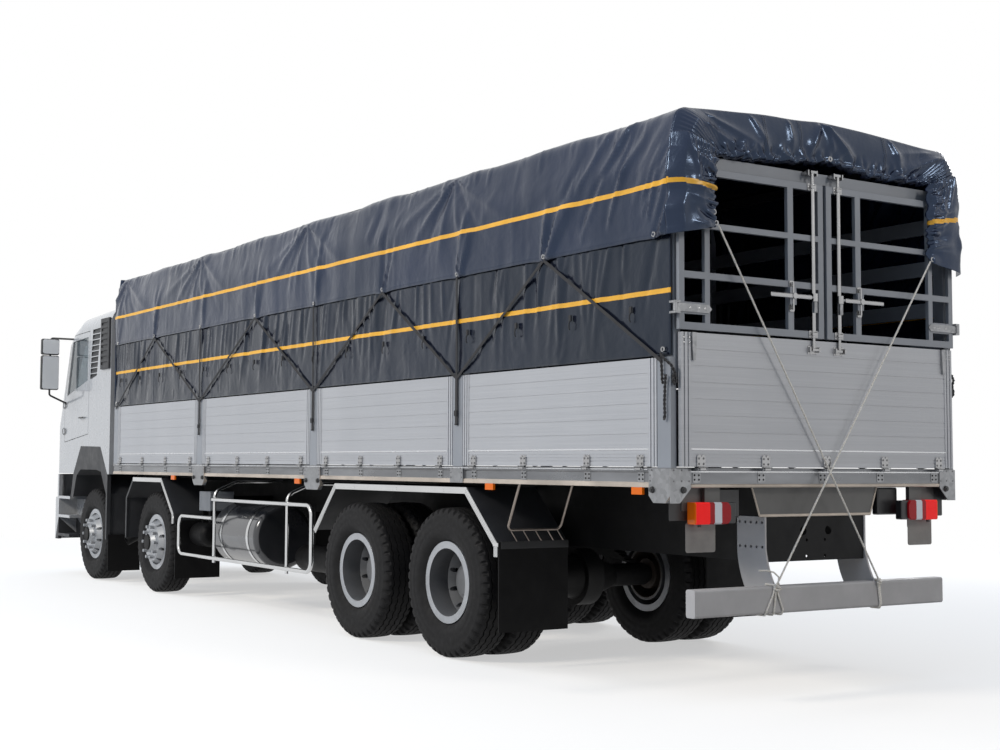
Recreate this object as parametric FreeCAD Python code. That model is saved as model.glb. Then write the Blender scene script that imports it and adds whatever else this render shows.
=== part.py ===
"""Eight-wheel rigid cargo truck with a dropside load body under a tarpaulin.

X points forward, Y to the truck's left and Z up, in millimetres. The origin lies on the ground below the
middle of the whole truck. While modelling, X is counted ahead of the load body's rear face, and every piece
is moved back by ORIGIN_AHEAD when it is saved.
"""
import FreeCAD
import Part
import math
import os

Vector = FreeCAD.Vector

# Driving dimensions of the load body
BODY_LENGTH = 9725.0
BODY_WIDTH = 2500.0
DECK_TOP = 1385.0
SILL_HEIGHT = 117.0
SIDE_GATE_TOP = 2036.0
GATE_FACE_Y = 1238.0
TAILGATE_FACE_AHEAD = -36.0
TAILGATE_TOP = 2182.0
DOOR_TOP = 3175.0
EAVES_HEIGHT = 3520.0
CURTAIN_BREAK = 3200.0
RIDGE_RISE = 70.0

# Driving dimensions of the running gear
AXLE_4_AHEAD = 2506.0
TANDEM_SPACING = 1370.0
AXLE_2_AHEAD = 8571.0
FRONT_AXLE_SPACING = 2055.0
TYRE_RADIUS = 542.5
TYRE_WIDTH = 293.0
FRONT_WHEEL_Y = 1025.0
REAR_TRACK_HALF = 928.5
DUAL_SPACING = 330.0

# Driving dimensions of the frame and cab
FRAME_TOP = 1090.0
RAIL_HEIGHT = 280.0
RAIL_OUTER_Y = 430.0
CAB_HALF_WIDTH = 1240.0
CAB_WALL = 50.0
CAB_FLOOR_TOP = 1560.0
CAB_FLOOR_THICK = 40.0

# Values shared by several pieces
HALF_WIDTH = BODY_WIDTH / 2
SILL_BOTTOM = DECK_TOP - SILL_HEIGHT
RUNNING_GAP = 8.0
SHAFT_GAP = 0.3
FIT_GAP = 0.2
OVERRUN = 5.0
FULL_TURN = 360.0
AXLE_3_AHEAD = AXLE_4_AHEAD + TANDEM_SPACING
AXLE_1_AHEAD = AXLE_2_AHEAD + FRONT_AXLE_SPACING
BOGIE_AHEAD = (AXLE_3_AHEAD + AXLE_4_AHEAD) / 2
STEERED_AXLES = {1: AXLE_1_AHEAD, 2: AXLE_2_AHEAD}
DRIVEN_AXLES = {3: AXLE_3_AHEAD, 4: AXLE_4_AHEAD}
SIDES = {"left": 1, "right": -1}


def box(x_low, x_high, y_low, y_high, z_low, z_high):
    """A block between two corners."""
    return Part.makeBox(x_high - x_low, y_high - y_low, z_high - z_low, Vector(x_low, y_low, z_low))


def rod(start, end, radius):
    """A round bar from one point to another."""
    along = end - start
    return Part.makeCylinder(radius, along.Length, start, along)


def face_of(corners):
    """A flat face inside a closed outline of corner points."""
    return Part.Face(Part.makePolygon(corners + corners[:1]))


def side_prism(outline, y_low, y_high):
    """An outline of (x, z) pairs pushed along Y."""
    return face_of([Vector(x, y_low, z) for x, z in outline]).extrude(Vector(0, y_high - y_low, 0))


def plan_prism(outline, z_low, z_high):
    """An outline of (x, y) pairs pushed along Z."""
    return face_of([Vector(x, y, z_low) for x, y in outline]).extrude(Vector(0, 0, z_high - z_low))


def end_prism(outline, x_low, x_high):
    """An outline of (y, z) pairs pushed along X."""
    return face_of([Vector(x_low, y, z) for y, z in outline]).extrude(Vector(x_high - x_low, 0, 0))


def mirrored(shape):
    """The same shape on the other side of the truck."""
    return shape.mirror(Vector(0, 0, 0), Vector(0, 1, 0))


def pair(shape):
    """A left piece and its mirror image."""
    return [shape, mirrored(shape)]


def on_side(shape, side):
    """A left piece as it is, or mirrored for the right."""
    return shape if SIDES[side] > 0 else mirrored(shape)


def fuse(shapes):
    """One solid from shapes that meet."""
    return shapes[0].multiFuse(shapes[1:]).removeSplitter() if len(shapes) > 1 else shapes[0]


def moved(shape, x=0, y=0, z=0):
    """A copy of the shape, shifted."""
    copy = shape.copy()
    copy.translate(Vector(x, y, z))
    return copy


def bent_tube(points, radius, bend):
    """A round tube of straight runs joined by arcs of one bend radius."""
    pieces = []
    last = points[0]
    for before, corner, after in zip(points, points[1:], points[2:]):
        into = (corner - before).normalize()
        out = (after - corner).normalize()
        turn = into.getAngle(out)
        setback = bend * math.tan(turn / 2)
        start = corner - into * setback
        centre = corner + (out - into).normalize() * (bend / math.cos(turn / 2))
        ring = Part.Face(Part.Wire(Part.makeCircle(radius, start, into)))
        pieces += [rod(last, start, radius), ring.revolve(centre, into.cross(out), math.degrees(turn))]
        last = corner + out * setback
    pieces.append(rod(last, points[-1], radius))
    return fuse(pieces)


def turned(outline, x, y, z):
    """A profile of (radius, outward) pairs turned about an axle at x, z, with outward counted from y."""
    profile = face_of([Vector(radius, outward, 0) for radius, outward in outline])
    return moved(profile.revolve(Vector(0, 0, 0), Vector(0, 1, 0), FULL_TURN), x, y, z)


def save(name, shapes):
    """Writes one sub-part, moved to the truck's own origin."""
    placed = [moved(shape, x=-ORIGIN_AHEAD) for shape in shapes]
    solids = [solid for shape in placed for solid in shape.Solids]
    part = solids[0] if len(solids) == 1 else Part.makeCompound(solids)
    part.exportStep(os.path.join("parts", name + ".step"))
    print(f"{name:24s} solids {len(solids):3d} valid {part.isValid()} litres {part.Volume / 1e6:9.2f}")


# Tyres
BEAD_RADIUS = 257.0
RIM_HALF_WIDTH = 114.0
FLANGE_RADIUS = 297.0
FLANGE_THICK = 12.0
TREAD_HALF_WIDTH = 112.0
CROWN_DROP = 5.0
SHOULDER_DROP = 26.0
SHOULDER_INSET = 12.0
SIDEWALL_WIDEST_RADIUS = 405.0


def tyre(x, y):
    """A closed ring with a slightly crowned tread, round shoulders and bulged sidewalls."""
    half = TYRE_WIDTH / 2
    seat = RIM_HALF_WIDTH - FLANGE_THICK - FIT_GAP
    centre = Vector(TYRE_RADIUS, 0, 0)
    edges = []
    for side in (1, -1):
        tread_edge = Vector(TYRE_RADIUS - CROWN_DROP, side * TREAD_HALF_WIDTH, 0)
        shoulder = Vector(TYRE_RADIUS - SHOULDER_DROP, side * (half - SHOULDER_INSET), 0)
        widest = Vector(SIDEWALL_WIDEST_RADIUS, side * half, 0)
        clear = Vector(FLANGE_RADIUS + FLANGE_THICK / 2, side * seat, 0)
        bead = Vector(BEAD_RADIUS, side * seat, 0)
        edges += [Part.LineSegment(tread_edge, shoulder).toShape(),
                  Part.Arc(shoulder, widest, clear).toShape(), Part.LineSegment(clear, bead).toShape()]
        if side > 0:
            crown = Part.Arc(tread_edge, centre, Vector(tread_edge.x, -tread_edge.y, 0)).toShape()
    bore = Part.LineSegment(Vector(BEAD_RADIUS, seat, 0), Vector(BEAD_RADIUS, -seat, 0))
    wire = Part.Wire(Part.__sortEdges__([crown, bore.toShape()] + edges))
    ring = Part.Face(wire).revolve(Vector(0, 0, 0), Vector(0, 1, 0), FULL_TURN)
    return moved(ring, x, y, TYRE_RADIUS)


# Disc wheels, with the hub and brake drum that turn with them
BARREL_THICK = 11.0
DISC_OFFSET = 165.0
DISC_THICK = 14.0
DISC_FLAT_RADIUS = 206.0
DISC_KNEE_RADIUS = 240.0
DISC_FOOT_OFFSET = 62.0
DISC_KNEE_OFFSET = 100.0
DISC_BORE_RADIUS = 110.0
HUB_RADIUS = 118.0
HUB_NOSE_RADIUS = 78.0
HUB_NOSE_LENGTH = 62.0
HAND_HOLE_COUNT = 10
HAND_HOLE_RADIUS = 17.0
HAND_HOLE_PITCH_RADIUS = 224.0
NUT_COUNT = 10
NUT_PITCH_RADIUS = 167.5
NUT_RADIUS = 17.0
NUT_LENGTH = 48.0
DRUM_RADIUS = 208.0
DRUM_INNER_RADIUS = 186.0
DRUM_DEPTH = 150.0
DRUM_BACK_THICK = 16.0
SPINDLE_RADIUS = 42.0
SPINDLE_TIP_INSET = 14.0


def rim_and_disc(x, y, facing):
    """A pressed disc wheel about a tyre at y. The disc stands out on the side that facing gives, 1 or -1."""
    seat = BEAD_RADIUS - FIT_GAP
    inner = seat - BARREL_THICK
    half = RIM_HALF_WIDTH
    lip = half - FLANGE_THICK
    barrel = [(inner, -half), (FLANGE_RADIUS, -half), (FLANGE_RADIUS, -lip), (seat, -lip), (seat, lip),
              (FLANGE_RADIUS, lip), (FLANGE_RADIUS, half), (inner, half)]
    foot = facing * DISC_FOOT_OFFSET
    knee = facing * DISC_KNEE_OFFSET
    face = facing * DISC_OFFSET
    thick = facing * DISC_THICK
    disc = [(inner + FIT_GAP, foot), (DISC_KNEE_RADIUS, knee), (DISC_FLAT_RADIUS, face),
            (DISC_BORE_RADIUS, face),
            (DISC_BORE_RADIUS, face - thick), (DISC_FLAT_RADIUS - DISC_THICK, face - thick),
            (DISC_KNEE_RADIUS - DISC_THICK, knee - thick), (inner + FIT_GAP, foot - thick)]
    plate = turned(disc, x, y, TYRE_RADIUS)
    holes = []
    for index in range(HAND_HOLE_COUNT):
        angle = 2 * math.pi * (index + 0.5) / HAND_HOLE_COUNT
        at = Vector(x + HAND_HOLE_PITCH_RADIUS * math.cos(angle), y,
                    TYRE_RADIUS + HAND_HOLE_PITCH_RADIUS * math.sin(angle))
        holes.append(rod(at, at + Vector(0, 2 * face, 0), HAND_HOLE_RADIUS))
    return [turned(barrel, x, y, TYRE_RADIUS), plate.cut(holes)]


def nuts(x, y, outward):
    """A ring of wheel nuts that stand out from a disc face at y."""
    ring = []
    for index in range(NUT_COUNT):
        angle = 2 * math.pi * index / NUT_COUNT
        at = Vector(x + NUT_PITCH_RADIUS * math.cos(angle), y,
                    TYRE_RADIUS + NUT_PITCH_RADIUS * math.sin(angle))
        ring.append(rod(at, at + Vector(0, outward * NUT_LENGTH, 0), NUT_RADIUS))
    return ring


def steered_wheel(x):
    """A left front wheel: disc outward, hub with a nose, and the drum open towards the brake."""
    y = FRONT_WHEEL_Y
    face = y + DISC_OFFSET
    spindle_tip = face - SPINDLE_TIP_INSET
    bore = SPINDLE_RADIUS + SHAFT_GAP
    back = face - DISC_THICK
    drum_open = back - DRUM_DEPTH
    hub = [(bore, drum_open - y + DRUM_BACK_THICK), (bore, spindle_tip + SHAFT_GAP - y),
           (0, spindle_tip + SHAFT_GAP - y), (0, face + HUB_NOSE_LENGTH - y),
           (HUB_NOSE_RADIUS, face + HUB_NOSE_LENGTH - y), (HUB_RADIUS, face - y),
           (HUB_RADIUS, back - y), (DRUM_RADIUS, back - y), (DRUM_RADIUS, drum_open - y),
           (DRUM_INNER_RADIUS, drum_open - y), (DRUM_INNER_RADIUS, back - DRUM_BACK_THICK - y),
           (HUB_NOSE_RADIUS, back - DRUM_BACK_THICK - y), (HUB_NOSE_RADIUS, drum_open - y + DRUM_BACK_THICK)]
    return fuse(rim_and_disc(x, y, 1) + [turned(hub, x, y, TYRE_RADIUS)] + nuts(x, face, 1))


AXLE_TUBE_RADIUS = 68.0
HUB_REDUCTION_RADIUS = 126.0
HUB_REDUCTION_LENGTH = 120.0
AXLE_FLANGE_RADIUS = 92.0
AXLE_FLANGE_LENGTH = 18.0


def dual_wheel(x):
    """A left pair of driven wheels, disc to disc, on one hub that turns on the axle tube's end."""
    middle = REAR_TRACK_HALF
    outer = middle + DUAL_SPACING / 2
    inner = middle - DUAL_SPACING / 2
    bore = AXLE_TUBE_RADIUS + SHAFT_GAP
    end = middle + HUB_REDUCTION_LENGTH
    drum_open = inner - RIM_HALF_WIDTH
    drum_back = middle - DISC_THICK - DRUM_BACK_THICK
    tip = middle + SHAFT_GAP
    hub = [(bore, drum_open + DRUM_BACK_THICK), (bore, tip), (0, tip), (0, end + AXLE_FLANGE_LENGTH),
           (AXLE_FLANGE_RADIUS, end + AXLE_FLANGE_LENGTH), (AXLE_FLANGE_RADIUS, end),
           (HUB_REDUCTION_RADIUS, end), (HUB_REDUCTION_RADIUS, drum_back), (DRUM_RADIUS, drum_back),
           (DRUM_RADIUS, drum_open), (DRUM_INNER_RADIUS, drum_open),
           (DRUM_INNER_RADIUS, drum_back - DRUM_BACK_THICK), (HUB_RADIUS, drum_back - DRUM_BACK_THICK),
           (HUB_RADIUS, drum_open + DRUM_BACK_THICK)]
    pieces = rim_and_disc(x, outer, -1) + rim_and_disc(x, inner, 1) + [turned(hub, x, 0, TYRE_RADIUS)]
    return fuse(pieces + nuts(x, middle + DISC_THICK, 1))


def wheels():
    """Every tyre and wheel of the truck. Twin tyres share a node."""
    for number, ahead in STEERED_AXLES.items():
        for side in SIDES:
            save(f"tyre_{number}_{side}", [on_side(tyre(ahead, FRONT_WHEEL_Y), side)])
            save(f"wheel_{number}_{side}", [on_side(steered_wheel(ahead), side)])
    for number, ahead in DRIVEN_AXLES.items():
        for side in SIDES:
            twins = [tyre(ahead, REAR_TRACK_HALF + step * DUAL_SPACING / 2) for step in (1, -1)]
            save(f"tyres_{number}_{side}", [on_side(twin, side) for twin in twins])
            save(f"wheels_{number}_{side}", [on_side(dual_wheel(ahead), side)])


# Steered axles: a forged beam, with a knuckle on a kingpin at each end
KINGPIN_Y = 835.0
KINGPIN_RADIUS = 24.0
EYE_RADIUS = 46.0
EYE_HALF_HEIGHT = 52.0
BEAM_DROP = 115.0
BEAM_HEIGHT = 92.0
BEAM_WIDTH = 105.0
BEAM_WEB = 36.0
BEAM_FLANGE = 22.0
BEAM_PAD_Y = 410.0
BEAM_BEND_Y = 610.0
BEAM_END_Y = 765.0
EAR_THICK = 34.0
EAR_GAP = 2.0
EAR_RADIUS = 50.0
YOKE_OUTER_Y = 962.0
YOKE_INNER_Y = 898.0
YOKE_HALF_WIDTH = 62.0
BRAKE_PLATE_RADIUS = 176.0
BRAKE_PLATE_THICK = 12.0
ARM_LENGTH = 210.0
ARM_WIDTH = 38.0
ARM_THICK = 30.0
TRACK_ROD_RADIUS = 20.0


def axle_beam(ahead):
    """A drop beam of I section with an eye for the kingpin at each end."""
    top = TYRE_RADIUS - BEAM_DROP
    bottom = top - BEAM_HEIGHT
    eye_top = TYRE_RADIUS + EYE_HALF_HEIGHT
    eye_bottom = TYRE_RADIUS - EYE_HALF_HEIGHT
    upper = [(0, top), (BEAM_BEND_Y, top), (BEAM_END_Y, eye_top), (KINGPIN_Y, eye_top)]
    lower = [(KINGPIN_Y, eye_bottom), (BEAM_END_Y, eye_bottom), (BEAM_BEND_Y, bottom), (0, bottom)]
    outline = upper + lower
    web = end_prism(outline, ahead - BEAM_WEB / 2, ahead + BEAM_WEB / 2)
    inset_upper = [(y, z - BEAM_FLANGE) for y, z in upper]
    inset_lower = [(y, z + BEAM_FLANGE) for y, z in lower]
    full = end_prism(outline, ahead - BEAM_WIDTH / 2, ahead + BEAM_WIDTH / 2)
    flanges = full.cut(end_prism(inset_upper + inset_lower, ahead - BEAM_WIDTH, ahead + BEAM_WIDTH))
    eye = rod(Vector(ahead, KINGPIN_Y, eye_bottom), Vector(ahead, KINGPIN_Y, eye_top), EYE_RADIUS)
    trim = box(ahead - BEAM_WIDTH, ahead + BEAM_WIDTH, KINGPIN_Y, KINGPIN_Y + BEAM_WIDTH, bottom, eye_top)
    half = fuse([web, flanges]).cut(trim)
    half = fuse([half, eye])
    clear = rod(Vector(ahead, KINGPIN_Y, eye_bottom - OVERRUN), Vector(ahead, KINGPIN_Y, eye_top + OVERRUN),
                KINGPIN_RADIUS + SHAFT_GAP)
    return fuse(pair(half.cut(clear)))


def knuckle(ahead):
    """A left knuckle: two ears on a kingpin, the brake's back plate, the spindle and a steering arm."""
    low = TYRE_RADIUS - EYE_HALF_HEIGHT - EAR_GAP - EAR_THICK
    high = TYRE_RADIUS + EYE_HALF_HEIGHT + EAR_GAP + EAR_THICK
    pieces = [rod(Vector(ahead, KINGPIN_Y, low), Vector(ahead, KINGPIN_Y, high), KINGPIN_RADIUS)]
    for start in (low, high - EAR_THICK):
        pieces.append(rod(Vector(ahead, KINGPIN_Y, start), Vector(ahead, KINGPIN_Y, start + EAR_THICK),
                          EAR_RADIUS))
        pieces.append(box(ahead - EAR_RADIUS, ahead + EAR_RADIUS, KINGPIN_Y, YOKE_INNER_Y, start,
                          start + EAR_THICK))
    pieces.append(box(ahead - YOKE_HALF_WIDTH, ahead + YOKE_HALF_WIDTH, YOKE_INNER_Y, YOKE_OUTER_Y, low,
                      high))
    plate_y = YOKE_OUTER_Y
    pieces.append(rod(Vector(ahead, plate_y, TYRE_RADIUS),
                      Vector(ahead, plate_y + BRAKE_PLATE_THICK, TYRE_RADIUS), BRAKE_PLATE_RADIUS))
    tip = FRONT_WHEEL_Y + DISC_OFFSET - SPINDLE_TIP_INSET
    pieces.append(rod(Vector(ahead, plate_y, TYRE_RADIUS), Vector(ahead, tip, TYRE_RADIUS), SPINDLE_RADIUS))
    arm_back = ahead - ARM_LENGTH
    pieces.append(box(arm_back, ahead, KINGPIN_Y - ARM_WIDTH / 2, KINGPIN_Y + ARM_WIDTH / 2,
                      low - ARM_THICK, low))
    pieces.append(rod(Vector(ahead, KINGPIN_Y, low - ARM_THICK), Vector(ahead, KINGPIN_Y, low), EAR_RADIUS))
    return fuse(pieces)


# Driven axles
BANJO_RADIUS = 215.0
BANJO_HALF_WIDTH = 150.0
BANJO_RIM = 46.0
NOSE_RADIUS = 118.0
NOSE_LENGTH = 330.0
PINION_RADIUS = 62.0
PINION_LENGTH = 40.0
AXLE_SHOULDER_RADIUS = 88.0
AXLE_SHOULDER_END_Y = 628.0


def driven_axle(ahead):
    """A banjo housing with a domed cover behind, a pinion nose ahead and tubes out to both hubs."""
    z = TYRE_RADIUS
    pot = rod(Vector(ahead, -BANJO_HALF_WIDTH / 2, z), Vector(ahead, BANJO_HALF_WIDTH / 2, z), BANJO_RADIUS)
    swell = [(0, -BANJO_HALF_WIDTH), (0, BANJO_HALF_WIDTH * 2), (AXLE_SHOULDER_RADIUS, BANJO_HALF_WIDTH * 2),
             (BANJO_RADIUS - BANJO_RIM, BANJO_HALF_WIDTH / 2),
             (BANJO_RADIUS - BANJO_RIM, -BANJO_HALF_WIDTH / 2)]
    shoulder = turned(swell, ahead, 0, z)
    tube_end = REAR_TRACK_HALF
    tubes = rod(Vector(ahead, -tube_end, z), Vector(ahead, tube_end, z), AXLE_TUBE_RADIUS)
    thick = rod(Vector(ahead, -AXLE_SHOULDER_END_Y, z), Vector(ahead, AXLE_SHOULDER_END_Y, z),
                AXLE_SHOULDER_RADIUS)
    nose = Part.makeCone(BANJO_RADIUS - BANJO_RIM, NOSE_RADIUS, NOSE_LENGTH, Vector(ahead, 0, z),
                         Vector(1, 0, 0))
    tip = ahead + NOSE_LENGTH
    pinion = rod(Vector(tip, 0, z), Vector(tip + PINION_LENGTH, 0, z), PINION_RADIUS)
    return fuse([pot, shoulder, mirrored(shoulder), tubes, thick, nose, pinion])


def axles():
    """Two front beams, two driven axles and the four knuckles."""
    save("front_axle_beams", [axle_beam(ahead) for ahead in STEERED_AXLES.values()])
    save("driven_axles", [driven_axle(ahead) for ahead in DRIVEN_AXLES.values()])
    for number, ahead in STEERED_AXLES.items():
        for side in SIDES:
            save(f"knuckle_{number}_{side}", [on_side(knuckle(ahead), side)])


# Leaf springs, as packs of arched leaves
LEAF_WIDTH = 80.0
LEAF_THICK = 15.0
FRONT_LEAF_COUNT = 5
FRONT_SPRING_HALF_SPAN = 690.0
FRONT_SPRING_CAMBER = 88.0
SPRING_EYE_RADIUS = 32.0
SPRING_PIN_RADIUS = 16.0
LEAF_STEP_SHARE = 0.16
BOGIE_LEAF_COUNT = 9
BOGIE_LEAF_THICK = 18.0
BOGIE_CAMBER = 60.0
BOGIE_SPRING_Y = 522.0
SPRING_SEAT_THICK = 20.0


def arched_leaf(x, z, half_span, camber, thick, y_low):
    """One leaf: an arc through its middle at x, z, with both ends camber higher."""
    ends = [Vector(x + way * half_span, y_low, z + camber) for way in (-1, 1)]
    middle = Vector(x, y_low, z)
    lift = Vector(0, 0, thick)
    lower = Part.Arc(ends[0], middle, ends[1]).toShape()
    upper = Part.Arc(ends[1] + lift, middle + lift, ends[0] + lift).toShape()
    caps = [Part.LineSegment(ends[1], ends[1] + lift).toShape(),
            Part.LineSegment(ends[0] + lift, ends[0]).toShape()]
    outline = Part.Wire([lower, caps[0], upper, caps[1]])
    return Part.Face(outline).extrude(Vector(0, LEAF_WIDTH, 0))


def leaf_pack(x, z, half_span, camber, thick, count, y, longest_first):
    """Stacked leaves upward from z, each shorter than the last and lying on it."""
    leaves = []
    for index in range(count):
        shorter = index if longest_first else count - 1 - index
        share = 1 - LEAF_STEP_SHARE * shorter * (FRONT_LEAF_COUNT / count)
        leaves.append(arched_leaf(x, z + index * thick, half_span * share, camber * share * share, thick,
                                  y - LEAF_WIDTH / 2))
    return fuse(leaves)


def front_spring(ahead):
    """A left front pack, shortest leaf below, with an eye rolled at each end of the longest."""
    z = TYRE_RADIUS - BEAM_DROP + SPRING_SEAT_THICK
    y = BEAM_PAD_Y
    pack = leaf_pack(ahead, z, FRONT_SPRING_HALF_SPAN, FRONT_SPRING_CAMBER, LEAF_THICK, FRONT_LEAF_COUNT, y,
                     False)
    pieces = [pack]
    bores = []
    for eye in spring_eyes(ahead):
        pieces.append(rod(eye - Vector(0, LEAF_WIDTH / 2, 0), eye + Vector(0, LEAF_WIDTH / 2, 0),
                          SPRING_EYE_RADIUS))
        bores.append(rod(eye - Vector(0, LEAF_WIDTH, 0), eye + Vector(0, LEAF_WIDTH, 0),
                         SPRING_PIN_RADIUS + FIT_GAP))
    seat = box(ahead - BEAM_WIDTH / 2, ahead + BEAM_WIDTH / 2, y - LEAF_WIDTH / 2, y + LEAF_WIDTH / 2,
               z - SPRING_SEAT_THICK, z + LEAF_THICK)
    return fuse(pieces + [seat]).cut(bores)


def spring_eyes(ahead):
    """The middles of a left front spring's two eyes."""
    z = (TYRE_RADIUS - BEAM_DROP + SPRING_SEAT_THICK + (FRONT_LEAF_COUNT - 1) * LEAF_THICK
         + FRONT_SPRING_CAMBER
         + SPRING_EYE_RADIUS)
    return [Vector(ahead + way * FRONT_SPRING_HALF_SPAN, BEAM_PAD_Y, z) for way in (-1, 1)]


def bogie_spring():
    """A left bogie pack, arched upward, that lies with its ends on the two driven axles."""
    half_span = TANDEM_SPACING / 2
    rest = TYRE_RADIUS + AXLE_SHOULDER_RADIUS + BOGIE_CAMBER
    return leaf_pack(BOGIE_AHEAD, rest, half_span, -BOGIE_CAMBER, BOGIE_LEAF_THICK, BOGIE_LEAF_COUNT,
                     BOGIE_SPRING_Y, True)


def springs():
    """Every leaf spring, in one node."""
    packs = [front_spring(ahead) for ahead in STEERED_AXLES.values()] + [bogie_spring()]
    save("leaf_springs", packs + [mirrored(pack) for pack in packs])


# Chassis frame: two channel rails, cross members, spring hangers and the bogie's brackets
RAIL_FLANGE = 85.0
RAIL_THICK = 9.0
FRAME_REAR_AHEAD = 60.0
FRAME_FRONT_AHEAD = 11560.0
CROSS_MEMBER_HEIGHT = 120.0
CROSS_MEMBER_FLANGE = 60.0
CROSS_MEMBERS_AHEAD = (700.0, 1850.0, 3191.0, 4700.0, 5900.0, 7150.0, 8600.0, 11500.0)
END_MEMBER_HOLE_RADIUS = 28.0
END_MEMBER_HOLE_Y = 110.0
TOW_SPACING_Y = 160.0
TOW_SPACING_Z = 100.0
TOW_HOLE_RADIUS = 10.5
TOW_CENTRE_Z = 890.0
CAB_MOUNTS_AHEAD = (10060.0, 11500.0)
CAB_MOUNT_LENGTH = 90.0
HANGER_WIDTH = 70.0
HANGER_THICK = 12.0
TRUNNION_WIDTH = 260.0
TRUNNION_FOOT_WIDTH = 170.0
TRUNNION_THICK = 14.0
SADDLE_HEIGHT = 34.0


def channel(length, height, flange, thick):
    """A channel along X from zero: web at Y zero, flanges towards negative Y, bottom at Z zero."""
    outline = [(0, 0), (0, height), (-flange, height), (-flange, height - thick), (-thick, height - thick),
               (-thick, thick), (-flange, thick), (-flange, 0)]
    return end_prism(outline, 0, length)


def cross_member(ahead):
    """A channel across the frame, open to the rear."""
    z = FRAME_TOP - RAIL_THICK - CROSS_MEMBER_HEIGHT
    y = RAIL_OUTER_Y - RAIL_THICK
    flange = CROSS_MEMBER_FLANGE
    outline = [(ahead, z), (ahead, z + CROSS_MEMBER_HEIGHT), (ahead - flange, z + CROSS_MEMBER_HEIGHT),
               (ahead - flange, z + CROSS_MEMBER_HEIGHT - RAIL_THICK),
               (ahead - RAIL_THICK, z + CROSS_MEMBER_HEIGHT - RAIL_THICK),
               (ahead - RAIL_THICK, z + RAIL_THICK), (ahead - flange, z + RAIL_THICK), (ahead - flange, z)]
    return side_prism(outline, -y, y)


def end_member():
    """The plate at the frame's rear end, with two round holes over four bolt holes for a coupling."""
    low = FRAME_TOP - RAIL_HEIGHT
    plate = box(FRAME_REAR_AHEAD, FRAME_REAR_AHEAD + RAIL_THICK, -RAIL_OUTER_Y, RAIL_OUTER_Y, low, FRAME_TOP)
    z = FRAME_TOP - RAIL_HEIGHT / 3
    holes = [rod(Vector(FRAME_REAR_AHEAD - OVERRUN, way * END_MEMBER_HOLE_Y, z),
                 Vector(FRAME_REAR_AHEAD + RAIL_THICK + OVERRUN, way * END_MEMBER_HOLE_Y, z),
                 END_MEMBER_HOLE_RADIUS) for way in (1, -1)]
    for across in (1, -1):
        for up in (1, -1):
            at = Vector(FRAME_REAR_AHEAD - OVERRUN, across * TOW_SPACING_Y / 2,
                        TOW_CENTRE_Z + up * TOW_SPACING_Z / 2)
            holes.append(rod(at, at + Vector(RAIL_THICK + 2 * OVERRUN, 0, 0), TOW_HOLE_RADIUS))
    return plate.cut(holes)


def spring_hanger(eye):
    """A left hanger: two cheeks from the rail down to a spring eye, and the pin through it."""
    rail_bottom = FRAME_TOP - RAIL_HEIGHT
    cheeks = []
    for side in (1, -1):
        near = eye.y + side * (LEAF_WIDTH / 2 + FIT_GAP)
        far = near + side * HANGER_THICK
        outline = [(eye.x - HANGER_WIDTH, rail_bottom + RAIL_THICK),
                   (eye.x + HANGER_WIDTH, rail_bottom + RAIL_THICK),
                   (eye.x + SPRING_EYE_RADIUS, eye.z - SPRING_EYE_RADIUS),
                   (eye.x - SPRING_EYE_RADIUS, eye.z - SPRING_EYE_RADIUS)]
        cheeks.append(side_prism(outline, min(near, far), max(near, far)))
    reach = LEAF_WIDTH / 2 + FIT_GAP + HANGER_THICK
    pin = rod(eye - Vector(0, reach, 0), eye + Vector(0, reach, 0), SPRING_PIN_RADIUS)
    bridge = box(eye.x - HANGER_WIDTH, eye.x + HANGER_WIDTH, eye.y - reach, eye.y + reach,
                 rail_bottom - HANGER_THICK, rail_bottom)
    room = box(eye.x - HANGER_WIDTH, eye.x + HANGER_WIDTH, eye.y - LEAF_WIDTH / 2 - FIT_GAP,
               eye.y + LEAF_WIDTH / 2 + FIT_GAP, rail_bottom, rail_bottom + RAIL_THICK)
    return fuse([fuse(cheeks).cut(room), pin, bridge])


def trunnion_bracket():
    """A left bogie bracket: a plate on the rail and an arm out over the spring's middle."""
    spring_top = (TYRE_RADIUS + AXLE_SHOULDER_RADIUS + BOGIE_CAMBER + BOGIE_LEAF_COUNT * BOGIE_LEAF_THICK)
    half_top = TRUNNION_WIDTH / 2
    half_foot = TRUNNION_FOOT_WIDTH / 2
    plate = side_prism([(BOGIE_AHEAD - half_top, FRAME_TOP - RAIL_THICK),
                        (BOGIE_AHEAD + half_top, FRAME_TOP - RAIL_THICK),
                        (BOGIE_AHEAD + half_foot, spring_top), (BOGIE_AHEAD - half_foot, spring_top)],
                       RAIL_OUTER_Y, RAIL_OUTER_Y + TRUNNION_THICK)
    arm = box(BOGIE_AHEAD - half_foot, BOGIE_AHEAD + half_foot, RAIL_OUTER_Y, BOGIE_SPRING_Y + LEAF_WIDTH / 2,
              spring_top, spring_top + SADDLE_HEIGHT)
    return fuse([plate, arm])


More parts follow.
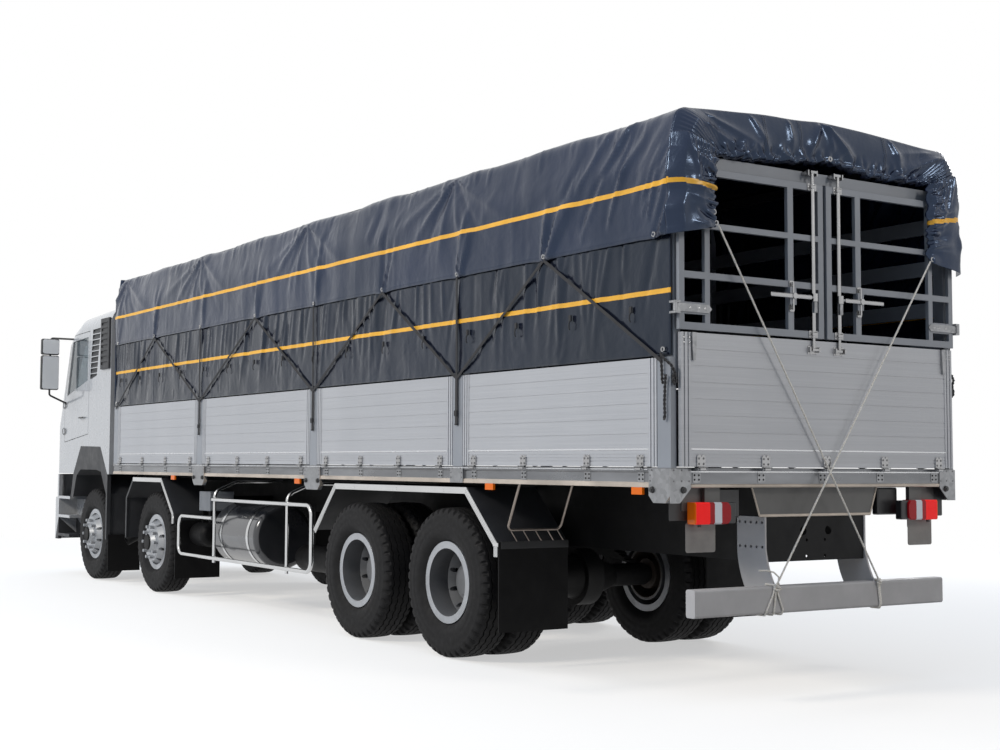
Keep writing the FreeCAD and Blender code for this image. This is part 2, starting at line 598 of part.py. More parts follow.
def chassis_frame():
    """The ladder frame as one welded and riveted piece."""
    length = FRAME_FRONT_AHEAD - FRAME_REAR_AHEAD
    rail = moved(channel(length, RAIL_HEIGHT, RAIL_FLANGE, RAIL_THICK), FRAME_REAR_AHEAD, RAIL_OUTER_Y,
                 FRAME_TOP - RAIL_HEIGHT)
    hangers = [spring_hanger(eye) for ahead in STEERED_AXLES.values() for eye in spring_eyes(ahead)]
    cab_mounts = [box(ahead, ahead + CAB_MOUNT_LENGTH, RAIL_OUTER_Y - RAIL_FLANGE + OVERRUN, RAIL_OUTER_Y,
                      FRAME_TOP, CAB_FLOOR_TOP - CAB_FLOOR_THICK) for ahead in CAB_MOUNTS_AHEAD]
    left = [rail, trunnion_bracket()] + hangers + cab_mounts
    cross = [cross_member(ahead) for ahead in CROSS_MEMBERS_AHEAD] + [end_member()]
    save("chassis_frame", [fuse(left + [mirrored(piece) for piece in left] + cross)])


# Engine, gearbox and shafts
ENGINE_REAR_AHEAD = 10260.0
ENGINE_FRONT_AHEAD = 11420.0
ENGINE_HALF_WIDTH = 330.0
ENGINE_BOTTOM = 640.0
ENGINE_TOP = 1500.0
ENGINE_LUG = 90.0
GEARBOX_LENGTH = 820.0
GEARBOX_RADIUS = 205.0
GEARBOX_TAIL_RADIUS = 130.0
SHAFT_RADIUS = 52.0
SHAFT_YOKE_RADIUS = 78.0
SHAFT_YOKE_LENGTH = 70.0
SHAFT_BEARING_AHEAD = 6350.0
SHAFT_BEARING_RADIUS = 96.0
SHAFT_HEIGHT = 720.0


def drive_shaft(start, end):
    """A tube with a wider joint at each end, set back so that a tilted joint clears the flange it meets."""
    axis = (end - start).normalize()
    setback = axis * (SHAFT_YOKE_RADIUS * math.tan(axis.getAngle(Vector(-1, 0, 0))) + FIT_GAP)
    start = start + setback
    end = end - setback
    along = axis * SHAFT_YOKE_LENGTH
    return fuse([rod(start, end, SHAFT_RADIUS), rod(start, start + along, SHAFT_YOKE_RADIUS),
                 rod(end - along, end, SHAFT_YOKE_RADIUS)])


def power_train():
    """The engine as one block with its sump and gearbox, and the shafts to the driven axles."""
    sump_inset = (ENGINE_HALF_WIDTH - GEARBOX_RADIUS) / 2
    low = ENGINE_BOTTOM + GEARBOX_RADIUS
    outline = [(-ENGINE_HALF_WIDTH, low), (-ENGINE_HALF_WIDTH, ENGINE_TOP), (ENGINE_HALF_WIDTH, ENGINE_TOP),
               (ENGINE_HALF_WIDTH, low), (ENGINE_HALF_WIDTH - sump_inset, ENGINE_BOTTOM),
               (sump_inset - ENGINE_HALF_WIDTH, ENGINE_BOTTOM)]
    block = end_prism(outline, ENGINE_REAR_AHEAD, ENGINE_FRONT_AHEAD)
    axis_z = FRAME_TOP - RAIL_HEIGHT / 2
    gearbox = Part.makeCone(GEARBOX_RADIUS, GEARBOX_TAIL_RADIUS, GEARBOX_LENGTH,
                            Vector(ENGINE_REAR_AHEAD, 0, axis_z), Vector(-1, 0, 0))
    lugs = []
    for share in (0.2, 0.8):
        x = ENGINE_REAR_AHEAD + share * (ENGINE_FRONT_AHEAD - ENGINE_REAR_AHEAD)
        reach = RAIL_OUTER_Y - RAIL_THICK - FIT_GAP
        lugs.append(box(x - ENGINE_LUG / 2, x + ENGINE_LUG / 2, -reach, reach, axis_z - ENGINE_LUG / 2,
                        axis_z + ENGINE_LUG / 2))
    save("engine_and_gearbox", [fuse([block, gearbox] + lugs)])
    gearbox_tail = Vector(ENGINE_REAR_AHEAD - GEARBOX_LENGTH, 0, axis_z)
    bearing = Vector(SHAFT_BEARING_AHEAD, 0, SHAFT_HEIGHT)
    pinion_3 = Vector(AXLE_3_AHEAD + NOSE_LENGTH + PINION_LENGTH, 0, TYRE_RADIUS)
    cover_3 = Vector(AXLE_3_AHEAD - BANJO_RADIUS, 0, TYRE_RADIUS)
    pinion_4 = Vector(AXLE_4_AHEAD + NOSE_LENGTH + PINION_LENGTH, 0, TYRE_RADIUS)
    carrier = box(SHAFT_BEARING_AHEAD - SHAFT_YOKE_LENGTH / 2, SHAFT_BEARING_AHEAD + SHAFT_YOKE_LENGTH / 2,
                  -RAIL_OUTER_Y, RAIL_OUTER_Y, SHAFT_HEIGHT + SHAFT_RADIUS / 2,
                  FRAME_TOP - RAIL_HEIGHT - FIT_GAP)
    front_shaft = drive_shaft(gearbox_tail, bearing)
    rear_shaft = drive_shaft(bearing, pinion_3)
    sleeve = rod(bearing - Vector(SHAFT_YOKE_LENGTH / 2, 0, 0), bearing + Vector(SHAFT_YOKE_LENGTH / 2, 0, 0),
                 SHAFT_BEARING_RADIUS)
    save("drive_shafts", [fuse([front_shaft, rear_shaft, sleeve, carrier]), drive_shaft(cover_3, pinion_4)])


# Track rods, one across each steered axle behind the wheels
TRACK_EYE_RADIUS = 26.0
TRACK_EYE_HEIGHT = 44.0


def track_rod(ahead):
    """A rod between both steering arms, carried under their ends."""
    arm_bottom = TYRE_RADIUS - EYE_HALF_HEIGHT - EAR_GAP - EAR_THICK - ARM_THICK
    x = ahead - ARM_LENGTH + ARM_WIDTH / 2
    z = arm_bottom - HINGE_END_GAP - TRACK_EYE_HEIGHT / 2
    bar = rod(Vector(x, -KINGPIN_Y, z), Vector(x, KINGPIN_Y, z), TRACK_ROD_RADIUS)
    half = Vector(0, 0, TRACK_EYE_HEIGHT / 2)
    eyes = [rod(Vector(x, way * KINGPIN_Y, z) - half, Vector(x, way * KINGPIN_Y, z) + half, TRACK_EYE_RADIUS)
            for way in (1, -1)]
    return fuse([bar] + eyes)


# Load bed: floor, side sills with post brackets, and the rear beam
FLOOR_THICK = 40.0
SILL_WIDTH = 64.0
SILL_FACE_Y = 1243.0
SILL_LIP = 22.0
SILL_RECESS = 9.0
REAR_BEAM_LENGTH = 62.0
BRACKET_DROP = 90.0
BRACKET_CHAMFER = 42.0
POST_CENTRES = (7151.0, 4620.0, 2320.0)
POST_WIDTH = 130.0
REAR_POST_WIDTH = 120.0
FRONT_POST_WIDTH = 125.0
BRACKET_WIDTHS = (290.0, 290.0, 170.0)
BRACKET_DROP_SHARES = (1.0, 1.0, 0.0)
REAR_BRACKET_WIDTH = 190.0
HINGE_Z = DECK_TOP - 7.0
HINGE_STANDOFF = 16.0
HINGE_Y = GATE_FACE_Y + HINGE_STANDOFF
HINGE_RADIUS = 9.0
HINGE_PIN_RADIUS = 5.0
HINGE_EYE_LENGTH = 44.0
HINGE_EAR_LENGTH = 16.0
HINGE_END_GAP = 0.6
GATE_HINGES_AHEAD = ((9493.0, 8783.0, 8088.0, 7397.0), (6915.0, 6213.0, 5541.0, 4856.0),
                     (4379.0, 3775.0, 3164.0, 2558.0), (2106.0, 1496.0, 800.0, 276.0))
TAILGATE_HINGES_Y = (1045.0, 525.0, 0.0, -525.0, -1045.0)
TAILGATE_HINGE_AHEAD = TAILGATE_FACE_AHEAD - HINGE_STANDOFF


def sill():
    """A left sill: a rolled section with a recessed face over a lower lip."""
    inner = SILL_FACE_Y - SILL_WIDTH
    face = SILL_FACE_Y - SILL_RECESS
    outline = [(inner, SILL_BOTTOM), (SILL_FACE_Y, SILL_BOTTOM), (SILL_FACE_Y, SILL_BOTTOM + SILL_LIP),
               (face, SILL_BOTTOM + SILL_LIP + SILL_RECESS), (face, DECK_TOP - SILL_LIP - SILL_RECESS),
               (SILL_FACE_Y, DECK_TOP - SILL_LIP), (SILL_FACE_Y, DECK_TOP), (inner, DECK_TOP)]
    return end_prism(outline, 0, BODY_LENGTH)


def post_bracket(centre, width, drop):
    """A plate on the outside of a left sill below a post, with chamfered lower corners when it hangs down."""
    top = DECK_TOP - SILL_RECESS / 2
    low = SILL_BOTTOM - drop
    cut = min(BRACKET_CHAMFER, drop)
    half = width / 2
    outline = [(centre - half, top), (centre + half, top), (centre + half, low + cut),
               (centre + half - cut, low), (centre - half + cut, low), (centre - half, low + cut)]
    if drop == 0:
        outline = [(centre - half, top), (centre + half, top), (centre + half, low), (centre - half, low)]
    return side_prism(outline, SILL_FACE_Y - SILL_RECESS - SILL_LIP, HALF_WIDTH)


def sill_ear(ahead, length):
    """A left hinge pin on the sill: a pin held by an ear at each end."""
    half = HINGE_EYE_LENGTH / 2 + HINGE_END_GAP
    pieces = [rod(Vector(ahead - half - length, HINGE_Y, HINGE_Z),
                  Vector(ahead + half + length, HINGE_Y, HINGE_Z), HINGE_PIN_RADIUS)]
    for start in (ahead - half - length, ahead + half):
        pieces.append(box(start, start + length, SILL_FACE_Y - SILL_RECESS, HINGE_Y, HINGE_Z - HINGE_RADIUS,
                          HINGE_Z + HINGE_PIN_RADIUS))
    return pieces


def bed_deck():
    """The floor with both sills, the rear beam and every hinge pin on them."""
    inner = SILL_FACE_Y - SILL_WIDTH
    floor = box(0, BODY_LENGTH, -inner, inner, DECK_TOP - FLOOR_THICK, DECK_TOP)
    left = [sill()]
    for centre, width, share in zip(POST_CENTRES, BRACKET_WIDTHS, BRACKET_DROP_SHARES):
        left.append(post_bracket(centre, width, BRACKET_DROP * share))
    left.append(post_bracket(REAR_BRACKET_WIDTH / 2, REAR_BRACKET_WIDTH, BRACKET_DROP))
    for hinges in GATE_HINGES_AHEAD:
        for ahead in hinges:
            left += sill_ear(ahead, HINGE_EAR_LENGTH)
    rear = box(0, REAR_BEAM_LENGTH, -inner, inner, SILL_BOTTOM, DECK_TOP - FLOOR_THICK)
    across = []
    half = HINGE_EYE_LENGTH / 2 + HINGE_END_GAP
    for y in TAILGATE_HINGES_Y:
        across.append(rod(Vector(TAILGATE_HINGE_AHEAD, y - half - HINGE_EAR_LENGTH, HINGE_Z),
                          Vector(TAILGATE_HINGE_AHEAD, y + half + HINGE_EAR_LENGTH, HINGE_Z),
                          HINGE_PIN_RADIUS))
        for start in (y - half - HINGE_EAR_LENGTH, y + half):
            across.append(box(TAILGATE_HINGE_AHEAD, OVERRUN, start, start + HINGE_EAR_LENGTH,
                              HINGE_Z - HINGE_RADIUS, HINGE_Z + HINGE_PIN_RADIUS))
    save("bed_deck", [fuse([floor, rear] + left + [mirrored(piece) for piece in left] + across)])


# Subframe under the floor
BEARER_WIDTH = 60.0
BEARER_Y = 400.0
BEARER_CROSS_HEIGHT = 85.0
BEARER_PITCH = 480.0
BEARER_FLANGE = 55.0
BEARER_WEB = 6.0
REAR_PLATE_THICK = 8.0
REAR_PLATE_TOP_Y = 550.0
REAR_PLATE_FOOT_Y = 488.0


def bed_bearers():
    """Two long bearers on the frame, I-section cross bearers, and the grey plate that closes the rear end."""
    cross_low = DECK_TOP - FLOOR_THICK - BEARER_CROSS_HEIGHT
    cross_high = DECK_TOP - FLOOR_THICK
    reach = SILL_FACE_Y - SILL_WIDTH
    pieces = []
    for way in (1, -1):
        middle = way * BEARER_Y
        pieces.append(box(REAR_BEAM_LENGTH, BODY_LENGTH, middle - BEARER_WIDTH / 2, middle + BEARER_WIDTH / 2,
                          FRAME_TOP, cross_low + BEARER_WEB))
    count = int((BODY_LENGTH - REAR_BEAM_LENGTH - BEARER_FLANGE) // BEARER_PITCH)
    for index in range(count):
        x = REAR_BEAM_LENGTH + (index + 0.5) * (BODY_LENGTH - REAR_BEAM_LENGTH) / count
        half = BEARER_FLANGE / 2
        web = BEARER_WEB / 2
        outline = [(x - half, cross_low), (x + half, cross_low), (x + half, cross_low + BEARER_WEB),
                   (x + web, cross_low + BEARER_WEB), (x + web, cross_high - BEARER_WEB),
                   (x + half, cross_high - BEARER_WEB), (x + half, cross_high), (x - half, cross_high),
                   (x - half, cross_high - BEARER_WEB), (x - web, cross_high - BEARER_WEB),
                   (x - web, cross_low + BEARER_WEB), (x - half, cross_low + BEARER_WEB)]
        pieces.append(side_prism(outline, -reach, reach))
    plate = end_prism([(-REAR_PLATE_TOP_Y, SILL_BOTTOM), (REAR_PLATE_TOP_Y, SILL_BOTTOM),
                       (REAR_PLATE_FOOT_Y, FRAME_TOP), (-REAR_PLATE_FOOT_Y, FRAME_TOP)],
                      REAR_BEAM_LENGTH - REAR_PLATE_THICK, REAR_BEAM_LENGTH)
    foot = box(REAR_BEAM_LENGTH - REAR_PLATE_THICK, REAR_BEAM_LENGTH + BEARER_FLANGE, -REAR_PLATE_FOOT_Y,
               REAR_PLATE_FOOT_Y, FRAME_TOP, FRAME_TOP + BEARER_WEB)
    save("bed_bearers", [fuse(pieces + [plate, foot])])


# Side gates and tailgate, as hollow aluminium boards with stiles at both ends
GATE_THICK = 25.0
GATE_LIFT = 6.0
GATE_END_GAP = 6.0
GATE_STILE = 75.0
GATE_STILE_PROUD = 3.0
GATE_RIB_COUNT = 5
GATE_RIB_DEPTH = 2.5
GATE_RIB_HEIGHT = 7.0
GATE_RAIL_Z = 104.0
GATE_RAIL_HEIGHT = 9.0
GATE_RAIL_PROUD = 3.0
GATE_FOOT_RIB_SHARES = (0.3, 0.5, 0.7)
GATE_SLOT_SHARES = (0.3, 0.7)
GATE_SLOT_WIDTH = 9.0
GATE_SLOT_DEPTH = 6.0
HINGE_STRAP_HEIGHT = 82.0
HINGE_STRAP_WIDTH = 60.0
HINGE_STRAP_THICK = 5.0
TAILGATE_HALF_WIDTH = 1192.0
TAILGATE_RIB_COUNT = 6


def board(length, height, thick, rib_count):
    """A board along X, outer face at Y zero: a rail over a ribbed foot, grooves, slotted stiles."""
    groove = GATE_RIB_HEIGHT / 2
    rail = GATE_RAIL_HEIGHT / 2
    pitch = (height - GATE_RAIL_Z) / (rib_count + 1)
    outline = [(-thick, 0), (0, 0)]
    for share in GATE_FOOT_RIB_SHARES:
        z = share * GATE_RAIL_Z
        outline += [(0, z - groove), (-GATE_RIB_DEPTH, z - groove), (-GATE_RIB_DEPTH, z + groove),
                    (0, z + groove)]
    outline += [(0, GATE_RAIL_Z - rail), (GATE_RAIL_PROUD, GATE_RAIL_Z - rail),
                (GATE_RAIL_PROUD, GATE_RAIL_Z + rail), (0, GATE_RAIL_Z + rail)]
    for index in range(rib_count):
        z = GATE_RAIL_Z + (index + 1) * pitch
        outline += [(0, z - groove), (-GATE_RIB_DEPTH, z - groove), (-GATE_RIB_DEPTH, z + groove),
                    (0, z + groove)]
    outline += [(0, height), (-thick, height)]
    stiles = []
    slots = []
    for start in (0, length - GATE_STILE):
        stiles.append(box(start, start + GATE_STILE, -thick, GATE_STILE_PROUD, 0, height))
        for share in GATE_SLOT_SHARES:
            x = start + share * GATE_STILE
            slots.append(box(x - GATE_SLOT_WIDTH / 2, x + GATE_SLOT_WIDTH / 2,
                             GATE_STILE_PROUD - GATE_SLOT_DEPTH,
                             GATE_STILE_PROUD + OVERRUN, -OVERRUN, height + OVERRUN))
    return fuse([end_prism(outline, 0, length)] + stiles).cut(slots)


def hinge_leaf():
    """A gate's half of a hinge at the origin, gate face towards negative Y, with its axis on the origin."""
    half = HINGE_EYE_LENGTH / 2
    eye = rod(Vector(-half, 0, 0), Vector(half, 0, 0), HINGE_RADIUS)
    face = -HINGE_STANDOFF
    low = DECK_TOP + GATE_LIFT - HINGE_Z
    leaf = box(-HINGE_STRAP_WIDTH / 2, HINGE_STRAP_WIDTH / 2, face, face + HINGE_STRAP_THICK, low,
               HINGE_STRAP_HEIGHT)
    neck = box(-half, half, -HINGE_RADIUS, HINGE_STRAP_THICK - HINGE_RADIUS, 0, low + HINGE_STRAP_THICK)
    foot = box(-half, half, face, HINGE_STRAP_THICK - HINGE_RADIUS, low, low + HINGE_STRAP_THICK)
    bore = rod(Vector(-HINGE_EYE_LENGTH, 0, 0), Vector(HINGE_EYE_LENGTH, 0, 0), HINGE_PIN_RADIUS + SHAFT_GAP)
    return fuse([eye, foot, neck, leaf]).cut(bore)


def gate_span(index):
    """Where side gate number index runs, from its rear end to its front end."""
    rear_ends = [centre + POST_WIDTH / 2 for centre in POST_CENTRES] + [REAR_POST_WIDTH]
    front_ends = [BODY_LENGTH - FRONT_POST_WIDTH] + [centre - POST_WIDTH / 2 for centre in POST_CENTRES]
    return rear_ends[index] + GATE_END_GAP, front_ends[index] - GATE_END_GAP


def side_gates():
    """Four gates along each side."""
    height = SIDE_GATE_TOP - DECK_TOP - GATE_LIFT
    for index, hinges in enumerate(GATE_HINGES_AHEAD):
        rear, front = gate_span(index)
        panel = moved(board(front - rear, height, GATE_THICK, GATE_RIB_COUNT), rear, GATE_FACE_Y,
                      DECK_TOP + GATE_LIFT)
        gate = fuse([panel] + [moved(hinge_leaf(), ahead, HINGE_Y, HINGE_Z) for ahead in hinges])
        for side in SIDES:
            save(f"side_gate_{index + 1}_{side}", [on_side(gate, side)])


LATCH_WIDTH = 34.0
LATCH_HEIGHT = 165.0
LATCH_DEPTH = 16.0
LATCH_INSET_SHARES = (0.2, 0.5)


def latch(start):
    """A latch body on a tailgate's face: a wedge that widens upward, seen from behind."""
    top = TAILGATE_TOP - DECK_TOP - GATE_LIFT
    low = top - LATCH_HEIGHT
    narrow, wide = (LATCH_WIDTH * share for share in LATCH_INSET_SHARES)
    outline = [(start + narrow, low), (start + LATCH_WIDTH - narrow, low), (start + LATCH_WIDTH, top - wide),
               (start + LATCH_WIDTH, top), (start, top), (start, top - wide)]
    return side_prism(outline, 0, LATCH_DEPTH)


def tailgate():
    """The lower rear gate, hinged along the rear beam, with a latch body at each upper corner."""
    height = TAILGATE_TOP - DECK_TOP - GATE_LIFT
    width = 2 * TAILGATE_HALF_WIDTH
    panel = board(width, height, GATE_THICK, TAILGATE_RIB_COUNT)
    leaves = [moved(hinge_leaf(), y + TAILGATE_HALF_WIDTH, HINGE_STANDOFF, HINGE_Z - DECK_TOP - GATE_LIFT)
              for y in TAILGATE_HINGES_Y]
    latches = [latch(start) for start in (GATE_STILE, width - GATE_STILE - LATCH_WIDTH)]
    gate = fuse([panel] + leaves + latches)
    gate.rotate(Vector(0, 0, 0), Vector(0, 0, 1), FULL_TURN / 4)
    save("tailgate", [moved(gate, TAILGATE_FACE_AHEAD, -TAILGATE_HALF_WIDTH, DECK_TOP + GATE_LIFT)])


# Posts, rear portal and the roof frame that carries the tarpaulin
POST_DEPTH = 44.0
POST_FACE_Y = 1240.0
UPPER_POST_FACE_Y = 1216.0
UPPER_POST_DEPTH = 50.0
UPPER_POST_WIDTH = 80.0
HEADER_HEIGHT = 70.0
HEADER_DEPTH = 60.0
CORNER_POST_DEPTH = 52.0
EAVES_RAIL_HEIGHT = 60.0
EAVES_RAIL_WIDTH = 40.0
EAVES_Y = 1160.0
HOOP_WIDTH = 40.0
HOOP_HEIGHT = 36.0
HOOP_COUNT = 9
SLAT_HEIGHT = 100.0
SLAT_THICK = 22.0
SLAT_COUNT = 4
TARP_THICK = 14.0
HEADBOARD_THICK = 40.0
HEADBOARD_HEIGHT = 1750.0
HEADBOARD_REAR = BODY_LENGTH - RUNNING_GAP - HEADBOARD_THICK
HEADER_BOTTOM = DOOR_TOP + HINGE_RADIUS


def roof_hoop(ahead):
    """A roof bow: straight, slightly peaked, from one eaves rail to the other."""
    low = EAVES_HEIGHT - TARP_THICK - HOOP_HEIGHT
    rise = RIDGE_RISE
    outline = [(-EAVES_Y, low), (0, low + rise), (EAVES_Y, low), (EAVES_Y, low + HOOP_HEIGHT),
               (0, low + HOOP_HEIGHT + rise), (-EAVES_Y, low + HOOP_HEIGHT)]
    return end_prism(outline, ahead - HOOP_WIDTH / 2, ahead + HOOP_WIDTH / 2)


def side_wall():
    """The left posts with their slats, and the rear door's hinge pins on the corner post."""
    upper = (UPPER_POST_FACE_Y - UPPER_POST_DEPTH, UPPER_POST_FACE_Y, SIDE_GATE_TOP - POST_WIDTH, CURTAIN_BREAK)
    lower = (POST_FACE_Y - POST_DEPTH, POST_FACE_Y, DECK_TOP, SIDE_GATE_TOP)
    pieces = [box(0, UPPER_POST_WIDTH, *upper), box(BODY_LENGTH - FRONT_POST_WIDTH, HEADBOARD_REAR, *upper),
              box(0, REAR_POST_WIDTH, HALF_WIDTH - CORNER_POST_DEPTH, *lower[1:]),
              box(BODY_LENGTH - FRONT_POST_WIDTH, BODY_LENGTH, *lower)]
    for centre in POST_CENTRES:
        pieces.append(box(centre - POST_WIDTH / 2, centre + POST_WIDTH / 2, *lower))
        pieces.append(box(centre - UPPER_POST_WIDTH / 2, centre + UPPER_POST_WIDTH / 2, *upper))
    face = UPPER_POST_FACE_Y - UPPER_POST_DEPTH / 2
    pitch = (HEADER_BOTTOM - SIDE_GATE_TOP) / SLAT_COUNT
    for index in range(SLAT_COUNT):
        z = SIDE_GATE_TOP + (index + 0.5) * pitch
        pieces.append(box(UPPER_POST_WIDTH, BODY_LENGTH - FRONT_POST_WIDTH, face - SLAT_THICK, face,
                          z - SLAT_HEIGHT / 2, z + SLAT_HEIGHT / 2))
    return fuse(pieces + door_hangers())


def post_tops():
    """The left posts' upper ends, which lean in to the eaves rail."""
    rail_bottom = EAVES_HEIGHT - TARP_THICK - EAVES_RAIL_HEIGHT
    lean = [(UPPER_POST_FACE_Y - UPPER_POST_DEPTH, CURTAIN_BREAK), (UPPER_POST_FACE_Y, CURTAIN_BREAK),
            (EAVES_Y, rail_bottom), (EAVES_Y - EAVES_RAIL_WIDTH, rail_bottom)]
    starts = [0, HEADBOARD_REAR - UPPER_POST_WIDTH] + [centre - UPPER_POST_WIDTH / 2 for centre in POST_CENTRES]
    return [end_prism(lean, start, start + UPPER_POST_WIDTH) for start in starts]


def roof_frame():
    """The eaves rails, the ridge and the bows between them, welded into one."""
    top = EAVES_HEIGHT - TARP_THICK
    rail = box(0, BODY_LENGTH - HEADBOARD_THICK, EAVES_Y - EAVES_RAIL_WIDTH, EAVES_Y, top - EAVES_RAIL_HEIGHT, top)
    ridge_middle = top - HOOP_HEIGHT + RIDGE_RISE
    ridge = box(0, BODY_LENGTH - HEADBOARD_THICK, -HOOP_WIDTH / 2, HOOP_WIDTH / 2,
                ridge_middle - HOOP_HEIGHT / 2, ridge_middle + HOOP_HEIGHT / 2)
    pitch = (BODY_LENGTH - FRONT_POST_WIDTH) / (HOOP_COUNT - 1)
    hoops = [roof_hoop(UPPER_POST_WIDTH / 2 + index * pitch) for index in range(HOOP_COUNT)]
    return fuse([rail, mirrored(rail), ridge] + hoops)


def tarp_frame():
    """What carries the tarpaulin: two walls, the leaning post tops, the roof frame and the rear header."""
    tops = [piece for top in post_tops() for piece in pair(top)]
    reach = UPPER_POST_FACE_Y - UPPER_POST_DEPTH
    header = box(0, HEADER_DEPTH, -reach, reach, HEADER_BOTTOM, HEADER_BOTTOM + HEADER_HEIGHT).cut(tops)
    save("tarp_frame", pair(side_wall()) + tops + [roof_frame(), header])


def headboard():
    """The ribbed front wall of the load space."""
    y = POST_FACE_Y - POST_DEPTH
    height = HEADBOARD_HEIGHT
    rib = GATE_RIB_HEIGHT
    pitch = height / (TAILGATE_RIB_COUNT + 1)
    front = BODY_LENGTH - RUNNING_GAP
    outline = [(front - HEADBOARD_THICK, DECK_TOP), (front, DECK_TOP)]
    for index in range(TAILGATE_RIB_COUNT):
        z = DECK_TOP + (index + 1) * pitch
        outline += [(front, z - rib), (front - GATE_RIB_DEPTH, z - rib), (front - GATE_RIB_DEPTH, z + rib),
                    (front, z + rib)]
    outline += [(front, DECK_TOP + height), (front - HEADBOARD_THICK, DECK_TOP + height)]
    return side_prism(outline, -y, y)


# Tarpaulin: one closed skin over the frame, open at the rear above the tailgate
TARP_SIDE_Y = 1236.0
CURTAIN_STEP = 13.0
CURTAIN_EDGE = 2752.0
TARP_HEM = SIDE_GATE_TOP + 8.0
TARP_EAVES_Y = 1182.0
VALANCE_BOTTOM = 3275.0
TARP_FRONT_GAP = 6.0


def tarp_cover():
    """The tarpaulin's roof, sides and front wall, with the upper curtain's edge standing proud."""
    outer_half = [(TARP_SIDE_Y, TARP_HEM), (TARP_SIDE_Y, CURTAIN_EDGE),
                  (TARP_SIDE_Y + CURTAIN_STEP, CURTAIN_EDGE),
                  (TARP_SIDE_Y + CURTAIN_STEP, CURTAIN_BREAK), (TARP_EAVES_Y, EAVES_HEIGHT)]
    ridge = [(0, EAVES_HEIGHT + RIDGE_RISE)]
    outer = outer_half + ridge + [(-y, z) for y, z in reversed(outer_half)]
    inner_half = [(TARP_SIDE_Y - TARP_THICK, TARP_HEM), (TARP_SIDE_Y - TARP_THICK, CURTAIN_BREAK),
                  (TARP_EAVES_Y - TARP_THICK, EAVES_HEIGHT - TARP_THICK + FIT_GAP)]
    inner = (inner_half + [(0, EAVES_HEIGHT - TARP_THICK + RIDGE_RISE + FIT_GAP)]
             + [(-y, z) for y, z in reversed(inner_half)])
    front = BODY_LENGTH + TARP_FRONT_GAP + TARP_THICK
    whole = end_prism(outer, -TARP_THICK, front)
    hollow = end_prism(inner, 0, front - TARP_THICK)
    below_valance = box(-2 * TARP_THICK, OVERRUN, -HALF_WIDTH, HALF_WIDTH, TARP_HEM, VALANCE_BOTTOM)
    save("tarp_cover", [whole.cut([hollow, below_valance])])


# Rear doors, hung on the corner posts above the tailgate
DOOR_HINGE_AHEAD = -50.0
DOOR_HINGE_Y = 1246.0
DOOR_FACE_AHEAD = -42.0
DOOR_THICK = 26.0
DOOR_EDGE_Y = 1208.0
DOOR_INNER_Y = 14.0
DOOR_RAIL_HEIGHTS = ((2197.0, 2241.0), (2504.0, 2544.0), (2808.0, 2844.0), (3129.0, 3172.0))
DOOR_STILES_Y = ((1168.0, 1208.0), (968.0, 1008.0), (276.0, 324.0), (14.0, 60.0))
DOOR_HINGE_RAIL = (2290.0, 2360.0)
DOOR_ROD_Y = 114.0
DOOR_ROD_RADIUS = 13.0
DOOR_STRAP_HEIGHTS = (2325.0, 2826.0, 3150.0)
DOOR_STRAP_HALF_HEIGHT = 24.0
DOOR_STRAP_LENGTH = 250.0
DOOR_STRAP_THICK = 7.0
DOOR_PIN_RADIUS = 8.0
DOOR_EYE_RADIUS = 13.0
DOOR_HANDLE_Z = 2450.0
DOOR_HANDLE_LENGTH = 340.0
DOOR_HANDLE_RADIUS = 9.0
DOOR_HANDLE_DROP = 95.0
DOOR_CLIP_WIDTH = 54.0
DOOR_CLIP_HEIGHT = 110.0
DOOR_HANGER_THICK = 9.0


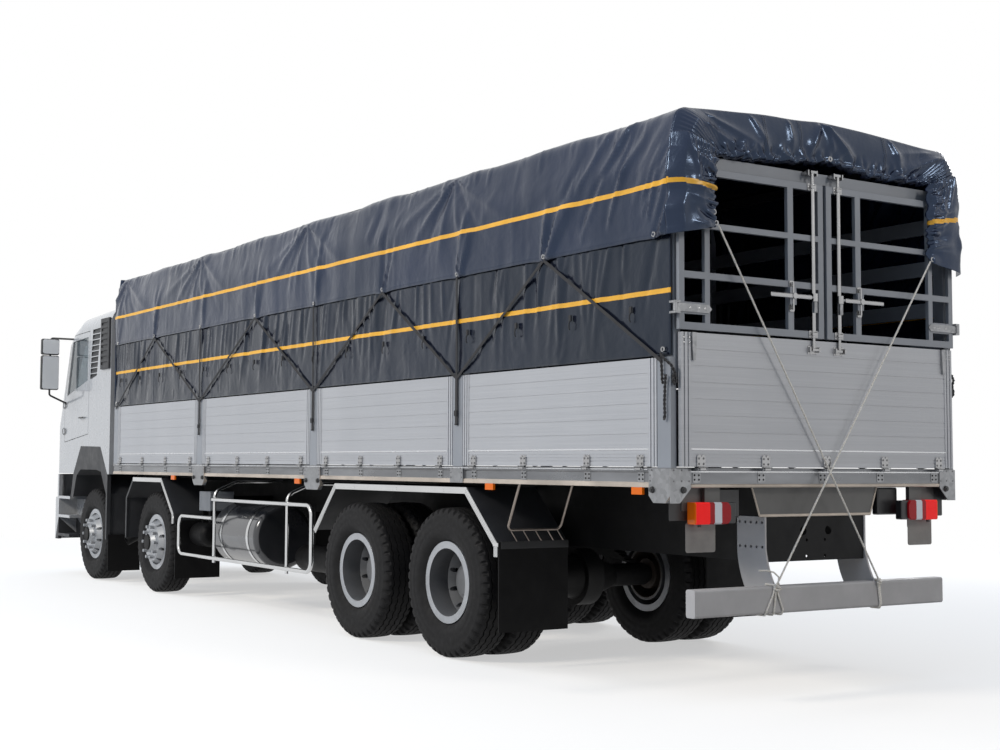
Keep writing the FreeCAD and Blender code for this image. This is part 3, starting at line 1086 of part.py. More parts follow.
def rear_door():
    """A left door: an open tube lattice, a lock rod, its handle in a clip, and three pointed straps."""
    front = DOOR_FACE_AHEAD + DOOR_THICK
    bottom = DOOR_RAIL_HEIGHTS[0][0]
    top = DOOR_RAIL_HEIGHTS[-1][1]
    pieces = [box(DOOR_FACE_AHEAD, front, DOOR_INNER_Y, DOOR_EDGE_Y, low, high)
              for low, high in DOOR_RAIL_HEIGHTS]
    pieces += [box(DOOR_FACE_AHEAD, front, low, high, bottom, top) for low, high in DOOR_STILES_Y]
    pieces.append(box(DOOR_FACE_AHEAD, front, DOOR_STILES_Y[1][0], DOOR_EDGE_Y, *DOOR_HINGE_RAIL))
    rod_ahead = DOOR_FACE_AHEAD - DOOR_ROD_RADIUS / 2
    pieces.append(rod(Vector(rod_ahead, DOOR_ROD_Y, bottom), Vector(rod_ahead, DOOR_ROD_Y, top),
                      DOOR_ROD_RADIUS))
    handle = Vector(rod_ahead - DOOR_ROD_RADIUS, DOOR_ROD_Y, DOOR_HANDLE_Z)
    pieces.append(rod(handle, handle + Vector(0, DOOR_HANDLE_LENGTH, 0), DOOR_HANDLE_RADIUS))
    rearmost = rod_ahead - DOOR_ROD_RADIUS - DOOR_HANDLE_RADIUS
    pieces.append(box(rearmost, DOOR_FACE_AHEAD, DOOR_ROD_Y - DOOR_ROD_RADIUS, DOOR_ROD_Y + DOOR_ROD_RADIUS,
                      DOOR_HANDLE_Z - DOOR_HANDLE_DROP, DOOR_HANDLE_Z + DOOR_STRAP_HALF_HEIGHT))
    clip_y = (DOOR_STILES_Y[2][0] + DOOR_STILES_Y[2][1]) / 2
    pieces.append(box(rearmost + DOOR_HANDLE_RADIUS, DOOR_FACE_AHEAD, clip_y - DOOR_CLIP_WIDTH / 2,
                      clip_y + DOOR_CLIP_WIDTH / 2, DOOR_HANDLE_Z - DOOR_CLIP_HEIGHT / 2,
                      DOOR_HANDLE_Z + DOOR_CLIP_HEIGHT / 2))
    for z in DOOR_STRAP_HEIGHTS:
        low = z - DOOR_STRAP_HALF_HEIGHT
        high = z + DOOR_STRAP_HALF_HEIGHT
        tip = DOOR_EDGE_Y - DOOR_STRAP_LENGTH
        strap = end_prism([(tip, z), (tip + DOOR_STRAP_HALF_HEIGHT, low), (DOOR_HINGE_Y, low),
                           (DOOR_HINGE_Y, high),
                           (tip + DOOR_STRAP_HALF_HEIGHT, high)], DOOR_FACE_AHEAD - DOOR_STRAP_THICK,
                          DOOR_FACE_AHEAD)
        eye = rod(Vector(DOOR_HINGE_AHEAD, DOOR_HINGE_Y, low), Vector(DOOR_HINGE_AHEAD, DOOR_HINGE_Y, high),
                  DOOR_EYE_RADIUS)
        bore = rod(Vector(DOOR_HINGE_AHEAD, DOOR_HINGE_Y, low - OVERRUN),
                   Vector(DOOR_HINGE_AHEAD, DOOR_HINGE_Y, high + OVERRUN), DOOR_PIN_RADIUS + SHAFT_GAP)
        pieces.append(fuse([strap, eye]).cut(bore))
    return fuse(pieces)


def door_hangers():
    """The left hinge pins for a rear door, each on brackets that stand back from the corner post."""
    pieces = []
    for z in DOOR_STRAP_HEIGHTS:
        low = z - DOOR_STRAP_HALF_HEIGHT - HINGE_END_GAP
        high = z + DOOR_STRAP_HALF_HEIGHT + HINGE_END_GAP
        pieces.append(rod(Vector(DOOR_HINGE_AHEAD, DOOR_HINGE_Y, low - DOOR_EYE_RADIUS),
                          Vector(DOOR_HINGE_AHEAD, DOOR_HINGE_Y, high + DOOR_EYE_RADIUS), DOOR_PIN_RADIUS))
        for start in (low - DOOR_EYE_RADIUS, high):
            outer = DOOR_HINGE_Y + DOOR_PIN_RADIUS / 2
            rear = DOOR_HINGE_AHEAD - DOOR_EYE_RADIUS
            outline = [(rear, UPPER_POST_FACE_Y), (rear, outer), (0, outer),
                       (0, UPPER_POST_FACE_Y - UPPER_POST_DEPTH),
                       (-DOOR_HANGER_THICK, UPPER_POST_FACE_Y - UPPER_POST_DEPTH),
                       (-DOOR_HANGER_THICK, UPPER_POST_FACE_Y)]
            pieces.append(plan_prism(outline, start, start + DOOR_EYE_RADIUS))
    return pieces


# Cab: a hollow shell with door openings, windows, a grille and side vents
CAB_BACK = 9880.0
CAB_NOSE = 11965.0
CAB_BOTTOM = 1262.0
CAB_ROOF_REAR = 3235.0
CAB_ROOF_BREAK = (11050.0, 3195.0)
CAB_BROW = (11360.0, 3090.0)
CAB_SCREEN_TOP = (11560.0, 2950.0)
CAB_SCREEN_FOOT = (11890.0, 2080.0)
CAB_CORNER_RADIUS = 190.0
SCREEN_HALF_WIDTHS = (1085.0, 1010.0)
SCREEN_HEIGHTS = (2135.0, 2885.0)
GLASS_THICK = 8.0
GLASS_INSET = 14.0
CAB_DOOR_OUTLINE = ((10680.0, 1745.0), (11605.0, 1655.0), (11605.0, 2190.0), (11395.0, 2972.0),
                    (10680.0, 2990.0))
CAB_WINDOW_OUTLINE = ((10735.0, 2395.0), (11530.0, 2232.0), (11330.0, 2902.0), (10730.0, 2925.0))
CAB_DOOR_GAP = 7.0
CAB_HINGE_AHEAD = 11618.0
CAB_HINGE_Y = 1254.0
CAB_HINGE_HEIGHTS = (1790.0, 2120.0)
CAB_HINGE_LENGTH = 60.0
CAB_HINGE_RADIUS = 11.0
ARCH_CROWN = ((9930.0, 1250.0), (10200.0, 1585.0), (10940.0, 1598.0), (11215.0, 1255.0))
ARCH_REAR_FOOT = (9930.0, 505.0)
ARCH_FRONT_FOOT = (11300.0, 975.0)
ARCH_OPENING = ((9972.0, 505.0), (9972.0, 1030.0), (10170.0, 1290.0), (10330.0, 1312.0), (10930.0, 1312.0),
                (11080.0, 1240.0), (11200.0, 975.0))
ARCH_INNER_Y = 812.0
ARCH_LIP_WIDTH = 45.0
ARCH_SKIN = 12.0
VENT_OUTLINE = ((10280.0, 3005.0), (10390.0, 2440.0), (10640.0, 2395.0), (10560.0, 3000.0))
VENT_DEPTH = 14.0
VENT_LOUVRE_COUNT = 9
GRILLE_HALF_WIDTH = 880.0
GRILLE_HEIGHTS = (1340.0, 1980.0)
GRILLE_SLOT_COUNT = 7
GRILLE_SLOT_DEPTH = 26.0
DOOR_PULL_LENGTH = 170.0
DOOR_PULL_AT = (10800.0, 1945.0)
DOOR_PULL_RADIUS = 9.0


def cab_form(inset, bottom):
    """The cab's rounded outer form, shrunk by inset all round, from a lowest height upward."""
    outline = [(CAB_BACK, bottom), (CAB_BACK, CAB_ROOF_REAR), CAB_ROOF_BREAK, CAB_BROW, CAB_SCREEN_TOP,
               CAB_SCREEN_FOOT, (CAB_NOSE, CAB_SCREEN_FOOT[1] - CAB_CORNER_RADIUS), (CAB_NOSE, bottom)]
    wire = Part.makePolygon([Vector(x, 0, z) for x, z in outline + outline[:1]])
    side = Part.Face(wire)
    if inset > 0:
        side = side.makeOffset2D(-inset, 2)
    half = CAB_HALF_WIDTH - inset
    side.translate(Vector(0, -half, 0))
    block = side.extrude(Vector(0, 2 * half, 0))
    front = []
    for edge in block.Edges:
        low, high = edge.Vertexes[0].Point, edge.Vertexes[-1].Point
        if abs(low.y - high.y) > OVERRUN or abs(abs(low.y) - half) > OVERRUN:
            continue
        on_roof = min(low.z, high.z) > CAB_SCREEN_TOP[1] - inset - OVERRUN
        on_nose = min(low.x, high.x) > CAB_BROW[0] - inset and abs(low.z - high.z) > OVERRUN
        if (on_roof and abs(low.x - high.x) > OVERRUN) or on_nose:
            front.append(edge)
    return block.makeFillet(CAB_CORNER_RADIUS - inset, front)


def window_prism(outline, gap, y_low, y_high):
    """A side outline shrunk by a gap and pushed along Y. A negative gap makes it larger."""
    flat = face_of([Vector(x, 0, z) for x, z in outline]).makeOffset2D(-gap, 2)
    flat.translate(Vector(0, y_low, 0))
    return flat.extrude(Vector(0, y_high - y_low, 0))


def screen_prism(gap):
    """The windscreen's outline seen from ahead, shrunk by a gap, along X."""
    foot, top = SCREEN_HALF_WIDTHS
    low, high = SCREEN_HEIGHTS
    return end_prism([(gap - foot, low + gap), (foot - gap, low + gap), (top - gap, high - gap),
                      (gap - top, high - gap)],
                     CAB_BROW[0], CAB_NOSE + CAB_WALL)


def cab_walls():
    """The cab's walls, roof and floor before anything is cut."""
    outer = cab_form(0, CAB_BOTTOM)
    room = cab_form(CAB_WALL, CAB_FLOOR_TOP - CAB_WALL)
    under = cab_form(CAB_WALL, CAB_BOTTOM - 2 * CAB_WALL).common(
        box(CAB_BACK - CAB_WALL, CAB_NOSE, -CAB_HALF_WIDTH, CAB_HALF_WIDTH, CAB_BOTTOM - CAB_WALL,
            CAB_FLOOR_TOP - CAB_FLOOR_THICK))
    return outer.cut([room, under])


def vent(y):
    """Left side vent: a sunk field crossed by louvres."""
    field = window_prism(VENT_OUTLINE, 0, y - VENT_DEPTH, y + OVERRUN)
    low = VENT_OUTLINE[2][1]
    high = VENT_OUTLINE[0][1]
    pitch = (high - low) / VENT_LOUVRE_COUNT
    louvres = []
    for index in range(VENT_LOUVRE_COUNT):
        z = low + (index + 0.5) * pitch
        louvres.append(end_prism([(y - VENT_DEPTH, z - pitch / 4), (y, z - pitch / 2), (y, z - pitch / 3),
                                  (y - VENT_DEPTH, z + pitch / 4)], VENT_OUTLINE[0][0], VENT_OUTLINE[2][0]))
    return field.cut(louvres)


def cab_shell():
    """The cab without its doors and glass."""
    shell = cab_walls()
    cuts = [screen_prism(0), vent(CAB_HALF_WIDTH), mirrored(vent(CAB_HALF_WIDTH))]
    opening = window_prism(CAB_DOOR_OUTLINE, -CAB_DOOR_GAP, CAB_HALF_WIDTH - 2 * CAB_WALL,
                           CAB_HALF_WIDTH + CAB_WALL)
    crown = [(ARCH_CROWN[0][0], CAB_BOTTOM - CAB_WALL)] + list(ARCH_CROWN) + [(ARCH_CROWN[-1][0],
                                                                               CAB_BOTTOM - CAB_WALL)]
    arch = side_prism(crown, CAB_HALF_WIDTH - 2 * CAB_WALL, CAB_HALF_WIDTH + CAB_WALL)
    cuts += pair(opening) + pair(arch)
    low, high = GRILLE_HEIGHTS
    pitch = (high - low) / GRILLE_SLOT_COUNT
    for index in range(GRILLE_SLOT_COUNT):
        z = low + index * pitch
        cuts.append(box(CAB_NOSE - GRILLE_SLOT_DEPTH, CAB_NOSE + OVERRUN, -GRILLE_HALF_WIDTH,
                        GRILLE_HALF_WIDTH, z, z + pitch / 2))
    shell = shell.cut(cuts)
    pins = []
    for z in CAB_HINGE_HEIGHTS:
        for start in (z - CAB_HINGE_LENGTH / 2 - HINGE_END_GAP - CAB_HINGE_RADIUS,
                      z + CAB_HINGE_LENGTH / 2 + HINGE_END_GAP):
            pins.append(box(CAB_HINGE_AHEAD - CAB_HINGE_RADIUS / 2, CAB_HINGE_AHEAD + 2 * CAB_HINGE_RADIUS,
                            CAB_HALF_WIDTH - CAB_HINGE_RADIUS, CAB_HINGE_Y + CAB_HINGE_RADIUS / 2, start,
                            start + CAB_HINGE_RADIUS))
        pins.append(rod(Vector(CAB_HINGE_AHEAD, CAB_HINGE_Y, z - CAB_HINGE_LENGTH / 2 - CAB_HINGE_RADIUS),
                        Vector(CAB_HINGE_AHEAD, CAB_HINGE_Y, z + CAB_HINGE_LENGTH / 2 + CAB_HINGE_RADIUS),
                        HINGE_PIN_RADIUS))
    return fuse([shell] + pins + [mirrored(pin) for pin in pins])


# Mirrors, carried on the doors by tube arms
MIRROR_AHEAD = 11570.0
MIRROR_DEPTH = 75.0
MIRROR_Y = (1345.0, 1570.0)
MIRROR_HEIGHTS = ((2307.0, 2740.0), (2748.0, 2950.0))
MIRROR_ARM_RADIUS = 12.0
MIRROR_ARM_HEIGHTS = (2240.0, 2960.0)
MIRROR_ARM_FEET = ((11560.0, 2130.0), (11340.0, 2940.0))
MIRROR_ROUND = 22.0


def mirror_set():
    """A left pair of mirrors, one above the other, on a bent tube from the door's foot to its top corner."""
    x = MIRROR_AHEAD
    y = (MIRROR_Y[0] + MIRROR_Y[1]) / 2
    low_foot, high_foot = MIRROR_ARM_FEET
    tube = bent_tube([Vector(low_foot[0], CAB_HALF_WIDTH - CAB_WALL / 2, low_foot[1]),
                      Vector(x, y, MIRROR_ARM_HEIGHTS[0]), Vector(x, y, MIRROR_ARM_HEIGHTS[1]),
                      Vector(high_foot[0], CAB_HALF_WIDTH - CAB_WALL / 2, high_foot[1])],
                     MIRROR_ARM_RADIUS, 3 * MIRROR_ARM_RADIUS)
    pieces = [tube]
    for low, high in MIRROR_HEIGHTS:
        shell = box(x - MIRROR_DEPTH / 3, x + 2 * MIRROR_DEPTH / 3, *MIRROR_Y, low, high)
        pieces.append(shell.makeFillet(MIRROR_ROUND, shell.Edges))
    return pieces


def cab_door():
    """A left cab door, cut from the same walls, with its window opening, pull, hinge eyes and mirrors."""
    leaf = cab_walls().common(window_prism(CAB_DOOR_OUTLINE, 0, CAB_HALF_WIDTH - CAB_WALL,
                                           CAB_HALF_WIDTH + CAB_WALL))
    window = window_prism(CAB_WINDOW_OUTLINE, 0, CAB_HALF_WIDTH - 2 * CAB_WALL, CAB_HALF_WIDTH + CAB_WALL)
    leaf = leaf.cut(window)
    x, z = DOOR_PULL_AT
    standoff = 3 * DOOR_PULL_RADIUS
    pull = bent_tube([Vector(x, CAB_HALF_WIDTH - CAB_WALL / 2, z), Vector(x, CAB_HALF_WIDTH + standoff, z),
                      Vector(x + DOOR_PULL_LENGTH, CAB_HALF_WIDTH + standoff, z),
                      Vector(x + DOOR_PULL_LENGTH, CAB_HALF_WIDTH - CAB_WALL / 2, z)],
                     DOOR_PULL_RADIUS, 2 * DOOR_PULL_RADIUS)
    eyes = []
    for height in CAB_HINGE_HEIGHTS:
        low = Vector(CAB_HINGE_AHEAD, CAB_HINGE_Y, height - CAB_HINGE_LENGTH / 2)
        high = Vector(CAB_HINGE_AHEAD, CAB_HINGE_Y, height + CAB_HINGE_LENGTH / 2)
        strap = box(CAB_HINGE_AHEAD - 5 * CAB_HINGE_RADIUS, CAB_HINGE_AHEAD,
                    CAB_HINGE_Y - CAB_HINGE_RADIUS / 2, CAB_HINGE_Y + CAB_HINGE_RADIUS / 2, low.z, high.z)
        pad = box(CAB_HINGE_AHEAD - 5 * CAB_HINGE_RADIUS, CAB_HINGE_AHEAD - 2 * CAB_HINGE_RADIUS,
                  CAB_HALF_WIDTH - HINGE_PIN_RADIUS, CAB_HINGE_Y, low.z, high.z)
        bore = rod(low - Vector(0, 0, OVERRUN), high + Vector(0, 0, OVERRUN), HINGE_PIN_RADIUS + SHAFT_GAP)
        eyes.append(fuse([rod(low, high, CAB_HINGE_RADIUS), strap, pad]).cut(bore))
    return fuse([leaf, pull] + mirror_set() + eyes)


def door_glass():
    """A left side window that fills the door's opening."""
    return window_prism(CAB_WINDOW_OUTLINE, FIT_GAP, CAB_HALF_WIDTH - GLASS_INSET - GLASS_THICK,
                        CAB_HALF_WIDTH - GLASS_INSET)


def windscreen():
    """The windscreen, curved with the cab's corners."""
    skin = cab_form(GLASS_INSET, CAB_BOTTOM).cut(cab_form(GLASS_INSET + GLASS_THICK, CAB_BOTTOM - CAB_WALL))
    return skin.common(screen_prism(FIT_GAP))


# Cab interior
SEAT_WIDTH = 500.0
SEAT_DEPTH = 480.0
SEAT_THICK = 120.0
SEAT_Y = 620.0
SEAT_AHEAD = 10760.0
SEAT_HEIGHT = 2010.0
SEAT_BACK_HEIGHT = 680.0
SEAT_BASE_WIDTH = 320.0
DASH_AHEAD = 11500.0
DASH_BOTTOM = 1900.0
DASH_TOP = 2160.0
BUNK_LENGTH = 560.0
BUNK_TOP = 2020.0
WHEEL_RADIUS = 225.0
WHEEL_RIM_RADIUS = 15.0
COLUMN_RADIUS = 32.0
COLUMN_TILT = 35.0


def cab_interior():
    """Two seats on pedestals, a bunk base, the dashboard, and the steering wheel on its column."""
    pieces = []
    for way in (1, -1):
        middle = way * SEAT_Y
        cushion = box(SEAT_AHEAD, SEAT_AHEAD + SEAT_DEPTH, middle - SEAT_WIDTH / 2, middle + SEAT_WIDTH / 2,
                      SEAT_HEIGHT - SEAT_THICK, SEAT_HEIGHT)
        back = side_prism([(SEAT_AHEAD - SEAT_THICK / 2, SEAT_HEIGHT - SEAT_THICK),
                           (SEAT_AHEAD + SEAT_THICK / 2,
                           SEAT_HEIGHT - SEAT_THICK), (SEAT_AHEAD, SEAT_HEIGHT + SEAT_BACK_HEIGHT),
                           (SEAT_AHEAD - SEAT_THICK, SEAT_HEIGHT + SEAT_BACK_HEIGHT)],
                          middle - SEAT_WIDTH / 2, middle + SEAT_WIDTH / 2)
        base = box(SEAT_AHEAD + SEAT_THICK / 2, SEAT_AHEAD + SEAT_DEPTH - SEAT_THICK / 2,
                   middle - SEAT_BASE_WIDTH / 2, middle + SEAT_BASE_WIDTH / 2, CAB_FLOOR_TOP,
                   SEAT_HEIGHT - SEAT_THICK)
        pieces.append(fuse([cushion, back, base]))
    inner = CAB_HALF_WIDTH - CAB_WALL
    bunk = box(CAB_BACK + CAB_WALL, CAB_BACK + CAB_WALL + BUNK_LENGTH, -inner, inner, CAB_FLOOR_TOP, BUNK_TOP)
    dash_front = CAB_SCREEN_FOOT[0] - 2 * CAB_WALL
    half = inner - CAB_CORNER_RADIUS
    dash = side_prism([(DASH_AHEAD, DASH_BOTTOM), (dash_front, DASH_BOTTOM),
                       (dash_front - CAB_WALL, DASH_TOP), (DASH_AHEAD + CAB_WALL, DASH_TOP)], -half, half)
    foot = box(dash_front - 2 * CAB_WALL, dash_front, -half, half, CAB_FLOOR_TOP, DASH_BOTTOM)
    hub = Vector(DASH_AHEAD - 3 * COLUMN_RADIUS, SEAT_Y, (DASH_BOTTOM + DASH_TOP) / 2 + 3 * COLUMN_RADIUS)
    tilt = math.radians(COLUMN_TILT)
    axis = Vector(-math.sin(tilt), 0, math.cos(tilt))
    column = rod(hub - axis * WHEEL_RADIUS, hub, COLUMN_RADIUS)
    rim = Part.makeTorus(WHEEL_RADIUS, WHEEL_RIM_RADIUS, hub, axis)
    spokes = [rod(hub, hub + Vector(0, way * WHEEL_RADIUS, 0), WHEEL_RIM_RADIUS * 0.8) for way in (1, -1)]
    return pieces + [bunk, fuse([dash, foot, column, rim] + spokes)]


# Front bumper with its steps
BUMPER_NOSE = 12035.0
BUMPER_REAR = 11785.0
BUMPER_BOTTOM = 430.0
BUMPER_TOP = 957.0
BUMPER_RADIUS = 150.0
BUMPER_WALL = 45.0
STEP_REAR = 11330.0
STEP_DEPTH_Y = 230.0
STEP_HEIGHTS = (505.0, 740.0, 975.0)
STEP_THICK = 34.0
STEP_PLATE = 12.0
LAMP_PANEL_TOP = 1250.0


def rounded_nose(nose, radius, half, rear, low, high):
    """A block with its two front vertical edges rounded."""
    block = box(rear, nose, -half, half, low, high)
    edges = [edge for edge in block.Edges
             if abs(edge.Vertexes[0].Z - edge.Vertexes[-1].Z) > OVERRUN
             and edge.Vertexes[0].X > nose - OVERRUN]
    return block.makeFillet(radius, edges)


def bumper_front():
    """A hollow bumper, the lamp panel above it, and three steps on each side."""
    lower = rounded_nose(BUMPER_NOSE, BUMPER_RADIUS, CAB_HALF_WIDTH, BUMPER_REAR, BUMPER_BOTTOM, BUMPER_TOP)
    upper = rounded_nose(CAB_NOSE, BUMPER_RADIUS, CAB_HALF_WIDTH, BUMPER_REAR, BUMPER_TOP - OVERRUN,
                         LAMP_PANEL_TOP)
    inner = rounded_nose(CAB_NOSE - BUMPER_WALL, BUMPER_RADIUS - BUMPER_WALL, CAB_HALF_WIDTH - BUMPER_WALL,
                         BUMPER_REAR - OVERRUN, BUMPER_BOTTOM - OVERRUN, LAMP_PANEL_TOP + OVERRUN)
    shell = fuse([lower, upper]).cut(inner)
    beam = box(FRAME_FRONT_AHEAD + FIT_GAP, CAB_NOSE - BUMPER_WALL, -RAIL_OUTER_Y, RAIL_OUTER_Y,
               FRAME_TOP - RAIL_HEIGHT, FRAME_TOP - RAIL_HEIGHT / 2)
    pieces = [shell, beam]
    for way in (1, -1):
        near = way * (CAB_HALF_WIDTH - STEP_DEPTH_Y)
        far = way * CAB_HALF_WIDTH
        y_low, y_high = min(near, far), max(near, far)
        for top in STEP_HEIGHTS:
            pieces.append(box(STEP_REAR, BUMPER_REAR, y_low, y_high, top - STEP_THICK, top))
        back = way * (CAB_HALF_WIDTH - STEP_DEPTH_Y)
        plate = back - way * STEP_PLATE
        pieces.append(box(STEP_REAR, BUMPER_REAR + BUMPER_WALL, min(back, plate), max(back, plate),
                          STEP_HEIGHTS[0] - STEP_THICK, STEP_HEIGHTS[-1]))
        pieces.append(box(BUMPER_REAR - STEP_PLATE, BUMPER_REAR + OVERRUN, y_low, y_high,
                          STEP_HEIGHTS[0] - STEP_THICK, STEP_HEIGHTS[-1]))
    return fuse(pieces)


# Air intake on the cab's left rear side
INTAKE_AHEAD = (9905.0, 10205.0)
INTAKE_HEIGHTS = (2500.0, 3100.0)
INTAKE_PROUD = 24.0
INTAKE_BAR_COUNT = 8


def air_intake():
    """A black grille box on the cab's left side."""
    rear, front = INTAKE_AHEAD
    low, high = INTAKE_HEIGHTS
    y = CAB_HALF_WIDTH + FIT_GAP
    body = box(rear, front, y, y + INTAKE_PROUD, low, high)
    pitch = (high - low) / (INTAKE_BAR_COUNT + 1)
    slots = [box(rear + 2 * INTAKE_PROUD, front - INTAKE_PROUD, y + INTAKE_PROUD / 2, y + 2 * INTAKE_PROUD,
                 low + (index + 0.75) * pitch,
                 low + (index + 1.25) * pitch) for index in range(INTAKE_BAR_COUNT)]
    return body.cut(slots)


# Mudguards
FENDER_OUTER_Y = 1238.0
FENDER_INNER_Y = 640.0
FENDER_THICK = 12.0
FENDER_LIP = 30.0
FENDER_TOP = 1236.0
REAR_FENDER_OUTLINE = ((1800.0, 765.0), (1800.0, 856.0), (2200.0, FENDER_TOP), (4215.0, FENDER_TOP),
                       (4590.0, 845.0))
FRONT_FENDER_OUTLINE = ((7823.0, 767.0), (7823.0, 874.0), (8185.0, FENDER_TOP), (9060.0, FENDER_TOP),
                        (9290.0, 1010.0), (9290.0, 560.0))
REAR_FENDER_STAYS = (2506.0, 3191.0, 3876.0)
FRONT_FENDER_STAYS = (8330.0, 8900.0)
FENDER_STAY_RADIUS = 16.0
FLAP_THICK = 12.0
REAR_FLAP_AHEAD = 1800.0
SECOND_FLAP_AHEAD = 7823.0
FIRST_FLAP_AHEAD = 9930.0
REAR_FLAP = (650.0, 1236.0, 250.0, 866.0)
SECOND_FLAP = (720.0, 1220.0, 200.0, 800.0)
FIRST_FLAP = (830.0, 1220.0, 140.0, 560.0)


def fender(outline, inner_y, stays_ahead):
    """A left mudguard: a folded skin with a lip along its outer edge, on tube stays from the long bearer."""
    skins = []
    z = FENDER_TOP - FENDER_THICK - FENDER_STAY_RADIUS / 2
    for ahead in stays_ahead:
        skins.append(rod(Vector(ahead, BEARER_Y + BEARER_WIDTH / 2 + FIT_GAP, z),
                         Vector(ahead, FENDER_OUTER_Y - FENDER_THICK / 2, z), FENDER_STAY_RADIUS))
    for depth, near in ((FENDER_THICK, inner_y), (FENDER_LIP, FENDER_OUTER_Y - FENDER_THICK)):
        wire = Part.makePolygon([Vector(x, near, z) for x, z in outline])
        band = wire.makeOffset2D(-depth, 2, True, True)
        face = band if band.Faces else Part.Face(band)
        skins.append(face.extrude(Vector(0, FENDER_OUTER_Y - near, 0)))
    return fuse(skins)


def cab_arch():
    """A left wheel arch under the cab: an outer face panel and a liner that runs inboard over the tyre."""
    outer = [ARCH_REAR_FOOT] + list(ARCH_CROWN) + [ARCH_FRONT_FOOT]
    inner = list(ARCH_OPENING)
    face = side_prism(outer + inner[::-1], CAB_HALF_WIDTH - ARCH_LIP_WIDTH, CAB_HALF_WIDTH)
    wire = Part.makePolygon([Vector(x, ARCH_INNER_Y, z) for x, z in inner])
    band = wire.makeOffset2D(ARCH_SKIN, 2, True, True)
    liner = (band if band.Faces else Part.Face(band)).extrude(Vector(0,
                                                                     CAB_HALF_WIDTH - ARCH_INNER_Y - OVERRUN,
                                                                     0))
    return fuse([face, liner])


def fenders():
    """All mudguards and the cab's arches."""
    left = [fender(REAR_FENDER_OUTLINE, FENDER_INNER_Y, REAR_FENDER_STAYS),
            fender(FRONT_FENDER_OUTLINE, KINGPIN_Y - ARM_WIDTH, FRONT_FENDER_STAYS), cab_arch()]
    save("fenders", left + [mirrored(piece) for piece in left])


def mud_flaps():
    """Rubber flaps behind every wheel group."""
    left = []
    for ahead, (y_low, y_high, low, high) in ((REAR_FLAP_AHEAD, REAR_FLAP), (SECOND_FLAP_AHEAD, SECOND_FLAP),
                                              (FIRST_FLAP_AHEAD, FIRST_FLAP)):
        left.append(box(ahead - FLAP_THICK - FIT_GAP, ahead - FIT_GAP, y_low, y_high, low, high))
    save("mud_flaps", left + [mirrored(piece) for piece in left])


# Side guards and rear underrun bar
GUARD_RADIUS = 19.0
GUARD_Y = 1200.0
GUARD_BEND = 95.0
GUARD_ENDS_AHEAD = (4715.0, 7762.0)
GUARD_LOW = 466.0
GUARD_REAR_HIGH = 1040.0
GUARD_FRONT_HIGH = 855.0
GUARD_POSTS_AHEAD = (5235.0, 6880.0)
GUARD_POST_RADIUS = 16.0
GUARD_POST_BELOW = 45.0
GUARD_POST_BEND_Z = 1120.0
GUARD_POST_TOP = 1215.0
GUARD_POST_BEND_Y = 950.0
UNDERRUN_HALF_WIDTH = 1083.0
UNDERRUN_HEIGHTS = (506.0, 672.0)
UNDERRUN_REAR = -25.0
UNDERRUN_DEPTH = 80.0
UNDERRUN_ARM_TOP = 1088.0
UNDERRUN_ARM_PLATE = 14.0
UNDERRUN_ARM_WIDTH = 242.0
UNDERRUN_ARM_SWEEP = 100.0
UNDERRUN_ARM_KNEE = 80.0
UNDERRUN_HOLE_RADIUS = 9.0
UNDERRUN_HOLE_COUNT = 5
UNDERRUN_HOLE_SHARES = (0.06, 0.82)
FLAP_STAY_RADIUS = 9.0
FLAP_STAY_BEND = 40.0
FLAP_STAY_Z = 948.0
FLAP_STAY_SWEEP = 190.0
FLAP_STAY_ENDS_Y = (1165.0, 715.0)
FLAP_STRIP_HEIGHT = 46.0
FLAP_STRIP_THICK = 6.0
FLAP_GRID_SHARES = (0.06, 0.29, 0.52, 0.75, 0.94)
FLAP_GRID_SLANT = 48.0
FLAP_GRID_RADIUS = 5.0


def side_guard(way):
    """A guard: one bent tube, high behind the front post, low ahead of it, on posts from the bearer."""
    rear, front = GUARD_ENDS_AHEAD
    joint = GUARD_POSTS_AHEAD[-1]
    route = ((joint, GUARD_REAR_HIGH), (rear, GUARD_REAR_HIGH), (rear, GUARD_LOW), (front, GUARD_LOW),
             (front, GUARD_FRONT_HIGH), (joint, GUARD_FRONT_HIGH))
    pieces = [bent_tube([Vector(x, way * GUARD_Y, z) for x, z in route], GUARD_RADIUS, GUARD_BEND)]
    for ahead in GUARD_POSTS_AHEAD:
        y = GUARD_Y - GUARD_RADIUS
        route = ((y, GUARD_LOW - GUARD_POST_BELOW), (y, GUARD_POST_BEND_Z),
                 (GUARD_POST_BEND_Y, GUARD_POST_TOP), (BEARER_Y + BEARER_WIDTH / 2 + FIT_GAP, GUARD_POST_TOP))
        pieces.append(bent_tube([Vector(ahead, way * across, z) for across, z in route], GUARD_POST_RADIUS,
                                GUARD_BEND))
    return fuse(pieces)


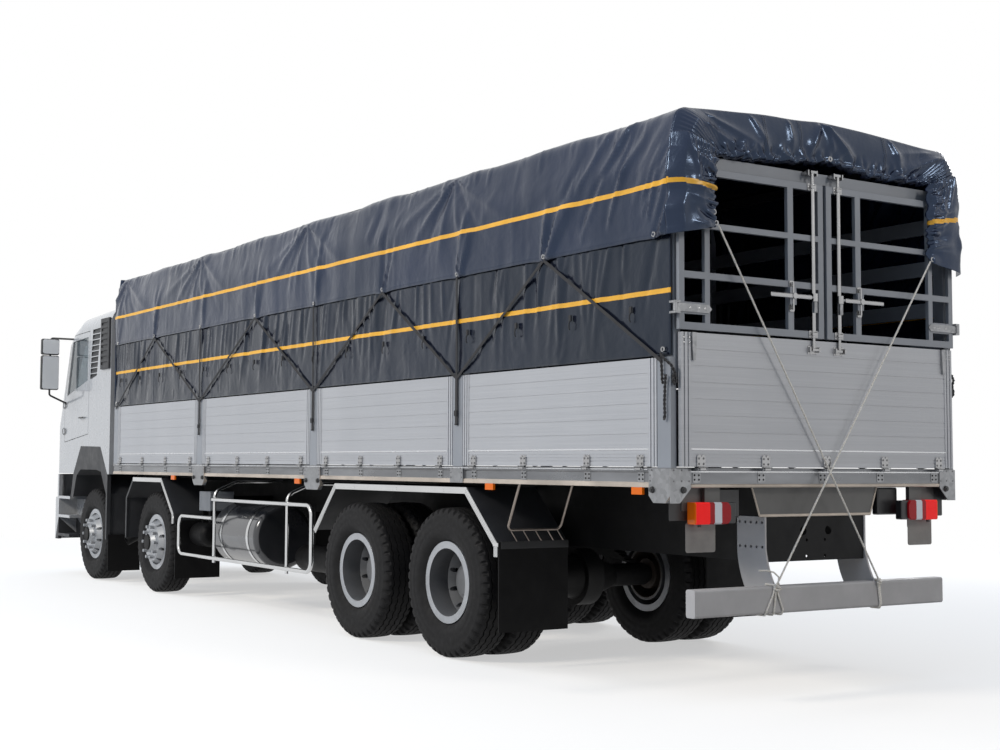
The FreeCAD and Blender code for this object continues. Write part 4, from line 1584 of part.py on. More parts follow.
def underrun_arm():
    """A left arm of the underrun bar: a plate on the rail's side that sweeps back to the bar in two arcs."""
    rear = UNDERRUN_REAR + UNDERRUN_DEPTH
    knee = FRAME_TOP - RAIL_HEIGHT + UNDERRUN_ARM_KNEE
    foot = UNDERRUN_HEIGHTS[1]
    y = RAIL_OUTER_Y + FIT_GAP
    front = rear + UNDERRUN_ARM_WIDTH
    points = {name: Vector(x, y, z) for name, x, z in (
        ("rear top", rear, UNDERRUN_ARM_TOP), ("rear knee", rear, knee),
        ("rear bow", rear - UNDERRUN_ARM_SWEEP / 4, (knee + foot) / 2),
                                                       ("rear foot", UNDERRUN_REAR + OVERRUN, foot),
        ("bar", UNDERRUN_REAR + OVERRUN, foot - UNDERRUN_DEPTH), ("under", rear, foot - UNDERRUN_DEPTH),
        ("front foot", front - UNDERRUN_ARM_SWEEP, foot - UNDERRUN_DEPTH),
        ("front bow", front - UNDERRUN_ARM_SWEEP / 4, (knee + foot - UNDERRUN_DEPTH) / 2),
                                                       ("front knee", front, knee),
        ("front top", front, UNDERRUN_ARM_TOP))}
    straight = (("rear top", "rear knee"), ("rear foot", "bar"), ("bar", "under"), ("under", "front foot"),
                ("front knee", "front top"), ("front top", "rear top"))
    edges = [Part.LineSegment(points[start], points[end]).toShape() for start, end in straight]
    for end in ("rear", "front"):
        arc = Part.Arc(points[f"{end} knee"], points[f"{end} bow"], points[f"{end} foot"])
        edges.append(arc.toShape())
    plate = Part.Face(Part.Wire(Part.__sortEdges__(edges))).extrude(Vector(0, UNDERRUN_ARM_PLATE, 0))
    holes = []
    for height in UNDERRUN_HOLE_SHARES:
        z = knee + height * (UNDERRUN_ARM_TOP - knee)
        for index in range(UNDERRUN_HOLE_COUNT):
            x = rear + (index + 0.5) * UNDERRUN_ARM_WIDTH / UNDERRUN_HOLE_COUNT
            holes.append(rod(Vector(x, y - OVERRUN, z), Vector(x, y + UNDERRUN_ARM_PLATE + OVERRUN, z),
                             UNDERRUN_HOLE_RADIUS))
    return plate.cut(holes)


def flap_stay():
    """What carries a left rear flap: a bent tube, slanting bars, and the strip over the flap."""
    y_low, y_high, flap_top = REAR_FLAP[0], REAR_FLAP[1], REAR_FLAP[3]
    outer, inner = FLAP_STAY_ENDS_Y
    x = REAR_FLAP_AHEAD - FLAP_THICK / 2
    deck_bottom = DECK_TOP - FLOOR_THICK
    top = deck_bottom + FLAP_STAY_RADIUS
    tube = bent_tube([Vector(x - FLAP_STAY_SWEEP, outer, top), Vector(x, outer, FLAP_STAY_Z),
                      Vector(x, inner, FLAP_STAY_Z), Vector(x - FLAP_STAY_SWEEP, inner, top)],
                     FLAP_STAY_RADIUS, FLAP_STAY_BEND)
    tube = tube.cut(box(x - 2 * FLAP_STAY_SWEEP, x, 0, 2 * outer, deck_bottom - FIT_GAP, DECK_TOP))
    face = REAR_FLAP_AHEAD - FLAP_THICK - 2 * FIT_GAP
    strip = box(face - FLAP_STRIP_THICK, face, y_low, y_high - FLAP_THICK, flap_top - FLAP_STRIP_HEIGHT,
                flap_top + FLAP_STRIP_THICK)
    bars = []
    for share in FLAP_GRID_SHARES:
        y = outer + share * (inner - outer)
        foot = Vector(face - FLAP_STRIP_THICK / 2, y - FLAP_GRID_SLANT, flap_top + FLAP_GRID_RADIUS)
        bars.append(rod(Vector(x, y, FLAP_STAY_Z), foot, FLAP_GRID_RADIUS))
    return fuse([tube, strip] + bars)


def under_guards():
    """Tube side guards, the rear flaps' stays, and the underrun bar on its two curved arms."""
    guards = [side_guard(way) for way in SIDES.values()] + pair(flap_stay())
    bar = box(UNDERRUN_REAR, UNDERRUN_REAR + UNDERRUN_DEPTH, -UNDERRUN_HALF_WIDTH, UNDERRUN_HALF_WIDTH,
              *UNDERRUN_HEIGHTS)
    bar = bar.makeFillet(UNDERRUN_DEPTH / 5, [edge for edge in bar.Edges if abs(edge.Vertexes[0].Y
                                              - edge.Vertexes[-1].Y) > UNDERRUN_DEPTH])
    save("under_guards", guards + [fuse([bar] + pair(underrun_arm()))])


# Fuel tank, valve box, tool box, air tanks and exhaust
TANK_AHEAD = (5985.0, 7030.0)
TANK_RADIUS = 305.0
TANK_Y = 845.0
TANK_Z = 705.0
TANK_STRAPS_AHEAD = (6165.0, 6790.0)
TANK_STRAP_WIDTH = 46.0
TANK_STRAP_THICK = 5.0
VALVE_BOX = (7060.0, 7335.0, 900.0, 1150.0, 920.0, 1112.0)
VALVE_BOX_RIB_COUNT = 9
VALVE_BOX_RIB_PROUD = 6.0
RESERVOIR_AHEAD = (7380.0, 7760.0)
RESERVOIR_RADIUS = 122.0
RESERVOIR_Y = 985.0
RESERVOIR_Z = 662.0
BRACKET_THICK = 12.0
BRACKET_SHARES = (0.25, 0.75)
RIGHT_BOX = (6000.0, 6900.0, -1130.0, -480.0, 520.0, 1080.0)
RIGHT_BOX_ROUND = 24.0
AIR_TANK_RADIUS = 120.0
AIR_TANK_Y = 700.0
AIR_TANK_Z = 520.0
AIR_TANKS_AHEAD = (5060.0, 5850.0)


def fuel_tank():
    """A round tank with dished ends on the frame's left, with straps and rail brackets."""
    rear, front = TANK_AHEAD
    round_edge = TANK_RADIUS / 6
    shell = rod(Vector(rear, TANK_Y, TANK_Z), Vector(front, TANK_Y, TANK_Z), TANK_RADIUS)
    shell = shell.makeFillet(round_edge, [edge for edge in shell.Edges if len(edge.Vertexes) == 1])
    pieces = [shell]
    for ahead in TANK_STRAPS_AHEAD:
        pieces.append(rod(Vector(ahead - TANK_STRAP_WIDTH / 2, TANK_Y, TANK_Z),
                          Vector(ahead + TANK_STRAP_WIDTH / 2, TANK_Y, TANK_Z),
                          TANK_RADIUS + TANK_STRAP_THICK))
        pieces.append(box(ahead - TANK_STRAP_WIDTH / 2, ahead + TANK_STRAP_WIDTH / 2, RAIL_OUTER_Y + FIT_GAP,
                          TANK_Y, FRAME_TOP - RAIL_HEIGHT, FRAME_TOP - RAIL_HEIGHT / 3))
    save("fuel_tank", [fuse(pieces)])


def valve_box():
    """A left box under the floor, ribbed all round, on an arm from the rail."""
    rear, front, inner, outer, low, high = VALVE_BOX
    pieces = [box(*VALVE_BOX)]
    pitch = (front - rear) / VALVE_BOX_RIB_COUNT
    proud = VALVE_BOX_RIB_PROUD
    for index in range(VALVE_BOX_RIB_COUNT):
        x = rear + (index + 0.25) * pitch
        pieces.append(box(x, x + pitch / 2, outer - proud, outer + proud, low, high))
    for z in (low + BRACKET_THICK, (low + high) / 2, high - 2 * BRACKET_THICK):
        pieces.append(box(rear - proud, rear + proud, inner, outer, z, z + BRACKET_THICK))
    middle = (rear + front) / 2
    pieces.append(box(middle - TANK_STRAP_WIDTH, middle + TANK_STRAP_WIDTH, RAIL_OUTER_Y + FIT_GAP, inner,
                      high - 2 * TANK_STRAP_WIDTH, high - TANK_STRAP_WIDTH))
    return fuse(pieces)


def slung_tank(rear, front, y, z, radius):
    """A round air tank with dished ends, on arms from the rail on its side of the truck."""
    tank = rod(Vector(rear, y, z), Vector(front, y, z), radius)
    tank = tank.makeFillet(radius / 2, [edge for edge in tank.Edges if len(edge.Vertexes) == 1])
    way = 1 if y > 0 else -1
    near = way * (RAIL_OUTER_Y + FIT_GAP)
    arms = []
    for share in BRACKET_SHARES:
        x = rear + share * (front - rear)
        arms.append(box(x - TANK_STRAP_WIDTH / 2, x + TANK_STRAP_WIDTH / 2, min(near, y), max(near, y),
                        min(z + radius / 2, FRAME_TOP - RAIL_HEIGHT), FRAME_TOP - RAIL_HEIGHT / 2))
    return fuse([tank] + arms)


def chassis_boxes():
    """A valve box and an air tank behind the second axle, a tool box on the right, and two more air tanks."""
    right_box = box(*RIGHT_BOX)
    right_box = right_box.makeFillet(RIGHT_BOX_ROUND, [edge for edge in right_box.Edges
                                                       if edge.BoundBox.XLength > RAIL_HEIGHT])
    right_arms = []
    for share in BRACKET_SHARES:
        x = RIGHT_BOX[0] + share * (RIGHT_BOX[1] - RIGHT_BOX[0])
        right_arms.append(box(x - TANK_STRAP_WIDTH, x + TANK_STRAP_WIDTH, RIGHT_BOX[3] - RIGHT_BOX_ROUND,
                              -RAIL_OUTER_Y - FIT_GAP, FRAME_TOP - RAIL_HEIGHT / 2,
                              RIGHT_BOX[5] - 2 * RIGHT_BOX_ROUND))
    tanks = [slung_tank(*AIR_TANKS_AHEAD, way * AIR_TANK_Y, AIR_TANK_Z, AIR_TANK_RADIUS) for way in (1, -1)]
    reservoir = slung_tank(*RESERVOIR_AHEAD, RESERVOIR_Y, RESERVOIR_Z, RESERVOIR_RADIUS)
    save("chassis_boxes", [valve_box(), fuse([right_box] + right_arms), reservoir] + tanks)


SILENCER = (9345.0, 9800.0, 470.0, 800.0, 560.0, 900.0)
SILENCER_ROUND = 60.0
TAILPIPE_AHEAD = 9560.0
TAILPIPE_RADIUS = 50.0
TAILPIPE_WALL = 3.0
TAILPIPE_START_Z = 690.0
TAILPIPE_END_Y = 1120.0
TAILPIPE_END_Z = 500.0


def exhaust():
    """A silencer on the left rail between the front axles, with a pipe that slants out and down."""
    rear, front, inner, outer, low, high = SILENCER
    drum = box(*SILENCER)
    drum = drum.makeFillet(SILENCER_ROUND,
                           [edge for edge in drum.Edges if edge.BoundBox.XLength > RAIL_HEIGHT])
    start = Vector(TAILPIPE_AHEAD, outer - SILENCER_ROUND, TAILPIPE_START_Z)
    end = Vector(TAILPIPE_AHEAD, TAILPIPE_END_Y, TAILPIPE_END_Z)
    arms = []
    for share in BRACKET_SHARES:
        x = rear + share * (front - rear)
        arms.append(box(x - TANK_STRAP_WIDTH / 2, x + TANK_STRAP_WIDTH / 2, RAIL_OUTER_Y + FIT_GAP,
                        inner + SILENCER_ROUND, high - 2 * SILENCER_ROUND, high - SILENCER_ROUND))
    bore = rod(start + (end - start) / 2, end + (end - start).normalize() * OVERRUN,
               TAILPIPE_RADIUS - TAILPIPE_WALL)
    return fuse([drum, rod(start, end, TAILPIPE_RADIUS)] + arms).cut(bore)


# Lamps
TAIL_LAMP = (729.0, 1060.0, 1055.0, 1180.0)
TAIL_LAMP_DEPTH = 55.0
TAIL_LAMP_REAR = 2.0
MARKERS_AHEAD = (309.0, 1906.0, 4922.0, 7859.0)
MARKER_LENGTH = 100.0
MARKER_HEIGHT = 44.0
MARKER_DEPTH = 18.0
HEAD_LAMP = (700.0, 1010.0, 1000.0, 1190.0)
HEAD_LAMP_DEPTH = 30.0
LAMP_BRACKET_WIDTH = 60.0


def lamps():
    """Tail lamps on brackets under the rear beam, amber side markers, and headlamps."""
    left = []
    y_low, y_high, z_low, z_high = TAIL_LAMP
    lamp = box(TAIL_LAMP_REAR, TAIL_LAMP_REAR + TAIL_LAMP_DEPTH, y_low, y_high, z_low, z_high)
    lamp = lamp.makeFillet(RAIL_THICK, lamp.Edges)
    middle = (y_low + y_high) / 2
    bracket = box(TAIL_LAMP_REAR + TAIL_LAMP_DEPTH / 2, TAIL_LAMP_REAR + TAIL_LAMP_DEPTH,
                  middle - LAMP_BRACKET_WIDTH,
                  middle + LAMP_BRACKET_WIDTH, z_high - RAIL_THICK, SILL_BOTTOM - FIT_GAP)
    left.append(fuse([lamp, bracket]))
    for ahead in MARKERS_AHEAD:
        left.append(box(ahead - MARKER_LENGTH / 2, ahead + MARKER_LENGTH / 2, SILL_FACE_Y - MARKER_DEPTH,
                        SILL_FACE_Y, SILL_BOTTOM - FIT_GAP - MARKER_HEIGHT, SILL_BOTTOM - FIT_GAP))
    y_low, y_high, z_low, z_high = HEAD_LAMP
    left.append(box(CAB_NOSE + FIT_GAP, CAB_NOSE + HEAD_LAMP_DEPTH, y_low, y_high, z_low, z_high))
    save("lamps", left + [mirrored(piece) for piece in left])


# The whole truck's middle, half way between the bumper's nose and the rear door handles
REARMOST = DOOR_FACE_AHEAD - DOOR_ROD_RADIUS / 2 - DOOR_ROD_RADIUS - DOOR_HANDLE_RADIUS
ORIGIN_AHEAD = (BUMPER_NOSE + REARMOST) / 2


def main():
    """Builds and saves every sub-part."""
    os.makedirs("parts", exist_ok=True)
    wheels()
    axles()
    springs()
    chassis_frame()
    power_train()
    for number, ahead in STEERED_AXLES.items():
        save(f"track_rod_{number}", [track_rod(ahead)])
    bed_deck()
    bed_bearers()
    side_gates()
    tailgate()
    tarp_frame()
    save("headboard", [headboard()])
    tarp_cover()
    for side in SIDES:
        save(f"rear_door_{side}", [on_side(rear_door(), side)])
    save("cab_shell", [cab_shell()])
    for side in SIDES:
        save(f"cab_door_{side}", [on_side(cab_door(), side)])
        save(f"door_glass_{side}", [on_side(door_glass(), side)])
    save("windscreen", [windscreen()])
    save("cab_interior", cab_interior())
    save("bumper_front", [bumper_front()])
    save("air_intake", [air_intake()])
    fenders()
    mud_flaps()
    under_guards()
    fuel_tank()
    chassis_boxes()
    save("exhaust", [exhaust()])
    lamps()


main()
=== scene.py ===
"""Looks of the tarpaulin-covered cargo truck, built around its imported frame.

Lengths are metres. X is counted ahead of the load body's rear face while a piece is made, Y is to the truck's
left and Z is up. Every mesh is moved to the frame's own origin when it is finished.
"""
import math
from itertools import product

import bmesh
import bpy
import numpy as np
from mathutils import Matrix, Vector


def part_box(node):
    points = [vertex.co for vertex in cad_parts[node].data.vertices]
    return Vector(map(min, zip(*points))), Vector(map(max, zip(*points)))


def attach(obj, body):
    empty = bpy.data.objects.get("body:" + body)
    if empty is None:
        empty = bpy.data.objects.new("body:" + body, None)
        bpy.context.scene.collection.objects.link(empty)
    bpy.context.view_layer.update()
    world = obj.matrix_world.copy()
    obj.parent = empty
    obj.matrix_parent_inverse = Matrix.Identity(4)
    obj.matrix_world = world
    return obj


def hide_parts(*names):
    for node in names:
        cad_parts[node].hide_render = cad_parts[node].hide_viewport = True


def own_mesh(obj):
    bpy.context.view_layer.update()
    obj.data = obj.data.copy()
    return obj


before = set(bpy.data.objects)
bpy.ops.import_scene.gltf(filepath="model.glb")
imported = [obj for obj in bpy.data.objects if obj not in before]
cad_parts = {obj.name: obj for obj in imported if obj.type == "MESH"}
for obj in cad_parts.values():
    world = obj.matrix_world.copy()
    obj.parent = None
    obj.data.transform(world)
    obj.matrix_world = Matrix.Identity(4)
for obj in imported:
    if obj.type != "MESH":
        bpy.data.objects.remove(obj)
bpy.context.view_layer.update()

HEADBOARD_FRONT = 9.717
BODY_REAR_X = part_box("headboard")[1].x - HEADBOARD_FRONT
SIDES = {"left": 1, "right": -1}
AXLES = {1: 10.626, 2: 8.571, 3: 3.876, 4: 2.506}
TYRE_RADIUS = 0.5425
FRONT_WHEEL_Y = 1.025
REAR_TRACK_HALF = 0.9285
DUAL_SPACING = 0.330
POSTS_AHEAD = (7.151, 4.620, 2.320)
BODY_LENGTH = 9.725
SILL_BOTTOM = 1.268
GATE_FACE_Y = 1.238
HALF_WIDTH = 1.250
SILL_BAND_Y = 1.234
TAILGATE_FACE = -0.036
GATE_LINE_Z = (1.480, 1.512)
TANK_CENTRE = (0.845, 0.705)
TANK_RADIUS = 0.305
TAIL_LAMP_TOP = 1.180


def placed(ahead, left, up):
    """A point in the frame's own coordinates."""
    return Vector((BODY_REAR_X + ahead, left, up))


def linked(name, data):
    """A new object in the scene."""
    made = bpy.data.objects.new(name, data)
    bpy.context.scene.collection.objects.link(made)
    return made


# Materials

class Nodes:
    """A short way to add and join the nodes of a material or of the world."""

    def __init__(self, owner):
        owner.use_nodes = True
        self.owner = owner
        self.tree = owner.node_tree
        self.spots = self.add("TexCoord").outputs
        self.place = self.spots["Object"]

    def feed(self, socket, value):
        """Joins a socket to another node's output, or sets it to a number, vector or colour."""
        if isinstance(value, bpy.types.NodeSocket):
            self.tree.links.new(value, socket)
        elif socket.type == "RGBA":
            socket.default_value = (*value, 1.0)
        else:
            socket.default_value = value

    def add(self, kind, sockets=None, **settings):
        node = self.tree.nodes.new("ShaderNode" + kind)
        for key, value in settings.items():
            setattr(node, key, value)
        for key, value in (sockets or {}).items():
            self.feed(node.inputs[key], value)
        return node

    def noise(self, scale, detail=4.0, rough=0.55, stretch=(1, 1, 1), distortion=0.0):
        shift = self.add("Mapping", {"Scale": stretch, "Vector": self.place})
        sockets = {"Scale": scale, "Detail": detail, "Roughness": rough, "Distortion": distortion}
        return self.add("TexNoise", {**sockets, "Vector": shift.outputs["Vector"]}).outputs["Fac"]

    def bands(self, direction, scale, distortion=0.0):
        return self.add("TexWave", {"Scale": scale, "Distortion": distortion, "Vector": self.place},
                        wave_type="BANDS", bands_direction=direction).outputs["Fac"]

    def spread(self, value, low, high, to_low=0.0, to_high=1.0, kind="LINEAR"):
        return self.add("MapRange", {"Value": value, "From Min": low, "From Max": high, "To Min": to_low,
                                     "To Max": to_high}, interpolation_type=kind).outputs["Result"]

    def mix(self, share, first, second):
        return self.add("Mix", {0: share, 6: first, 7: second}, data_type="RGBA").outputs[2]

    def times(self, first, second):
        return self.add("Math", {0: first, 1: second}, operation="MULTIPLY").outputs[0]

    def plus(self, first, second):
        return self.add("Math", {0: first, 1: second}, operation="ADD", use_clamp=True).outputs[0]

    def bump(self, value, strength, distance, before=None):
        sockets = {"Strength": strength, "Distance": distance, "Height": value}
        if before is not None:
            sockets["Normal"] = before
        return self.add("Bump", sockets).outputs["Normal"]

    def seen(self):
        """1 for what the camera sees directly, mirrored or through glass, 0 for what lights the scene."""
        rays = self.add("LightPath").outputs
        glossy = self.plus(rays["Is Camera Ray"], rays["Is Glossy Ray"])
        return self.plus(glossy, rays["Is Transmission Ray"])

    def surface(self, sockets, shader="Principled BSDF"):
        """Feeds the last shader's sockets, and returns the material or world."""
        for key, value in sockets.items():
            self.feed(self.tree.nodes[shader].inputs[key], value)
        return self.owner


def new_look(name):
    return Nodes(bpy.data.materials.new(name))


def scaled(colour, factor):
    return tuple(min(1.0, channel * factor) for channel in colour)


CLOUD = (0.3, 0.7)
DUST = (0.16, 0.148, 0.132)
DUST_FOOT = 0.15
SMOOTHEST = 0.02
COAT_ROUGHNESS = 0.05


def finish(name, colour, rough, metal=0.0, vary=0.12, patch=2.5, rough_vary=0.08, grain=None, coat=0.0,
           stretch=(1, 1, 1), dust=0.0, dust_top=1.3, edge=0.0, sheen=0.0, shine=0.5):
    """Paint, metal or plastic: uneven colour and gloss, an optional fine grain, and road dust low down."""
    made = new_look(name)
    share = made.spread(made.noise(patch, detail=6.0, stretch=stretch), *CLOUD)
    tone = made.mix(share, scaled(colour, 1 - vary), scaled(colour, 1 + vary))
    gloss = (max(SMOOTHEST, rough - rough_vary), min(1.0, rough + rough_vary))
    roughness = made.spread(made.noise(patch * 3.1, stretch=stretch), *CLOUD, *gloss)
    if dust > 0:
        height = made.add("SeparateXYZ", {0: made.place}).outputs["Z"]
        low = made.spread(height, DUST_FOOT, dust_top, 1.0, 0.0)
        specks = made.spread(made.noise(7.0, detail=8.0, rough=0.7), 0.35, 0.7)
        cover = made.times(made.times(low, specks), dust)
        tone = made.mix(cover, tone, DUST)
        roughness = made.plus(roughness, cover)
    sockets = {"Base Color": tone, "Roughness": roughness, "Metallic": metal, "Coat Weight": coat,
               "Coat Roughness": COAT_ROUGHNESS, "Sheen Weight": sheen, "Specular IOR Level": shine}
    normal = None
    if edge > 0:
        normal = made.add("Bevel", {"Radius": edge}, samples=4).outputs["Normal"]
    if grain is not None:
        scale, strength, distance, *along = grain
        height = made.noise(scale, detail=3.0, stretch=along or (1, 1, 1))
        normal = made.bump(height, strength, distance, normal)
    if normal is not None:
        sockets["Normal"] = normal
    return made.surface(sockets)


def boards():
    """Anodised aluminium boards, brushed along their length and faintly streaked from rain."""
    made = new_look("aluminium_boards")
    brush = made.noise(18.0, detail=6.0, rough=0.7, stretch=(0.06, 0.06, 9.0))
    rain = made.noise(1.3, detail=3.0, stretch=(1.0, 1.0, 0.25))
    tone = made.mix(made.spread(brush, *CLOUD), (0.385, 0.388, 0.40), (0.455, 0.458, 0.468))
    tone = made.mix(made.spread(rain, 0.35, 0.75, 0.0, 0.45), tone, (0.35, 0.355, 0.37))
    return made.surface({"Base Color": tone, "Roughness": made.spread(brush, 0.25, 0.75, 0.34, 0.5),
                         "Metallic": 0.35, "Normal": made.bump(brush, 0.12, 0.001)})


def galvanised():
    """Zinc with large, soft crystals."""
    made = new_look("galvanised_steel")
    cells = made.add("TexVoronoi", {"Scale": 38.0, "Vector": made.place})
    share = made.spread(cells.outputs["Color"], 0.0, 1.0)
    tone = made.mix(share, (0.215, 0.22, 0.228), (0.325, 0.33, 0.34))
    stain = made.spread(made.noise(3.0, detail=7.0), 0.45, 0.8, 0.0, 0.55)
    return made.surface({"Base Color": made.mix(stain, tone, (0.165, 0.163, 0.165)), "Metallic": 0.8,
                         "Roughness": made.spread(share, 0.0, 1.0, 0.28, 0.46)})


# Each layer of creases: scale, detail, strength and depth
CREASE_NOISES = ((3.2, 3.0, 0.8, 0.022), (11.0, 4.0, 0.5, 0.004))
WEAVE_SCALE = 190.0


def coated_cloth(name, colour, tint, gloss, lean, crumple):
    """Glossy coated tarpaulin: a faint weave, crisp creases that lean one way, and a sheen tinted a painted
    sky colour.
    """
    made = new_look(name)
    soft = made.noise(2.4, detail=6.0, distortion=0.4)
    fade = made.spread(made.noise(0.7, detail=5.0), 0.35, 0.7)
    weave = made.times(*(made.bands(direction, WEAVE_SCALE, 0.6) for direction in ("X", "Z")))
    normal = made.bump(weave, 0.08, 0.0004)
    normal = made.bump(soft, 0.5 * crumple, 0.03, normal)
    turned = made.add("Mapping", {"Rotation": (0, lean, 0), "Scale": (1.0, 1.0, 0.22), "Vector": made.place})
    for scale, detail, strength, distance in CREASE_NOISES:
        crease = made.add("TexNoise", {"Scale": scale, "Detail": detail, "Distortion": 0.35,
                                       "Vector": turned.outputs["Vector"]},
                          noise_type="RIDGED_MULTIFRACTAL", normalize=True)
        normal = made.bump(crease.outputs["Fac"], strength * crumple, distance, normal)
    # The reflections are tinted blue: a painted sky colour, since the surround is white in reflections.
    return made.surface({"Base Color": made.mix(fade, scaled(colour, 0.75), scaled(colour, 1.3)),
                         "Roughness": made.spread(soft, *CLOUD, 0.14, 0.25), "Normal": normal,
                         "Specular IOR Level": gloss, "Specular Tint": tint})


def clear_glass(name, tint, through):
    """Tinted glass that lets some light through."""
    made = new_look(name)
    return made.surface({"Roughness": made.spread(made.noise(1.5), *CLOUD, 0.02, 0.05), "Base Color": tint,
                         "Transmission Weight": through, "IOR": 1.45})


def lens(name, colour, painted_glow=0.0):
    """A moulded lamp lens with fine optic ribs, and a painted glow that stands in for its highlight."""
    made = new_look(name)
    ribs = made.bands("Y", 60.0)
    return made.surface({
        "Base Color": made.mix(made.spread(ribs, 0.0, 1.0, 0.0, 0.35), colour, scaled(colour, 0.55)),
        "Roughness": made.spread(made.noise(6.0), *CLOUD, 0.06, 0.16), "Normal": made.bump(ribs, 0.2, 0.001),
        "Specular IOR Level": 0.2, "Coat Weight": 0.05, "Coat Roughness": 0.04, "Emission Color": colour,
        "Emission Strength": painted_glow})


def rope_fibre():
    """Pale rope fibre, uneven in tone."""
    made = new_look("pale_rope")
    share = made.spread(made.noise(120.0, detail=2.0), 0.35, 0.65)
    tone = made.mix(share, (0.68, 0.62, 0.52), (0.90, 0.85, 0.77))
    return made.surface({"Base Color": tone, "Roughness": 0.85})


LOOKS = {
    "rubber": finish("tyre_rubber", (0.0062, 0.0060, 0.0066), 0.66, vary=0.25, patch=9.0, dust=0.035,
                     shine=0.2, dust_top=1.2, grain=(260.0, 0.15, 0.0006)),
    "wheel": finish("wheel_silver_paint", (0.40, 0.41, 0.425), 0.34, metal=0.55, vary=0.12, dust=0.35,
                    grain=(420.0, 0.05, 0.0003), edge=0.003),
    "black": finish("chassis_black_paint", (0.0028, 0.0028, 0.0032), 0.55, vary=0.3, dust=0.02, shine=0.16,
                    dust_top=1.5, grain=(140.0, 0.10, 0.0005), edge=0.003),
    "axle": finish("axle_dark_casting", (0.0040, 0.0040, 0.0044), 0.60, vary=0.25, dust=0.04, shine=0.25,
                   dust_top=1.0, grain=(210.0, 0.25, 0.0010)),
    "grey_paint": finish("grey_frame_paint", (0.235, 0.245, 0.262), 0.38, vary=0.08,
                         grain=(300.0, 0.06, 0.0004), edge=0.002, coat=0.15),
    "bar_paint": finish("underrun_grey_paint", (0.43, 0.41, 0.395), 0.5, vary=0.10, dust=0.15,
                        grain=(260.0, 0.08, 0.0004), edge=0.004),
    "boards": boards(),
    "zinc": galvanised(),
    "beam": finish("sill_aluminium", (0.20, 0.205, 0.215), 0.34, metal=0.75, vary=0.30, patch=1.9,
                   rough_vary=0.10, edge=0.002, stretch=(0.6, 0.6, 2.5)),
    "lip": finish("sill_lip_beige", (0.48, 0.41, 0.34), 0.42, metal=0.3, vary=0.25, patch=3.0, edge=0.004),
    # Pale aluminium for thin edge strips, partly real bright metal and partly painted highlight along the
    # edges.
    "bright": finish("bright_aluminium_edge_painted_highlight", (0.62, 0.625, 0.635), 0.24, metal=0.7, vary=0.08, edge=0.002),
    # Darker grey inside each wheel's rim: painted shade in the wheel's recess.
    "wheel_recess_painted_shade": finish("wheel_barrel_painted_shade", (0.185, 0.187, 0.192), 0.40, metal=0.5, vary=0.22, dust=0.25,
                         edge=0.003),
    "dull_zinc": finish("dull_zinc_fastener", (0.13, 0.13, 0.135), 0.34, metal=0.8, vary=0.30, patch=22.0),
    "polished": finish("polished_stainless", (0.58, 0.585, 0.59), 0.18, metal=1.0, vary=0.05, rough_vary=0.06),
    "steel": finish("satin_steel_fitting", (0.36, 0.36, 0.365), 0.24, metal=1.0, vary=0.08, patch=3.0,
                    rough_vary=0.06),
    "rail": finish("weathered_rail", (0.26, 0.222, 0.195), 0.36, metal=0.8, vary=0.25, patch=6.0),
    "rusty": finish("rusted_hub", (0.050, 0.038, 0.030), 0.62, metal=0.2, vary=0.45, patch=14.0,
                    grain=(160.0, 0.25, 0.0010)),
    "tarp": coated_cloth("navy_tarpaulin_cover", (0.0085, 0.0115, 0.0275), (0.52, 0.70, 1.0), 0.62,
                         -0.55, 1.1),
    # The skirt's cloth is the cover's cloth made darker and less glossy: painted shade from the curtain above
    # it.
    "skirt": coated_cloth("navy_tarpaulin_skirt_painted_shade", (0.008, 0.010, 0.019), (0.66, 0.82, 1.0), 0.42, 0.12, 1.2),
    "stripe": finish("amber_stripe_tape", (0.80, 0.40, 0.022), 0.42, vary=0.1, patch=6.0,
                     grain=(420.0, 0.12, 0.0005)),
    "strap": finish("black_webbing", (0.010, 0.010, 0.012), 0.7, vary=0.3, grain=(700.0, 0.4, 0.0008)),
    "rope": rope_fibre(),
    "cab": finish("cab_white_paint", (0.36, 0.362, 0.366), 0.28, vary=0.025, coat=0.8, dust=0.06,
                  dust_top=2.2),
    "trim": finish("dark_grey_moulding", (0.020, 0.021, 0.024), 0.52, vary=0.12, edge=0.004, dust=0.06,
                   grain=(320.0, 0.25, 0.0006)),
    "plastic": finish("black_moulding", (0.014, 0.014, 0.015), 0.36, vary=0.2, edge=0.003,
                      grain=(500.0, 0.1, 0.0004)),
    "flap": finish("flap_rubber", (0.0030, 0.0029, 0.0032), 0.62, vary=0.3, dust=0.02, shine=0.14,
                   dust_top=1.0, grain=(60.0, 0.2, 0.001, 1, 1, 0.2)),
    "glass": clear_glass("door_glass_tint", (0.30, 0.34, 0.36), 0.75),
    "screen": clear_glass("windscreen_tint", (0.62, 0.68, 0.69), 0.9),
    # The mirror glass is a pale, mostly matt grey: a painted reflection, with a little real metal shine.
    "mirror": finish("mirror_painted_reflection", (0.76, 0.77, 0.78), 0.30, metal=0.15, vary=0.01, rough_vary=0.01),
    "tank": finish("fuel_tank_dark", (0.035, 0.036, 0.040), 0.17, metal=0.35, vary=0.25, patch=1.2, coat=0.7,
                   rough_vary=0.07, dust=0.12),
    # The red, amber and dark red lenses glow a little: a painted highlight.
    "red": lens("red_lens", (0.78, 0.002, 0.002), 0.40),
    "amber": lens("amber_lens", (0.80, 0.15, 0.004), 0.12),
    "clear": lens("clear_lens", (0.78, 0.79, 0.80)),
    "seat": finish("seat_cloth", (0.09, 0.095, 0.105), 0.9, vary=0.2, sheen=0.4, grain=(520.0, 0.5, 0.0012)),
    "rear_plate": finish("rear_plate_grey", (0.085, 0.083, 0.080), 0.40, metal=0.45, vary=0.25, patch=2.4),
    "plate": finish("blank_plate", (0.165, 0.155, 0.145), 0.42, metal=0.35, vary=0.18, patch=7.0, edge=0.003),
    "red_dark": lens("dark_red_lens", (0.34, 0.001, 0.006), 0.10),
}

